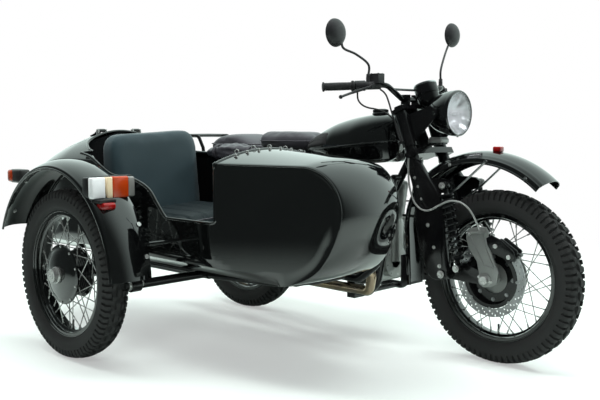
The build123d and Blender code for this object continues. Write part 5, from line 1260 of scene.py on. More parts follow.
def lid_fittings():
    """Hinges on the trunk's front edge and a handle near its rear edge."""
    hx, hz = -199.0, 912.0
    fixed, moving = Shape(), Shape()
    for y in (BODY_Y - 95, BODY_Y + 95):
        for q in (-24, 18):
            z0 = float(deck_height(hx + 4, y)) - 6
            fixed.box((hx - 7, y + q, z0), (hx + 14, y + q + 6, hz + 6), edge=2.5)
        fixed.rod((hx, y - 25.5, hz), (hx, y + 25.5, hz), 4, 14, edge=1)
        moving.lathe([(4.4, -17.5), (8, -17.5), (8, 17.5), (4.4, 17.5)], (hx, y, hz), (0, 1, 0), 24)
        xs = np.array([-206.5, -216, -228, -245, -262, -275])
        zt = np.array([hz + 4] + [float(deck_height(x, y)) + 5.5 for x in xs[1:]])
        zt[1] = max(zt[1], hz + 1)
        top = np.stack([xs, zt], -1)
        low = top - (0, 4.0)
        loop = np.vstack([top, low[::-1]])
        rows = np.array([[(p[0], y + w, p[1]) for p in loop] for w in (-13, -12, 12, 13)])
        moving.capped(rows)
        for x in (-240, -264):
            moving.lathe([(0, 0), (4.5, 0), (4, 2), (2, 3), (0, 3.2)], (x, y, float(
                deck_height(x, y)) + 5.0), (0.1, 0, 1), 14, mark=1, closed=False)
    fixed.make("trunk_hinge_pins", [zinc()], "chassis", (), "steel")
    # handle near the lid's rear edge, where the lid already falls to the tail
    grip = np.array([-440.0, BODY_Y, 846.9])
    out = np.array([-0.39, 0.0, 1.0]) / math.hypot(0.39, 1.0)
    half = np.array([0.0, 38.0, 0.0])
    moving.lathe([(0, -1.5), (15, -1.5), (15, 3), (9, 6), (9, 15), (0, 15)],
                 tuple(grip), tuple(out), 28, mark=1, closed=False)
    moving.rod(tuple(grip + 17 * out - half), tuple(grip + 17 * out + half), 6, 14, edge=2, mark=1)
    moving.make("trunk_hinge_leaves", [paint_black(), zinc()], "trunk_lid_body", (), "paint_black")


# ---------------------------------------------------------------- fuel tank
TANK = np.array([  # x, half width, bottom, seam height, top
    (452, 60, 806, 820, 840), (470, 74, 803, 821, 853), (510, 96, 798,
     823, 872), (590, 126, 792, 828, 917), (700, 146, 780, 838, 957),
    (800, 146, 772, 850, 977), (880, 130, 770, 858, 985), (940, 96, 774, 866, 982), (970, 66, 786, 869, 972), (986, 46, 800, 872, 962)], float)


def tank_at(x):
    return [through(TANK[:, 0], TANK[:, k], x) for k in range(1, 5)]


def build_tank():
    """The tank's shell is a row of cross sections: above the seam a superellipse that leans in to
    the top line, below it a shallow pan."""
    u = np.linspace(0, 1, 90)
    x = 452 + 534 * (u - 0.055 * np.sin(2 * np.pi * u))
    w, zb, zs, zt = tank_at(x)
    end = np.minimum(1, np.minimum(np.sqrt(np.clip((x - 446) / 26.0, 0, 1)), np.sqrt(np.clip((990 - x) / 22.0, 0, 1))))
    w, zt = w * (0.45 + 0.55 * end), zs + (zt - zs) * (0.55 + 0.45 * end)
    a = np.linspace(0, np.pi, 49)
    ca, sa = np.cos(a), np.sin(a)
    e = 0.80
    ty = np.sign(ca) * np.abs(ca) ** e
    tz = np.abs(sa) ** 0.86
    Y = -w[:, None] * ty[None]
    Z = zs[:, None] + (zt - zs)[:, None] * tz[None]
    s = Shape()
    # lower pan
    k = np.array([1.0, 0.98, 0.95, 0.9, 0.84, 0.76, 0.6, 0.4, 0.2, 0.0])
    yl = w[:, None] * k[None]
    drop = np.array([0.0, 0.25, 0.5, 0.75, 0.92, 1.0, 1.0, 1.0, 1.0, 1.0])
    zl = zs[:, None] - (zs - zb - 4)[:, None] * drop[None]
    X = np.broadcast_to(x[:, None], (90, 49))
    upper = np.stack([X, Y, Z], -1)
    right = np.stack([np.broadcast_to(x[:, None], (90, 10)), -yl, zl], -1)
    left = np.stack([np.broadcast_to(x[:, None], (90, 10)), yl, zl], -1)
    ring = np.concatenate([upper, left[:, 1:], right[:, ::-1][:, 1:-1]], 1)
    # tunnel over the frame's backbone: the pan's middle lifts
    tun = np.clip(1 - np.abs(ring[..., 1]) / 34.0, 0, 1) * (ring[..., 2] < zs[:, None] - 6)
    ring[..., 2] += np.minimum(tun * 60, 30) * (x[:, None] > 560)
    s.capped(ring)
    # rolled seam flange
    outline = np.vstack([np.column_stack([x, -w - 1.5, zs]), np.column_stack([x, w + 1.5, zs])[::-1]])
    s.tube(curve(outline, 220, closed=True), 3.2, 8, closed=True)
    s.make("tank_shell", [paint_black()], "chassis", ["fuel_tank"], "paint_black", angle=50)
    # filler cap: knurled rim and a domed top
    c = Shape()
    ax = unit(np.array([-0.03, 0, 1.0]))
    top = np.array([868.0, 0, 980.0])
    c.lathe([(0, 2), (36, 2), (37, 5), (37, 9), (34, 12), (34, 13)], top, ax, 60)
    ang = np.linspace(0, 2 * np.pi, 121)[:-1]
    knurl = 33.5 + 0.9 * (np.arange(120) % 2)
    zz = np.array([13.0, 14.0, 22.0, 23.5])
    (X3, Y3), Z3 = basis(ax), ax
    P = top + (knurl * np.cos(ang))[None, :, None] * X3 * np.ones((4, 1, 1)) + \
               (knurl * np.sin(ang))[None, :, None] * Y3 + zz[:, None, None] * Z3
    c.grid(P, around=True)
    c.lathe([(33, 23), (30, 26), (20, 28), (0, 29)], top, ax, 60, closed=False)
    c.make("filler_cap", [frame_black()], "chassis", ["fuel_cap"], "chrome", angle=35)
    k = Shape()
    for sgn in (-1, 1):
        # knee rubbers: ribbed pads lying on the tank's sides
        uu, vv = np.meshgrid(np.linspace(0, 1, 44), np.linspace(0, 1, 22), indexing="ij")
        xx = 520 + 150 * uu
        wq, _, zsq, ztq = tank_at(xx)
        frac = 0.13 + 0.62 * vv * (0.75 + 0.25 * np.sin(np.pi * uu))
        aa = np.arcsin(np.clip(frac ** (1 / 0.86), 0, 1))
        yy = wq * np.cos(aa) ** 0.8
        z_ = zsq + (ztq - zsq) * frac
        fall = np.minimum(np.minimum(uu, 1 - uu) * 10, np.minimum(vv, 1 - vv) * 6)
        lift = 6.0 * np.clip(fall, 0, 1) ** 0.5 + 0.8 * np.sin(vv * np.pi * 18) * np.clip(fall * 2 - 1, 0, 1)
        outer = np.stack([xx, sgn * (yy + lift), z_ + lift * 0.5], -1)
        inner = np.stack([xx, sgn * (yy - 2.0), z_ - 1.5], -1)
        ring2 = np.concatenate([outer, inner[:, ::-1]], 1)
        k.capped(ring2)
    k.make("knee_rubbers", [rubber()], "chassis", (), "rubber", angle=50)


# ---------------------------------------------------------------- padded pieces
def pad(name, shape_mesh, material, body, replaces, slot, cap=0.008, fill=0.7, voxel=0.006, pressure=4.0, fixed=None):
    """Cushion: a slightly small closed form is remeshed into even quads, blown up as cloth under
    pressure, and no point moves further than the cap."""
    obj = bpy.data.objects.new(name, shape_mesh)
    bpy.context.scene.collection.objects.link(obj)
    obj.data = applied(obj, [("REMESH", dict(mode="VOXEL", voxel_size=voxel))])
    n = len(obj.data.vertices)
    rest = np.empty(n * 3)
    obj.data.vertices.foreach_get("co", rest)
    rest = rest.reshape(-1, 3)
    m = obj.modifiers.new("cloth", "CLOTH")
    st = m.settings
    st.quality = 4
    st.mass = 0.3
    st.tension_stiffness = st.compression_stiffness = 12
    st.bending_stiffness = 0.6
    st.use_pressure = True
    st.uniform_pressure_force = pressure
    st.effector_weights.gravity = 0
    m.collision_settings.use_collision = False
    scene = bpy.context.scene
    for f in range(1, 15):
        scene.frame_set(f)
    mesh = bpy.data.meshes.new_from_object(obj.evaluated_get(bpy.context.evaluated_depsgraph_get()))
    obj.modifiers.clear()
    now = np.empty(n * 3)
    mesh.vertices.foreach_get("co", now)
    move = now.reshape(-1, 3) - rest
    d = np.linalg.norm(move, axis=1, keepdims=True)
    move *= np.minimum(1, cap / np.maximum(d, 1e-9))
    if fixed is not None:
        move *= fixed(rest)[:, None]
    obj.data.vertices.foreach_set("co", (rest + move).ravel())
    scene.frame_set(1)
    obj.data = applied(obj, [("SMOOTH", dict(factor=0.5, iterations=3)), ("SUBSURF", dict(levels=1, render_levels=1))])
    obj.data.name = name
    obj.data.materials.clear()
    obj.data.materials.append(material)
    shade(obj.data, 180)
    dress(obj, body, replaces, slot)
    return obj


def pillow(c, h, ex=0.32, ez=0.4, taper=0.0, n=64, m=33):
    """Closed rounded block: a superellipsoid, whose two exponents round its plan and its edges;
    taper narrows its far end."""
    u = np.linspace(0, 2 * np.pi, n, endpoint=False)
    v = np.linspace(-np.pi / 2, np.pi / 2, m)
    def p(t, e):
        return np.sign(t) * np.abs(t) ** e
    cv, sv = p(np.cos(v), ez), p(np.sin(v), ez)
    X = c[0] + h[0] * cv[:, None] * p(np.cos(u), ex)[None]
    Y = c[1] + h[1] * cv[:, None] * p(np.sin(u), ex)[None] * (1 - taper * cv[:, None] * p(np.cos(u), ex)[None])
    Z = c[2] + h[2] * sv[:, None] + 0 * X
    return np.stack([X, Y, Z], -1)


def form_mesh(p, name):
    s = Shape().capped(p)
    mesh = bpy.data.meshes.new(name)
    mesh.from_pydata(place(np.vstack(s.points)).tolist(), [], s.faces)
    bm = bmesh.new()
    bm.from_mesh(mesh)
    bmesh.ops.remove_doubles(bm, verts=bm.verts, dist=1e-5)
    bmesh.ops.recalc_face_normals(bm, faces=bm.faces)
    bm.to_mesh(mesh)
    bm.free()
    return mesh


def press_seams(obj, lines, depth, width, axis, face):
    """Presses sewn channels into a finished pad: points near a line of the plan sink along an
    axis by a bell curve.  lines is a function of the point's place that gives its distance to the
    nearest seam, and face says which side of the pad takes it."""
    mesh = obj.data
    n = len(mesh.vertices)
    co = np.empty(n * 3)
    mesh.vertices.foreach_get("co", co)
    co = co.reshape(-1, 3)
    p = co * 1000.0 + ORIGIN
    no = np.empty(n * 3)
    mesh.vertices.foreach_get("normal", no)
    no = no.reshape(-1, 3)
    d = lines(p)
    amount = depth * np.exp(-(d / width) ** 2) * face(no)
    move = np.zeros_like(p)
    move -= np.asarray(axis, float) * amount[:, None]
    mesh.vertices.foreach_set("co", (co + move / 1000.0).ravel())
    mesh.update()


def build_cushions():
    y = BODY_Y
    p = pillow((368, y, 512), (228, 214, 68), 0.22, 0.30)
    # the front of the seat leans back under its edge and its top falls a little to the rear
    top = np.clip((p[..., 2] - 446) / 144.0, 0, 1)
    p[..., 2] += 12.0 * (p[..., 1] - y) / 214.0 * top
    p[..., 0] -= 26 * np.clip((p[..., 0] - 480) / 120.0, 0, 1) * top
    # the seat takes the darkened copy of the slate vinyl, which is painted shade for its shadow
    seat = pad(
    "sidecar_seat",
    form_mesh(
        p,
        "seat_form"),
        shadow_painted_vinyl(),
        "chassis",
        ["sidecar_cushions"],
        "cushion_vinyl",
        cap=0.008,
        fill=0.8,
         voxel=0.0105)
    press_seams(seat, lambda q: np.abs((q[:, 1] - y + 212) % 84.8 - 42.4) + 999 * \
                (q[:, 0] > 590), 7.0, 7.0, (0, 0, 1), lambda n: np.clip(n[:, 2] * 1.6 - 0.3, 0, 1))
    b = pillow((74, y - 8, 683), (46, 238, 232), 0.26, 0.16)
    # the back leans to the rear with height and its upper corners are round
    hgt = np.clip((b[..., 2] - 452) / 452.0, 0, 1)
    b[..., 0] += np.where(b[..., 0] > 74, 44 * (1 - hgt) ** 1.3, 0) - 6 * hgt
    b[..., 0] = np.maximum(b[..., 0], 22)
    b[..., 2] += (10.0 * (b[..., 1] - y) / 238.0 - 4.0) * hgt
    round_off = np.clip((b[..., 2] - 800) / 112.0, 0, 1)
    b[..., 1] = y + (b[..., 1] - y) * (1 - 0.13 * round_off ** 2.6)
    pad("sidecar_backrest", form_mesh(b, "back_form"), slate_vinyl(),
        "chassis", (), "cushion_vinyl", cap=0.006, fill=0.8, voxel=0.0105)
    s = Shape()
    a = np.linspace(0, 2 * np.pi, 180, endpoint=False)
    ex = 0.22
    cx, sx = np.sign(np.cos(a)) * np.abs(np.cos(a)) ** ex, np.sign(np.sin(a)) * np.abs(np.sin(a)) ** ex
    s.tube(np.stack([np.clip(368 + 229 * cx - 8, 136, 592), y + 216 * \
           sx, 566 + 2 * cx + 12 * sx], -1), 3.2, 8, closed=True)
    s.make("seat_piping", [vinyl()], "chassis", (), "cushion_vinyl", angle=80)


def build_cover():
    """Folded cover along the cockpit's left rim: a bundle whose section is a circle with soft
    folds that turn slowly along it, thick in the middle and thin at its ends."""
    t = np.linspace(0, 1, 90)
    x = 190 + 395 * t
    yy = BODY_Y + 229 - 6 * np.sin(np.pi * t)
    z = deck_height(x, np.full(90, BODY_Y + 229)) - 14 + 9 * np.sin(np.pi * t)
    a = np.linspace(0, 2 * np.pi, 60, endpoint=False)
    r = (11 + 26 * np.sin(np.pi * t) ** 0.6)[:,
    None] * (1 + 0.10 * np.sin(5 * a[None] + 3 * t[:,
    None]) + 0.06 * np.sin(9 * a[None] - 7 * t[:,
    None]) + 0.05 * np.sin(2 * np.pi * 7 * t)[:,
     None])
    P = np.stack([np.broadcast_to(x[:, None], r.shape), yy[:, None] + 1.15 * r * \
                 np.cos(a)[None], z[:, None] + 0.95 * r * np.sin(a)[None]], -1)
    pad("folded_cover", form_mesh(P, "cover_form"), vinyl(), "chassis",
        (), "seat_vinyl", cap=0.003, fill=0.3, voxel=0.0056, pressure=1.0)
    s = Shape()
    for q in (0.22, 0.78):
        k = int(q * 89)
        rr = (11 + 26 * math.sin(math.pi * q) ** 0.6) * 1.13
        g = np.linspace(0, 2 * np.pi, 40, endpoint=False)
        loop = np.stack([np.full(40, x[k]), yy[k] + 1.15 * rr * np.cos(g), z[k] + 0.97 * rr * np.sin(g)], -1)
        for dx in (-6, -2, 2, 6):
            s.tube(loop + (dx, 0, 0), 2.4, 6, closed=True)
    s.make("cover_straps", [vinyl()], "chassis", (), "seat_vinyl", angle=60)


def saddle_form(rows, z0):
    """Rows of x, half width and top height carried along x as rounded half moons."""
    r = np.array(rows, float)
    u = np.linspace(0, 1, 46)
    x = r[0, 0] + (r[-1, 0] - r[0, 0]) * (0.5 - 0.5 * np.cos(np.pi * u))
    w, zt = through(r[:, 0], r[:, 1], x), through(r[:, 0], r[:, 2], x)
    end = np.minimum(np.sqrt(np.clip((x - r[0, 0]) / 34.0, 0.0, 1)), np.sqrt(np.clip((r[-1, 0] - x) / 22.0, 0.0, 1)))
    end = 0.18 + 0.82 * end
    a = np.linspace(0, 2 * np.pi, 56, endpoint=False)
    p = lambda t, e: np.sign(t) * np.abs(t) ** e
    mid, h = (zt + z0) / 2, (zt - z0) / 2 * (0.55 + 0.45 * end)
    Y = (w * end)[:, None] * p(np.cos(a), 0.45)[None]
    Z = mid[:, None] + h[:, None] * p(np.sin(a), 0.62)[None]
    Z = np.maximum(Z, z0)
    return np.stack([np.broadcast_to(x[:, None], Y.shape), Y, Z], -1)


def build_saddles():
    one = saddle_form([(188, 104, 890), (212, 124, 903), (330, 124, 903),
                      (430, 98, 899), (490, 74, 889), (512, 56, 872)], 822)
    two = saddle_form([(-190, 90, 826), (-160, 112, 850), (-80, 124, 880),
                      (10, 124, 887), (90, 114, 868), (156, 90, 828)], 802)
    # the rider's saddle dips where one sits
    for p, cx, dip in ((one, 310, 6.0), (two, -30, 0.0)):
        g = np.exp(-((p[..., 0] - cx) / 80.0) ** 2 - (p[..., 1] / 80.0) ** 2)
        p[..., 2] -= dip * g * (p[..., 2] > 860)
    pad("rider_saddle", form_mesh(one, "rider_form"), vinyl(), "chassis",
        ["saddles"], "seat_vinyl", cap=0.006, fill=0.85, voxel=0.0072)
    pad("pillion_saddle", form_mesh(two, "pillion_form"), vinyl(),
        "chassis", (), "seat_vinyl", cap=0.006, fill=0.85, voxel=0.0072)
    s = Shape()
    for p, z in ((one, 862.0), (two, 842.0)):
        w = p[:, 0, 1] + 0.5
        x = p[:, 0, 0]
        loop = np.vstack([np.column_stack([x, w]), np.column_stack([x, -w])[::-1]])
        loop = curve(loop[::3], 220, closed=True)
        s.tube(np.column_stack([loop, np.full(len(loop), z)]), 3.0, 8, closed=True)
    s.make("saddle_piping", [vinyl()], "chassis", (), "seat_vinyl", angle=80)
    # spring coils and base frames below the two saddles
    c = Shape()
    for x, z0, z1 in ((196, 782, 818), (-120, 780, 798)):
        for sgn in (-1, 1):
            c.tube(helix((x, sgn * 72, z0), (x, sgn * 72, z1), 15, 4, 16), 3.0, 8)
    for z, x0, x1, w in ((815, 194, 490, 96), (795.5, -184, 146, 92)):
        a = np.linspace(0, 2 * np.pi, 60, endpoint=False)
        q = np.stack([(x0 + x1) / 2 + (x1 - x0) / 2 * np.cos(a), w * \
                     np.sin(a) * (1 - 0.25 * np.cos(a)), np.full(60, z)], -1)
        c.tube(q, 4.0, 8, closed=True)
    c.make("saddle_springs", [frame_black()], "chassis", (), "frame_black", angle=60)


# ---------------------------------------------------------------- lamps and instrument
LAMP_X, LAMP_Z, LAMP_R, LAMP_L = 1275.0, 985.0, 93.5, 145.0


def build_headlamp():
    bx = LAMP_X - LAMP_L
    t = np.linspace(0, np.pi / 2, 26)
    bowl = np.column_stack([(LAMP_R - 1) * np.sin(t) ** 0.9, (LAMP_L - 20) * (1 - np.cos(t) ** 1.12)])
    prof = np.vstack([bowl, [(LAMP_R - 1, LAMP_L - 16), (LAMP_R - 6, LAMP_L - 16), (LAMP_R - 8, LAMP_L - 40)],
                      np.column_stack([(LAMP_R - 6) * np.sin(t) ** 0.9, 6 + (LAMP_L - 26) * (1 - np.cos(t) ** 1.12)])[::-1][2:]])
    s = Shape().lathe(prof, (bx, 0, LAMP_Z), (1, 0, 0), 96, closed=False)
    for sgn in (-1, 1):
        s.lathe([(0, 0), (12, 0), (12, 6), (0, 6)], (LAMP_X - 56, sgn * \
                (LAMP_R - 3), LAMP_Z), (0, sgn, 0), 24, closed=False)
    s.make("headlamp_bowl", [paint_black()], "steering", ["headlamp_shell"], "paint_black", angle=40)
    r = Shape()
    ring = [(LAMP_R - 3, -16), (LAMP_R - 0.4, -16), (LAMP_R, -12), (LAMP_R, -3), (LAMP_R - 2, 0),
             (LAMP_R - 5, 1.5), (LAMP_R - 8, 0.5), (LAMP_R - 9, -2), (LAMP_R - 8, -5), (LAMP_R - 5, -12)]
    r.lathe(ring, (LAMP_X, 0, LAMP_Z), (1, 0, 0), 96)
    r.bolt((LAMP_X - 8, 0, LAMP_Z - LAMP_R + 1), (0, 0, -1), 4, 4, washer=False)
    for sgn in (-1, 1):
        r.bolt((LAMP_X - 56, sgn * (LAMP_R + 3), LAMP_Z), (0, sgn, 0), 8, 6)
    r.make("headlamp_rim", [paint_black()], "steering", (), "paint_black", angle=40)
    q = np.linspace(0.12, 1, 20)
    par = np.column_stack([(LAMP_R - 9) * q, -4 - 58 * (1 - q ** 2)])
    back = np.column_stack([(LAMP_R - 8) * q, -6 - 60 * (1 - q ** 2)])[::-1]
    Shape().lathe(np.vstack([par, back]), (LAMP_X, 0, LAMP_Z), (1, 0, 0), 72).make(
        "headlamp_reflector", [reflector()], "steering", (), "chrome", angle=50)
    b = Shape().lathe([(0, -64), (11, -64), (11, -52), (8, -50), (8, -44),
              (0, -44)], (LAMP_X, 0, LAMP_Z), (1, 0, 0), 28, closed=False)
    b.lathe([(0, -30), (10, -31), (13, -27), (12, -22), (6, -17), (0, -16)],
            (LAMP_X, 0, LAMP_Z), (1, 0, 0), 32, closed=False)
    b.tube([(LAMP_X - 46, 0, LAMP_Z - 7), (LAMP_X - 38, 0, LAMP_Z - 12), (LAMP_X - 26, 0, LAMP_Z - 10)], 1.5, 8)
    b.make("headlamp_bulb", [reflector()], "steering", (), "steel", angle=40)
    f = np.linspace(0, 1, 14)
    front = np.column_stack([(LAMP_R - 5.6) * f, 14 - 15 * f ** 2.2])
    lens = np.vstack([front, [(LAMP_R - 5.6, -5)],
                     np.column_stack([(LAMP_R - 8) * f[::-1], 10.5 - 14.5 * f[::-1] ** 2.2])])
    Shape().lathe(lens, (LAMP_X, 0, LAMP_Z), (1, 0, 0), 72, closed=False).make(
        "headlamp_glass_cover", [ribbed()], "steering", ["headlamp_lens"], "lamp_glass", angle=50)


def build_instrument():
    ax = unit(np.array([-0.34, 0, 0.94]))
    low = np.array([1124.0, 0, 1043.0])
    s = Shape().lathe([(0, -38), (20, -38), (31, -33), (40, -20), (45, -4), (46.5, 22), (49, 24),
              (49, 60), (47, 64), (42, 64), (41, 58), (0, 58)], low, ax, 72, closed=False)
    s.tube([(1068.0, 0, 1022.0), (1090, 0, 1034), (1120, 0, 1052)], 8, 14)
    s.make("instrument_case", [frame_black()], "steering", ["instrument"], "paint_black", angle=35)
    b = Shape().lathe([(42, 62), (48.5, 62), (49, 66), (47, 69.5), (43, 69), (41.5, 66)], low, ax, 72)
    b.make("instrument_bezel", [chrome()], "steering", (), "chrome", angle=40)
    (X3, Y3), Z3 = basis(ax), ax
    d = Shape().lathe([(0, 58.2), (41, 58.2), (41, 59.4), (0, 59.4)], low, ax, 48, closed=False)
    for k in range(25):
        a = math.radians(-30 + 240 * k / 24)
        e = math.cos(a) * X3 + math.sin(a) * Y3
        f = np.cross(ax, e)
        r0 = 29 if k % 4 == 0 else 33
        p = np.array([[low + ax * h + e * r + f * w for r, w in ((r0, -0.7), (38, -0.7), (38, 0.7), (r0, 0.7))]
                     for h in (59.3, 60.0)])
        d.capped(p, mark=1)
    e = math.cos(0.3) * X3 + math.sin(0.3) * Y3
    d.rod(low + ax * 61 - e * 8, low + ax * 61 + e * 30, 0.9, 8, mark=2)
    d.lathe([(0, 59), (4, 59), (4, 62), (0, 63)], low, ax, 20, mark=0, closed=False)
    d.make("instrument_dial", [lamp_black(), dial_white(), red()], "steering", (), "lamp_plastic", angle=35)
    Shape().lathe([(0, 67.5), (20, 67.2), (42.2, 65.4), (42.2, 63.4), (0, 65)], low, ax, 60,
          closed=False).make("instrument_glass", [clear()], "steering", (), "lamp_glass", angle=40)


def build_lamps():
    """Side lamps on the sidecar's mudguard, the tail lamp and their lenses."""
    y = -1140.0
    s = Shape()
    s.box((446, y - 74, 662), (470, y + 108, 748), edge=8)
    s.box((466, y - 74, 662), (474, y - 14, 748), edge=3)
    s.box((466, y - 2, 662), (474, y + 108, 748), edge=3)
    s.box((452, y - 98, 669), (495, y + 84, 745), edge=6, mark=0)
    s.box((494, y - 98, 667), (524, y - 40, 746), edge=6, mark=1)
    s.box((494, y - 33, 667), (525, y - 10, 746), edge=4, mark=2)
    s.box((494, y - 9.5, 666), (526, y + 60, 747), edge=6, mark=3)
    s.box((494, y + 60.5, 668), (520, y + 92, 744), edge=7, mark=4)
    s.box((500, y - 86, 652), (556, y - 16, 666), edge=3, mark=0)
    s.box((512, y - 80, 628), (566, y - 22, 655), edge=9, mark=5)
    s.box((-238, y - 38, 690), (-140, y + 12, 748), edge=10)
    s.box((-258, y - 40, 692), (-206, y + 14, 746), edge=11, mark=3)
    stalk = np.array([math.cos(STALK_ANGLE), 0.0, math.sin(STALK_ANGLE)])
    hub = np.array([LEAD, y + 7.5, AXLE_Z])
    s.rod(tuple(hub + 458 * stalk), tuple(hub + 520 * stalk), 12, 20, edge=1)
    ca, sa = math.cos(TAIL_ANGLE), math.sin(TAIL_ANGLE)
    c = np.array([REAR_GUARD_R * ca, 0, AXLE_Z + REAR_GUARD_R * sa])
    turn = np.array([[ca, 0, sa], [0, 1, 0], [-sa, 0, ca]])
    s.box((-20.5, -31, -44), (20.5, 31, 44), edge=8, turn=turn, at=c + turn[0] * 17.5)
    s.box((-9, -28, -40), (9, 28, 40), edge=8, turn=turn, at=c + turn[0] * 40, mark=5)
    s.make("side_and_tail_lamps", [lamp_black(), white_lens(), cream(), amber(),
           smoke(), red()], "chassis", ["lamp_housings"], "lamp_plastic", angle=50)
    r = Shape()
    # red reflector standing on the front mudguard's crown
    r.box((-17, -16, -11), (17, 16, 11), edge=5)
    r.moved(shift=front_guard_top())
    r.make("guard_reflector", [red()], "steering", (), "lamp_plastic", angle=50)


def front_guard_top():
    """Place of the reflector: on the crown, a little ahead of its highest point."""
    a = math.radians(84)
    return np.array([FG_X + (FG_R + 9) * math.cos(a), 0.0, FG_Z + (FG_R + 9) * math.sin(a)])


# ---------------------------------------------------------------- springs and dampers
def shock_shape(s, a, b, radius, turns, covers=True):
    """Coil spring round a damper: the coil's wire is a helix, the damper a stepped rod."""
    a, b = np.asarray(a, float), np.asarray(b, float)
    d = unit(b - a)
    n = np.linalg.norm(b - a)
    for c in (a, b):
        s.lathe([(8.4, -14), (16, -14), (17, -12), (17, 12), (16, 14), (8.4, 14)], c, (0, 1, 0), 28, mark=0)
        s.lathe([(0, -17), (7.8, -17), (7.8, 17), (0, 17)], c, (0, 1, 0), 16, mark=1, closed=False)
    s.rod(a + d * 14, a + d * 46, 10, 20, mark=0, edge=1)
    s.rod(b - d * 48, b - d * 14, 10, 20, mark=0, edge=1)
    s.lathe([(0, 34), (radius * 0.9, 34), (radius, 37), (radius, 42), (radius * 0.75, 48),
            (radius * 0.62, 52), (0, 52)], a, d, 36, mark=0, closed=False)
    s.lathe([(0, n - 52), (radius * 0.8, n - 50), (radius * 0.98, n - 44), (radius * 0.98, n - 36),
            (radius * 0.8, n - 32), (0, n - 32)], a, d, 36, mark=0, closed=False)
    s.rod(a + d * 48, b - d * 120, radius * 0.56, 28, mark=0, edge=1.5)
    s.rod(a + d * 60, b - d * 46, 7.0, 18, mark=1)
    w = radius * 0.165
    s.tube(helix(a + d * (44 + w), b - d * (46 + w), radius - w - 0.5, turns, 26), w, 10, mark=2)


def build_springs():
    s = Shape()
    shock_shape(s, (1295.0, -124, 700), (1365.0, -124, 378), 29, 9.5)
    s.mirrored()
    s.make("front_spring_units", [frame_black(), chrome(), frame_black()],
           "steering", ["front_shocks"], "frame_black", angle=40)
    r = Shape()
    shock_shape(r, (-52.0, -146, 700), (-40.0, -146, 430), 28, 7.5)
    r.mirrored()
    shock_shape(r, (240.0, -1048, 668), (240.0, -1048, 385), 23, 8.5)
    r.make("rear_spring_units", [frame_black(), chrome(), frame_black()],
           "chassis", ["rear_shocks"], "frame_black", angle=40)


# ---------------------------------------------------------------- engine
ENGINE_X, ENGINE_Z = 790.0, 420.0


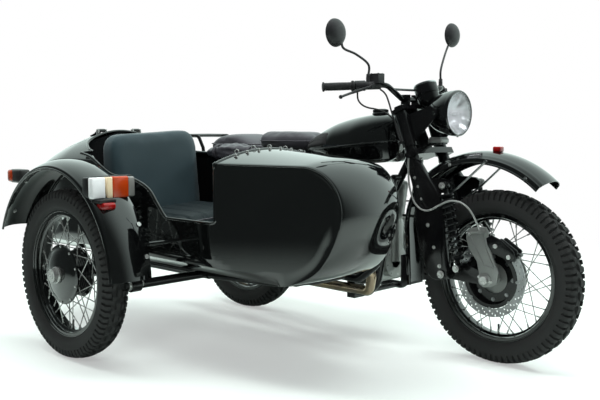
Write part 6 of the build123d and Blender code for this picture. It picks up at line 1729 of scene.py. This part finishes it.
def build_engine():
    e = Shape()
    # front cover of the crankcase with its ring of bolts and ribs
    e.lathe([(0, 37), (30, 37), (36, 34), (60, 33), (66, 30), (72, 24),
            (72, 20)], (925, 0, 345), (1, 0, 0), 56, closed=False)
    for k in range(8):
        a = 2 * np.pi * k / 8 + 0.2
        e.bolt((957, 60 * math.cos(a), 345 + 60 * math.sin(a)), (1, 0, 0), 4.5, 4, mark=1)
    for k in range(9):
        z = 262 + 8 * k
        e.box((650 + 4 * k, -98.8, z), (890 - 4 * k, -98, z + 3), edge=0.35)
        e.box((650 + 4 * k, 98, z), (890 - 4 * k, 98.8, z + 3), edge=0.35)
    for sgn in (-1, 1):
        for x, z in ((640, 505), (640, 300), (900, 300), (896, 508), (735, 522), (850, 522), (700, 262), (850, 262)):
            e.bolt((x, sgn * 98, z), (0, sgn, 0), 5.5, 4, mark=1)
        e.lathe([(0, 0), (40, 0), (40, 4), (34, 7), (0, 8)], (540, sgn * 80, 372), (0, sgn, 0), 44, closed=False)
        for k in range(6):
            a = 2 * np.pi * k / 6
            e.bolt((540 + 33 * math.cos(a), sgn * 85, 372 + 33 * math.sin(a)), (0, sgn, 0), 4, 3, mark=1)
    # generator housing in front and the tall cover above it
    e.lathe([(44.5, 150), (45, 152), (40, 163), (30, 166), (0, 167)], (948, 0, 536), (0.08, 0, 1), 48, closed=False)
    for h in (24, 62, 100, 138):
        r = 42 + (h - 12) * 8 / 138
        e.lathe([(r, h - 2), (r + 1.8, h - 1.5), (r + 1.8, h + 1.5), (r, h + 2)], (948, 0, 536), (0.08, 0, 1), 48)
    e.make("crankcase_fittings", [cast(), zinc()], "chassis", (), "alloy", angle=40)
    dressed_copy("engine_case", "crankcase", cast(), "alloy", edge=3.0, angle=40)
    c = Shape()
    sgn = -1
    hx = ENGINE_X
    # rocker cover: rounded lid with three ribs, its flange and four bolts
    a = np.linspace(0, 2 * np.pi, 72, endpoint=False)
    ex = 0.5
    cx, sx = np.sign(np.cos(a)) * np.abs(np.cos(a)) ** ex, np.sign(np.sin(a)) * np.abs(np.sin(a)) ** ex
    rows = []
    for y, k in ((303, 0.98), (303, 1.06), (308, 1.06), (309, 1.0), (326, 0.99),
                 (337, 0.93), (342, 0.84), (344.4, 0.6), (345, 0.3)):
        rows.append(np.stack([hx + 63 * k * cx, np.full(72, -float(y)), ENGINE_Z + 57 * k * sx], -1))
    c.capped(np.array(rows))
    for z in (-26, 0, 26):
        c.box((hx - 44, -347.5, ENGINE_Z + z - 3), (hx + 44, -342, ENGINE_Z + z + 3), edge=2)
    for q in ((-56, -50), (56, -50), (-56, 50), (56, 50)):
        c.bolt((hx + q[0], -306, ENGINE_Z + q[1]), (0, -1, 0), 5, 5, mark=1)
    # head fins, plug and its cap, pushrod tubes
    for k in range(6):
        y = 254 + 8 * k
        rows = []
        for t in (0, 2.4):
            rows.append(np.stack([hx + 90 * cx, np.full(72, -(y + t)), ENGINE_Z + 84 * sx], -1))
        c.capped(np.array(rows))
    c.rod((hx + 52, -286, ENGINE_Z + 60), (hx + 70, -290, ENGINE_Z + 104), 9, 6, mark=1, edge=1)
    c.rod((hx + 66, -289, ENGINE_Z + 94), (hx + 80, -292, ENGINE_Z + 128), 10, 18, mark=2, edge=2)
    c.tube(curve([(hx +
    80, -
    292, ENGINE_Z +
    126), (hx +
    84, -
    280, ENGINE_Z +
    150), (hx +
    66, -
    220, ENGINE_Z +
    168), (hx +
    50, -
    120, ENGINE_Z +
    160), (hx +
    44, -
    60, ENGINE_Z +
     150)], 40), 3.6, 10, mark=2)
    for x in (-28, 28):
        c.rod((hx + x, -100, ENGINE_Z - 68), (hx + x, -252, ENGINE_Z - 66), 9, 18, mark=3, edge=1)
    c.mirrored()
    c.make("cylinder_heads", [cast(), zinc(), rubber(), chrome()], "chassis", (), "alloy", angle=35)
    dressed_copy("cylinders", "finned_barrels", cast(), "alloy", edge=0.5, angle=35)
    # carburettors: bowls, caps, clips on the hoses
    k = Shape()
    x1 = ENGINE_X - 82.3
    k.lathe([(0, 0), (22, 0), (27, 4), (27, 34), (24, 38), (0, 38)],
            (x1 - 62, -270, ENGINE_Z - 52), (0, 0, 1), 36, closed=False)
    k.lathe([(24.8, 0), (29, 2), (29, 10), (24, 14), (10, 18), (0, 18)],
            (x1 - 62, -270, ENGINE_Z + 78), (0, 0, 1), 36, closed=False)
    for t in (4, 104, 122):
        p = np.array([x1 - t, -276 + t * 0.108, ENGINE_Z + 10 + t * 0.123])
        k.lathe([(22.4, -5), (24.6, -4), (24.6, 4), (22.4, 5)], p, (-1, 0.108, 0.123), 36, mark=1)
    k.mirrored()
    k.make("carburettor_parts", [cast(), zinc()], "chassis", (), "alloy", angle=35)
    dressed_copy("induction", "intake_tubes", rubber(), "alloy", edge=0.8, angle=40)
    dressed_copy("exhausts", "exhaust_pipes", hot_steel(), "exhaust_steel", edge=1.0, angle=38)
    x = Shape()
    x.lathe([(20.5, -2), (33, -2), (34, 0), (34, 10), (32, 12), (20.5, 12)], (873.5, -280, 410), (1, 0, 0), 36)
    for sgn in (-1, 1):
        x.bolt((873.5 + 12, -280 + sgn * 26, 410), (1, 0, 0), 4.5, 5)
    for t in (0.0, 0.5, 1.0):
        p = np.array([438 - 40 - 560 * t, -212, 244 + 3 + 20 * t])
        inner = 42.5 if t else 37.5
        x.lathe([(inner, -6), (44, -5), (44, 5), (inner, 6)], p, (-695, 0, 24), 44)
    x.lathe([(20.6, -9), (24, -8), (24, 8), (20.6, 9)], (452, -212, 244), (1, 0, 0), 32)
    x.mirrored()
    x.make("exhaust_clamps", [polished()], "chassis", (), "exhaust_steel", angle=35)
    dressed_copy("shaft_drive", "drive_shaft_and_box", cast(), "alloy", edge=1.5, angle=38)
    dressed_copy("side_boxes", "side_boxes_dressed", paint_black(), "paint_black", edge=7.0, angle=40)


# ---------------------------------------------------------------- fork, controls
def build_fork():
    dressed_copy("fork_yokes", "fork_yokes_dressed", frame_black(), "frame_black", edge=2.0, angle=38)
    dressed_copy("fork_legs", "fork_legs_dressed", frame_black(), "frame_black", edge=2.0, angle=38)
    dressed_copy("leading_links", "leading_links_dressed", frame_black(), "frame_black", edge=2.0, angle=38)
    dressed_copy("fork_shrouds", "fork_shrouds_dressed", frame_black(), "frame_black", edge=1.2, angle=38)
    dressed_copy("front_axle", "front_axle_dressed", zinc(), "steel", edge=1.2, angle=38)
    dressed_copy("mud_flap", "mud_flap_dressed", rubber(), "rubber", edge=1.5, angle=38)
    s = Shape()
    for sgn in (-1, 1):
        for x, y, z, r in ((PIVOT[0], 138, PIVOT[2], 11), (1295, 144.5, 700, 10), (1365, 144.5, 378, 10)):
            s.bolt((x, sgn * y, z), (0, sgn, 0), r, 8)
        for z in (640, 690):
            s.bolt((leg_x(z) + 2, sgn * 127.5, z), (0, sgn, 0), 6.5, 5)
        top = steer(985, 30, sgn * 106)
        ax = unit(np.array([-math.sin(RAKE), 0, math.cos(RAKE)]))
        s.lathe([(0, 8), (22, 8), (22, 14), (18, 18), (0, 19)], top, ax, 28, closed=False)
    s.lathe([(0, 8), (20, 8), (20, 16), (15, 20), (0, 21)], steer(985), unit(
        np.array([-math.sin(RAKE), 0, math.cos(RAKE)])), 6, closed=False)
    s.make("fork_bolts", [zinc()], "steering", (), "steel", angle=35)
    # cast bracket of the brake on the axle, a web of ribs on its face, and the carrier of the caliper
    c = Shape()
    plate(c, [(1386, 500), (1392, 528), (1412, 540), (1440, 546), (1474, 548), (1486, 530), (1482, 500), (1500, 452), (1520, 408), (1534, 380), (1526, 334), (1500, 316),
              (1474, 316), (1452, 336), (1446, 372), (1436, 412), (1400, 456)], -109.0, -100.4, 3.0)
    for q in (((1404, 520), (1452, 528)), ((1408, 505), (1470, 400)), ((1462, 520),
              (1474, 470)), ((1474, 470), (1514, 392)), ((1470, 400), (1514, 392))):
        a, b = q
        c.rod((a[0], -109.5, a[1]), (b[0], -109.5, b[1]), 3.6, 10)
    c.lathe([(10.5, 0), (28, 0), (28, 12), (25, 14), (10.5, 14)], (1475, -100.5, 343), (0, -1, 0), 40)
    c.rod((1465.3, -105, 530.4), (1465.3, -139, 530.4), 8.5, 20, edge=1.5)
    for q in ((1402, 516), (1500, 340), (1452, 352)):
        c.bolt((q[0], -109, q[1]), (0, -1, 0), 6, 5, mark=1)
    plate(c, [(1478, 506), (1500, 520), (1540, 506), (1596, 466), (1604, 440),
          (1586, 426), (1540, 440), (1504, 452), (1484, 480)], -112.0, -103.0, 3.0, mark=2)
    for q in (-34, 34):
        a = math.radians(58)
        x, z = 1475 + 139.5 * math.cos(a) - q * math.sin(a), 343 + 139.5 * math.sin(a) + q * math.cos(a)
        c.rod((x, -90, z), (x, -118, z), 9, 20, mark=1, edge=1.5)
    c.make("brake_bracket", [cast(), zinc(), frame_black()], "steering", ["brake_caliper"], "alloy", angle=40)
    a = math.radians(58)
    turn = np.array([[math.cos(a), 0, math.sin(a)], [0, 1, 0], [-math.sin(a), 0, math.cos(a)]])
    at = np.array([1475 + 139.5 * math.cos(a), -67.5, 343 + 139.5 * math.sin(a)])
    c = Shape()
    c.box((-30, -25.6, -45), (30, -7, 45), edge=9, turn=turn, at=at)
    c.box((-30, 7, -45), (30, 25.6, 45), edge=9, turn=turn, at=at)
    c.box((13, -24, -36), (30.5, 24, 36), edge=6, turn=turn, at=at)
    for q in (-20, 20):
        p = at + turn[2] * q + np.array([0, -25, 0])
        c.lathe([(0, 0), (16, 0), (16, 2), (13, 3.5), (0, 3.5)], p, (0, -1, 0), 32, closed=False)
    c.make("caliper_body", [frame_black()], "steering", (), "frame_black", angle=40)
    # pressed side members of the fork: box sections about the leg's line, widest at half height
    f = Shape()
    front = curve(np.array([(1108, 800), (1160, 795), (1205, 742), (1262, 672), (1290, 610),
                  (1300, 520), (1306, 430), (1312, 370), (1306, 330), (1276, 318)], float), 60)
    back = curve(np.array([(1276, 318), (1240, 322), (1212, 352), (1190, 420), (1166, 480),
                 (1152, 560), (1148, 640), (1128, 720), (1102, 780), (1108, 800)], float), 60)
    ring = np.vstack([front, back[1:-1]])
    plate(f, ring, -130.0, -101.0, 7.0)
    mid = ring.mean(0)
    plate(f, mid + (ring - mid) * (0.80, 0.88), -133.0, -128.0, 2.5)
    for zq, r in ((725, 4.5), (537, 6), (450, 5)):
        f.bolt((leg_x(zq), -133.0, zq), (0, -1, 0), r, 5, mark=1)
    f.bolt((1281, -133.0, 377), (0, -1, 0), 6, 6, mark=1)
    f.mirrored()
    f.make("fork_side_members", [frame_black(), zinc()], "steering", (), "frame_black", angle=40)
    # finned box below the lamp on its bracket
    k = Shape()
    k.box((1172, -72, 866), (1240, -18, 884), edge=4)
    for q in range(6):
        k.box((1178 + 10.4 * q, -70, 883), (1182 + 10.4 * q, -20, 889), edge=1.2)
    plate(k, [(1120, 838), (1176, 866), (1240, 866), (1240, 860), (1176, 856), (1120, 828)], -60.0, -30.0, 1.5, mark=1)
    k.make("lamp_control_box", [cast(), frame_black()], "steering", (), "alloy", angle=35)


def plate(s, outline, y0, y1, edge, mark=0):
    """Flat plate with rounded rims: its outline in x and z is drawn in at both faces by a
    quarter circle."""
    o = np.asarray(outline, float)
    t = np.roll(o, -1, 0) - np.roll(o, 1, 0)
    n = unit(np.column_stack([t[:, 1], -t[:, 0]]))
    area = np.sum(o[:, 0] * np.roll(o[:, 1], -1) - np.roll(o[:, 0], -1) * o[:, 1])
    n = n if area > 0 else -n
    e = min(edge, abs(y1 - y0) * 0.45)
    lo, hi = min(y0, y1), max(y0, y1)
    rows = []
    for y, d in ((lo, e), (lo + 0.08 * e, 0.6 * e), (lo + 0.4 * e, 0.2 * e), (lo + e, 0),
                 (hi - e, 0), (hi - 0.4 * e, 0.2 * e), (hi - 0.08 * e, 0.6 * e), (hi, e)):
        q = o - n * d
        rows.append(np.column_stack([q[:, 0], np.full(len(q), y), q[:, 1]]))
    s.grid(np.array(rows), around=True, mark=mark)
    k = np.arange(len(o))
    s.add(rows[0], [k[None]], mark)
    s.add(rows[-1], [k[None]], mark)
    return s


def grip_line(d, sgn):
    a, b = np.array([897.0, 400, 1090]), np.array([1535 - 60 + 60 - 985 * math.tan(RAKE) - 3 + 20, 190, 1100.0])
    p = a + unit(b - a) * d
    return np.array([p[0], sgn * p[1], p[2]])


def build_controls():
    dressed_copy("handlebar", "handlebar_dressed", frame_black(), "chrome", edge=0.0, angle=50)
    for side in ("right", "left"):
        dressed_copy(
    "hand_control_" +
    side,
    "hand_control_%s_dressed" %
    side,
    moulded(),
    "control_black",
    edge=1.6,
     angle=40)
    g = Shape()
    for sgn in (-1, 1):
        a, b = grip_line(-6, sgn), grip_line(125, sgn)
        d = unit(b - a)
        t = np.linspace(9, 118, 110)
        r = 15.2 + 0.7 * (np.sin(t * 2 * np.pi / 4.6) > 0) + 0.6 * np.sin((t - 9) / 109 * np.pi)
        prof = [(0, 0), (14, 0), (18.5, 1.5), (19.5, 3.5), (19.5, 6.5), (16, 8)] + \
                 list(zip(r, t)) + [(20, 120), (22, 123), (22, 128), (19, 131), (11.4, 131)]
        g.lathe(prof, a, d, 40, closed=False)
    g.make("ribbed_grips", [rubber()], "steering", ["grips"], "rubber", angle=30)
    m = Shape()
    for sgn, mx, mz in ((-1, 978.0, 1297.0), (1, 948.0, 1352.0)):
        top = np.array([mx, sgn * 420.0, mz])
        t = np.linspace(0, np.pi / 2, 16)
        cup = np.column_stack([55.0 * np.sin(t) ** 0.85, 26 - 26 * (1 - np.cos(t) ** 1.3)])
        prof = np.vstack([cup, [(55.5, -3), (54.5, -4.5), (52.5, -4), (52.3, 0), (0, 0)]])
        m.lathe(prof, top, (1, 0, 0), 64, closed=False)
        base = grip_line(125 + 44 + 14, sgn)
        lo = np.array([base[0], base[1], base[2] + 34])
        knee = top + (4, -sgn * 40, -56)
        end = top + (12, -sgn * 22, -14)
        m.tube(curve([lo, lo + (0, 0, 50), (lo + (0, 0, 66) + knee) / 2, knee, end], 60), 4.8, 14)
        m.lathe([(0, 0), (8.5, 0), (8.5, 10), (6, 13), (0, 13)], lo, (0, 0, 1), 6, mark=0, closed=False)
        m.lathe([(0, -9), (9, -9), (9, 9), (0, 9)], end, unit(np.array([0, -sgn * 0.7, -0.7])), 20, closed=False)
    m.make("mirror_heads", [moulded()], "steering", ["mirrors"], "control_black", angle=40)
    gl = Shape()
    for sgn, mx, mz in ((-1, 978.0, 1297.0), (1, 948.0, 1352.0)):
        q = np.linspace(0, 1, 10)
        gl.lathe([(52.0 * k, -2.8 - 1.2 * (1 - k * k)) for k in q] + [(52.0, -0.4),
                 (0, -0.4)], (mx, sgn * 420.0, mz), (1, 0, 0), 64, closed=False)
    gl.make("mirror_faces", [mirror()], "steering", ["mirror_glass"], "mirror_silver", angle=40)
    # fluid reservoir lid and its screws
    base = grip_line(125 + 44 + 50, -1)
    k = Shape()
    k.box((base[0] - 25, base[1] - 20, base[2] + 41), (base[0] + 25, base[1] + 20, base[2] + 47), edge=3)
    for dx in (-18, 18):
        for dy in (-13, 13):
            k.lathe([(0, 0), (3.4, 0), (3.4, 1.6), (0, 2)], (base[0] + dx,
                    base[1] + dy, base[2] + 47), (0, 0, 1), 12, mark=1, closed=False)
    k.make("reservoir_lid", [moulded(), zinc()], "steering", (), "control_black", angle=35)


def flex(name, points, radius, material, body, replaces=()):
    """Held cable or hose: a smooth spline through given control points."""
    cu = bpy.data.curves.new(name, "CURVE")
    cu.dimensions = "3D"
    sp = cu.splines.new("NURBS")
    sp.points.add(len(points) - 1)
    pts = place(np.array(points, float))
    sp.points.foreach_set("co", np.column_stack([pts, np.ones(len(pts))]).ravel())
    sp.order_u = 3
    sp.use_endpoint_u = True
    cu.resolution_u = 12
    cu.bevel_depth = radius / 1000.0
    cu.bevel_resolution = 4
    cu.use_fill_caps = True
    cu.materials.append(material)
    obj = bpy.data.objects.new(name, cu)
    bpy.context.scene.collection.objects.link(obj)
    return dress(obj, body, replaces, "rubber")


BRAKE_HOSE = [(1128.9, -142.5, 803.7), (1131, -147, 738), (1145, -152, 672), (1178, -157, 612), (1235, -160, 592), (1290, -160, 622), (1345, -159, 648),
              (1402, -154, 640), (1444, -145, 596), (1462, -134, 540)]
THROTTLE_CABLE = [(971.4, -278, 1077), (964, -272, 1062), (952, -252, 1034), (962, -218, 1010),
                   (1000, -178, 1002), (1046, -156, 978), (1078, -148, 930), (1098, -146, 872)]
SECOND_CABLE = [(1032, -209.2, 1082.2), (1043.5, -190.5, 1070), (1054, -181, 1034),
                 (1062, -173, 994), (1074, -164, 950), (1086, -160, 905), (1098, -157, 872)]


def build_lines():
    flex("brake_hose", BRAKE_HOSE, 4.0, zinc(), "steering", ["fork_lines"])
    flex("throttle_cable", THROTTLE_CABLE, 3.5, rubber(), "steering")
    flex("switch_cable", SECOND_CABLE, 3.5, rubber(), "steering")


def build_frames():
    for node, mat, slot in (("cradle_frame", frame_black(), "frame_black"), ("sidecar_frame", frame_black(), "frame_black"), ("swing_arm", frame_black(), "frame_black"),
                            ("sidecar_swing_arm", frame_black(), "frame_black"), ("upper_struts",
                             frame_black(), "frame_black"), ("axles", zinc(), "steel"),
                            ("foot_controls", zinc(), "steel"), ("foot_pegs", rubber(), "rubber"), ("grab_rail", frame_black(), "chrome")):
        dressed_copy(node, node + "_dressed", mat, slot, edge=0.6 if node not in ("foot_pegs",) else 1.5, angle=40)


# ---------------------------------------------------------------- stage
def build_stage():
    scene = bpy.context.scene
    floor = Shape().add(np.array([(-16000, -16000, 0), (16000, -16000, 0),
                  (16000, 16000, 0), (-16000, 16000, 0)], float), [np.array([[0, 1, 2, 3]])], 0)
    mesh = bpy.data.meshes.new("floor")
    mesh.from_pydata(place(np.vstack(floor.points)).tolist(), [], floor.faces)
    obj = bpy.data.objects.new("floor", mesh)
    scene.collection.objects.link(obj)
    mesh.materials.append(stage_white())
    world = bpy.data.worlds.new("studio")
    scene.world = world
    world.use_nodes = True
    nt = world.node_tree
    nt.nodes.clear()
    out = nt.nodes.new("ShaderNodeOutputWorld")
    way = nt.nodes.new("ShaderNodeTexCoord")
    part = nt.nodes.new("ShaderNodeVectorMath")
    part.operation = "DOT_PRODUCT"
    part.inputs[1].default_value = (-0.22, 0.93, 0.30)
    nt.links.new(way.outputs["Generated"], part.inputs[0])
    ramp = nt.nodes.new("ShaderNodeMapRange")
    ramp.interpolation_type = "SMOOTHSTEP"
    for key, v in (("From Min", -0.30), ("From Max", 0.70), ("To Min", 0.07), ("To Max", 1.15)):
        ramp.inputs[key].default_value = v
    nt.links.new(part.outputs["Value"], ramp.inputs["Value"])
    path, top, mix = nt.nodes.new("ShaderNodeLightPath"), nt.nodes.new(
        "ShaderNodeMath"), nt.nodes.new("ShaderNodeMixShader")
    top.operation = "MAXIMUM"
    nt.links.new(path.outputs["Is Camera Ray"], top.inputs[0])
    nt.links.new(path.outputs["Is Transmission Ray"], top.inputs[1])
    back, white = nt.nodes.new("ShaderNodeBackground"), nt.nodes.new("ShaderNodeBackground")
    back.inputs["Color"].default_value = (0.84, 1.0, 0.95, 1)
    white.inputs["Color"].default_value = (1, 1, 1, 1)
    nt.links.new(ramp.outputs["Result"], back.inputs["Strength"])
    for k, link in enumerate((top.outputs[0], back.outputs[0], white.outputs[0])):
        nt.links.new(link, mix.inputs[k])
    nt.links.new(mix.outputs[0], out.inputs[0])
    for name, loc, size, power, aim in (("overhead", (0.2, -0.6, 4.6), (5.2, 1.3), 230, (0, -0.2, 0.4)), ("left_strip", (0.6, 3.4, 3.4), (4.6, 0.9), 130, (0.1, 0, 0.6)),
                                        ("camera_side", (3.4, -4.2, 3.6), (1.8, 1.2), 95, (0.1, -0.2, 0.5)), ("rear", (-4.2, -2.0, 3.0), (2.4, 1.0), 70, (0, -0.3, 0.5))):
        lamp = bpy.data.lights.new(name, "AREA")
        lamp.shape = "RECTANGLE"
        lamp.size, lamp.size_y = size
        lamp.energy = power * LOOK.light
        o = bpy.data.objects.new(name, lamp)
        o.visible_glossy = False
        o.location = loc
        o.rotation_euler = (Vector(aim) - Vector(loc)).to_track_quat("-Z", "Y").to_euler()
        scene.collection.objects.link(o)
    cam = bpy.data.cameras.new("camera")
    cam.lens, cam.sensor_width = LOOK.lens, 36.0
    cam.clip_end = 60
    o = bpy.data.objects.new("camera", cam)
    o.location = (2.5835, -2.4825, 0.941)
    yaw, pitch = 0.775, 0.091
    aim = Vector((-math.sin(yaw) * math.cos(pitch), math.cos(yaw) * math.cos(pitch), -math.sin(pitch)))
    o.rotation_euler = aim.to_track_quat("-Z", "Y").to_euler()
    scene.collection.objects.link(o)
    scene.camera = o
    scene.view_settings.view_transform = "Standard"


def stage_white():
    """Pale matt floor that the camera sees as near white and that keeps the object's shadow."""
    mat = bpy.data.materials.new("pale_floor")
    mat.use_nodes = True
    nt = mat.node_tree
    b = nt.nodes["Principled BSDF"]
    b.inputs["Base Color"].default_value = (0.50, 0.56, 0.53, 1)
    b.inputs["Roughness"].default_value = 0.9
    b.inputs["Specular IOR Level"].default_value = 0.1
    path, top, glow = nt.nodes.new("ShaderNodeLightPath"), nt.nodes.new(
        "ShaderNodeMath"), nt.nodes.new("ShaderNodeMath")
    top.operation, glow.operation = "MAXIMUM", "MULTIPLY"
    nt.links.new(path.outputs["Is Camera Ray"], top.inputs[0])
    nt.links.new(path.outputs["Is Transmission Ray"], top.inputs[1])
    nt.links.new(top.outputs[0], glow.inputs[0])
    glow.inputs[1].default_value = 0.40
    far, fade, clear_, mix = nt.nodes.new("ShaderNodeTexCoord"), nt.nodes.new(
        "ShaderNodeMapRange"), nt.nodes.new("ShaderNodeBsdfTransparent"), nt.nodes.new("ShaderNodeMixShader")
    size = nt.nodes.new("ShaderNodeVectorMath")
    size.operation = "LENGTH"
    nt.links.new(far.outputs["Object"], size.inputs[0])
    nt.links.new(size.outputs["Value"], fade.inputs["Value"])
    fade.interpolation_type = "SMOOTHSTEP"
    for key, v in (("From Min", 1.7), ("From Max", 4.2), ("To Min", 0.0), ("To Max", 1.0)):
        fade.inputs[key].default_value = v
    nt.links.new(fade.outputs["Result"], mix.inputs[0])
    nt.links.new(b.outputs[0], mix.inputs[1])
    nt.links.new(clear_.outputs[0], mix.inputs[2])
    nt.links.new(mix.outputs[0], nt.nodes["Material Output"].inputs[0])
    b.inputs["Emission Color"].default_value = (1, 1, 1, 1)
    nt.links.new(glow.outputs[0], b.inputs["Emission Strength"])
    return mat


# ---------------------------------------------------------------- properties, operators, panel
class SidecarLook(bpy.types.PropertyGroup):
    """Sizes and colours of the outfit that a user would change."""
    paint: FloatVectorProperty(
    name="Paint",
    description="Colour of the gloss paint on tank, mudguards and sidecar",
    subtype="COLOR",
    size=3,
    default=(
        0.0018,
        0.002,
        0.0023),
        min=0,
         max=1)
    tyre: FloatVectorProperty(
    name="Tyres",
    description="Colour of the tyres",
    subtype="COLOR",
    size=3,
    default=(
        0.022,
        0.023,
        0.026),
        min=0,
         max=1)
    alloy: FloatVectorProperty(name="Castings", description="Colour of the cast engine parts",
                               subtype="COLOR", size=3, default=(0.42, 0.43, 0.42), min=0, max=1)
    cushion: FloatVectorProperty(
    name="Cushions",
    description="Colour of the sidecar's seat cover",
    subtype="COLOR",
    size=3,
    default=(
        0.020,
        0.037,
        0.044),
        min=0,
         max=1)
    tread: IntProperty(name="Tread blocks", description="Blocks round each tyre", default=40, min=24, max=80)
    light: FloatProperty(
    name="Studio light",
    description="Strength of the studio lamps",
    default=1.0,
    min=0.1,
     max=4.0)
    lens: FloatProperty(
    name="Lens",
    description="Focal length of the camera",
    default=49.79,
    min=20,
    max=120,
     unit="CAMERA")


class SIDECAR_OT_stage(bpy.types.Operator):
    """Pale floor, studio lamps and camera"""
    bl_idname = "sidecar.stage"
    bl_label = "Stage"

    def execute(self, context):
        build_stage()
        return {"FINISHED"}


class SIDECAR_OT_wheels(bpy.types.Operator):
    """Tyres, spoked wheels, hub covers and the brake disc"""
    bl_idname = "sidecar.wheels"
    bl_label = "Wheels"

    def execute(self, context):
        build_wheels()
        return {"FINISHED"}


class SIDECAR_OT_mudguards(bpy.types.Operator):
    """Three mudguards with their rolled edges and stays"""
    bl_idname = "sidecar.mudguards"
    bl_label = "Mudguards"

    def execute(self, context):
        build_mudguards()
        return {"FINISHED"}


class SIDECAR_OT_body(bpy.types.Operator):
    """Body shell, trunk lid, rolled edge and inside"""
    bl_idname = "sidecar.body"
    bl_label = "Sidecar body"

    def execute(self, context):
        build_body()
        return {"FINISHED"}


class SIDECAR_OT_tank(bpy.types.Operator):
    """Tank shell, filler cap and knee rubbers"""
    bl_idname = "sidecar.tank"
    bl_label = "Fuel tank"

    def execute(self, context):
        build_tank()
        return {"FINISHED"}


class SIDECAR_OT_frames(bpy.types.Operator):
    """Motorcycle frame, sidecar chassis, arms and small steel parts"""
    bl_idname = "sidecar.frames"
    bl_label = "Frames"

    def execute(self, context):
        build_frames()
        return {"FINISHED"}


class SIDECAR_OT_fork(bpy.types.Operator):
    """Yokes, legs, links, caliper and mud flap"""
    bl_idname = "sidecar.fork"
    bl_label = "Fork"

    def execute(self, context):
        build_fork()
        return {"FINISHED"}


class SIDECAR_OT_springs(bpy.types.Operator):
    """Coil springs and dampers"""
    bl_idname = "sidecar.springs"
    bl_label = "Springs"

    def execute(self, context):
        build_springs()
        return {"FINISHED"}


class SIDECAR_OT_engine(bpy.types.Operator):
    """Crankcase, barrels, carburettors, exhausts and shaft drive"""
    bl_idname = "sidecar.engine"
    bl_label = "Engine"

    def execute(self, context):
        build_engine()
        return {"FINISHED"}


class SIDECAR_OT_controls(bpy.types.Operator):
    """Handlebar, grips, levers and mirrors"""
    bl_idname = "sidecar.controls"
    bl_label = "Controls"

    def execute(self, context):
        build_controls()
        return {"FINISHED"}


class SIDECAR_OT_lines(bpy.types.Operator):
    """Brake hose and control cables"""
    bl_idname = "sidecar.lines"
    bl_label = "Cables"

    def execute(self, context):
        build_lines()
        return {"FINISHED"}


class SIDECAR_OT_headlamp(bpy.types.Operator):
    """Headlamp bowl, rim, reflector, bulb and glass"""
    bl_idname = "sidecar.headlamp"
    bl_label = "Headlamp"

    def execute(self, context):
        build_headlamp()
        return {"FINISHED"}


class SIDECAR_OT_instrument(bpy.types.Operator):
    """Instrument case, dial and glass"""
    bl_idname = "sidecar.instrument"
    bl_label = "Instrument"

    def execute(self, context):
        build_instrument()
        return {"FINISHED"}


class SIDECAR_OT_lamps(bpy.types.Operator):
    """Side lamps, tail lamp and reflector"""
    bl_idname = "sidecar.lamps"
    bl_label = "Lamps"

    def execute(self, context):
        build_lamps()
        return {"FINISHED"}


class SIDECAR_OT_cushions(bpy.types.Operator):
    """Padded seat and backrest of the sidecar"""
    bl_idname = "sidecar.cushions"
    bl_label = "Sidecar cushions"

    def execute(self, context):
        build_cushions()
        build_cover()
        return {"FINISHED"}


class SIDECAR_OT_saddles(bpy.types.Operator):
    """Rider's and pillion saddles"""
    bl_idname = "sidecar.saddles"
    bl_label = "Saddles"

    def execute(self, context):
        build_saddles()
        return {"FINISHED"}


STEPS = [
    SIDECAR_OT_stage,
    SIDECAR_OT_wheels,
    SIDECAR_OT_mudguards,
    SIDECAR_OT_body,
    SIDECAR_OT_tank,
    SIDECAR_OT_frames,
    SIDECAR_OT_fork,
    SIDECAR_OT_springs,
    SIDECAR_OT_engine,
    SIDECAR_OT_controls,
    SIDECAR_OT_lines,
    SIDECAR_OT_headlamp,
    SIDECAR_OT_instrument,
    SIDECAR_OT_lamps,
    SIDECAR_OT_cushions,
    SIDECAR_OT_saddles,
]


class SIDECAR_PT_panel(bpy.types.Panel):
    """Lists the pieces and their sizes in the 3D view's sidebar."""
    bl_idname = "SIDECAR_PT_panel"
    bl_label = "Sidecar motorcycle"
    bl_space_type = "VIEW_3D"
    bl_region_type = "UI"
    bl_category = "Sidecar"

    def draw(self, context):
        look = context.scene.sidecar_look
        for key in ("paint", "tyre", "alloy", "cushion", "tread", "light", "lens"):
            self.layout.prop(look, key)
        for step in STEPS:
            self.layout.operator(step.bl_idname)


def register():
    bpy.utils.register_class(SidecarLook)
    bpy.types.Scene.sidecar_look = PointerProperty(type=SidecarLook)
    for step in STEPS:
        bpy.utils.register_class(step)
    bpy.utils.register_class(SIDECAR_PT_panel)


def unregister():
    bpy.utils.unregister_class(SIDECAR_PT_panel)
    for step in reversed(STEPS):
        bpy.utils.unregister_class(step)
    del bpy.types.Scene.sidecar_look
    bpy.utils.unregister_class(SidecarLook)


LOOK = None


def main():
    """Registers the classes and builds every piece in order."""
    global LOOK
    register()
    LOOK = bpy.context.scene.sidecar_look
    for step in STEPS:
        getattr(bpy.ops.sidecar, step.bl_idname.split(".")[1])()


if __name__ == "__main__":
    main()
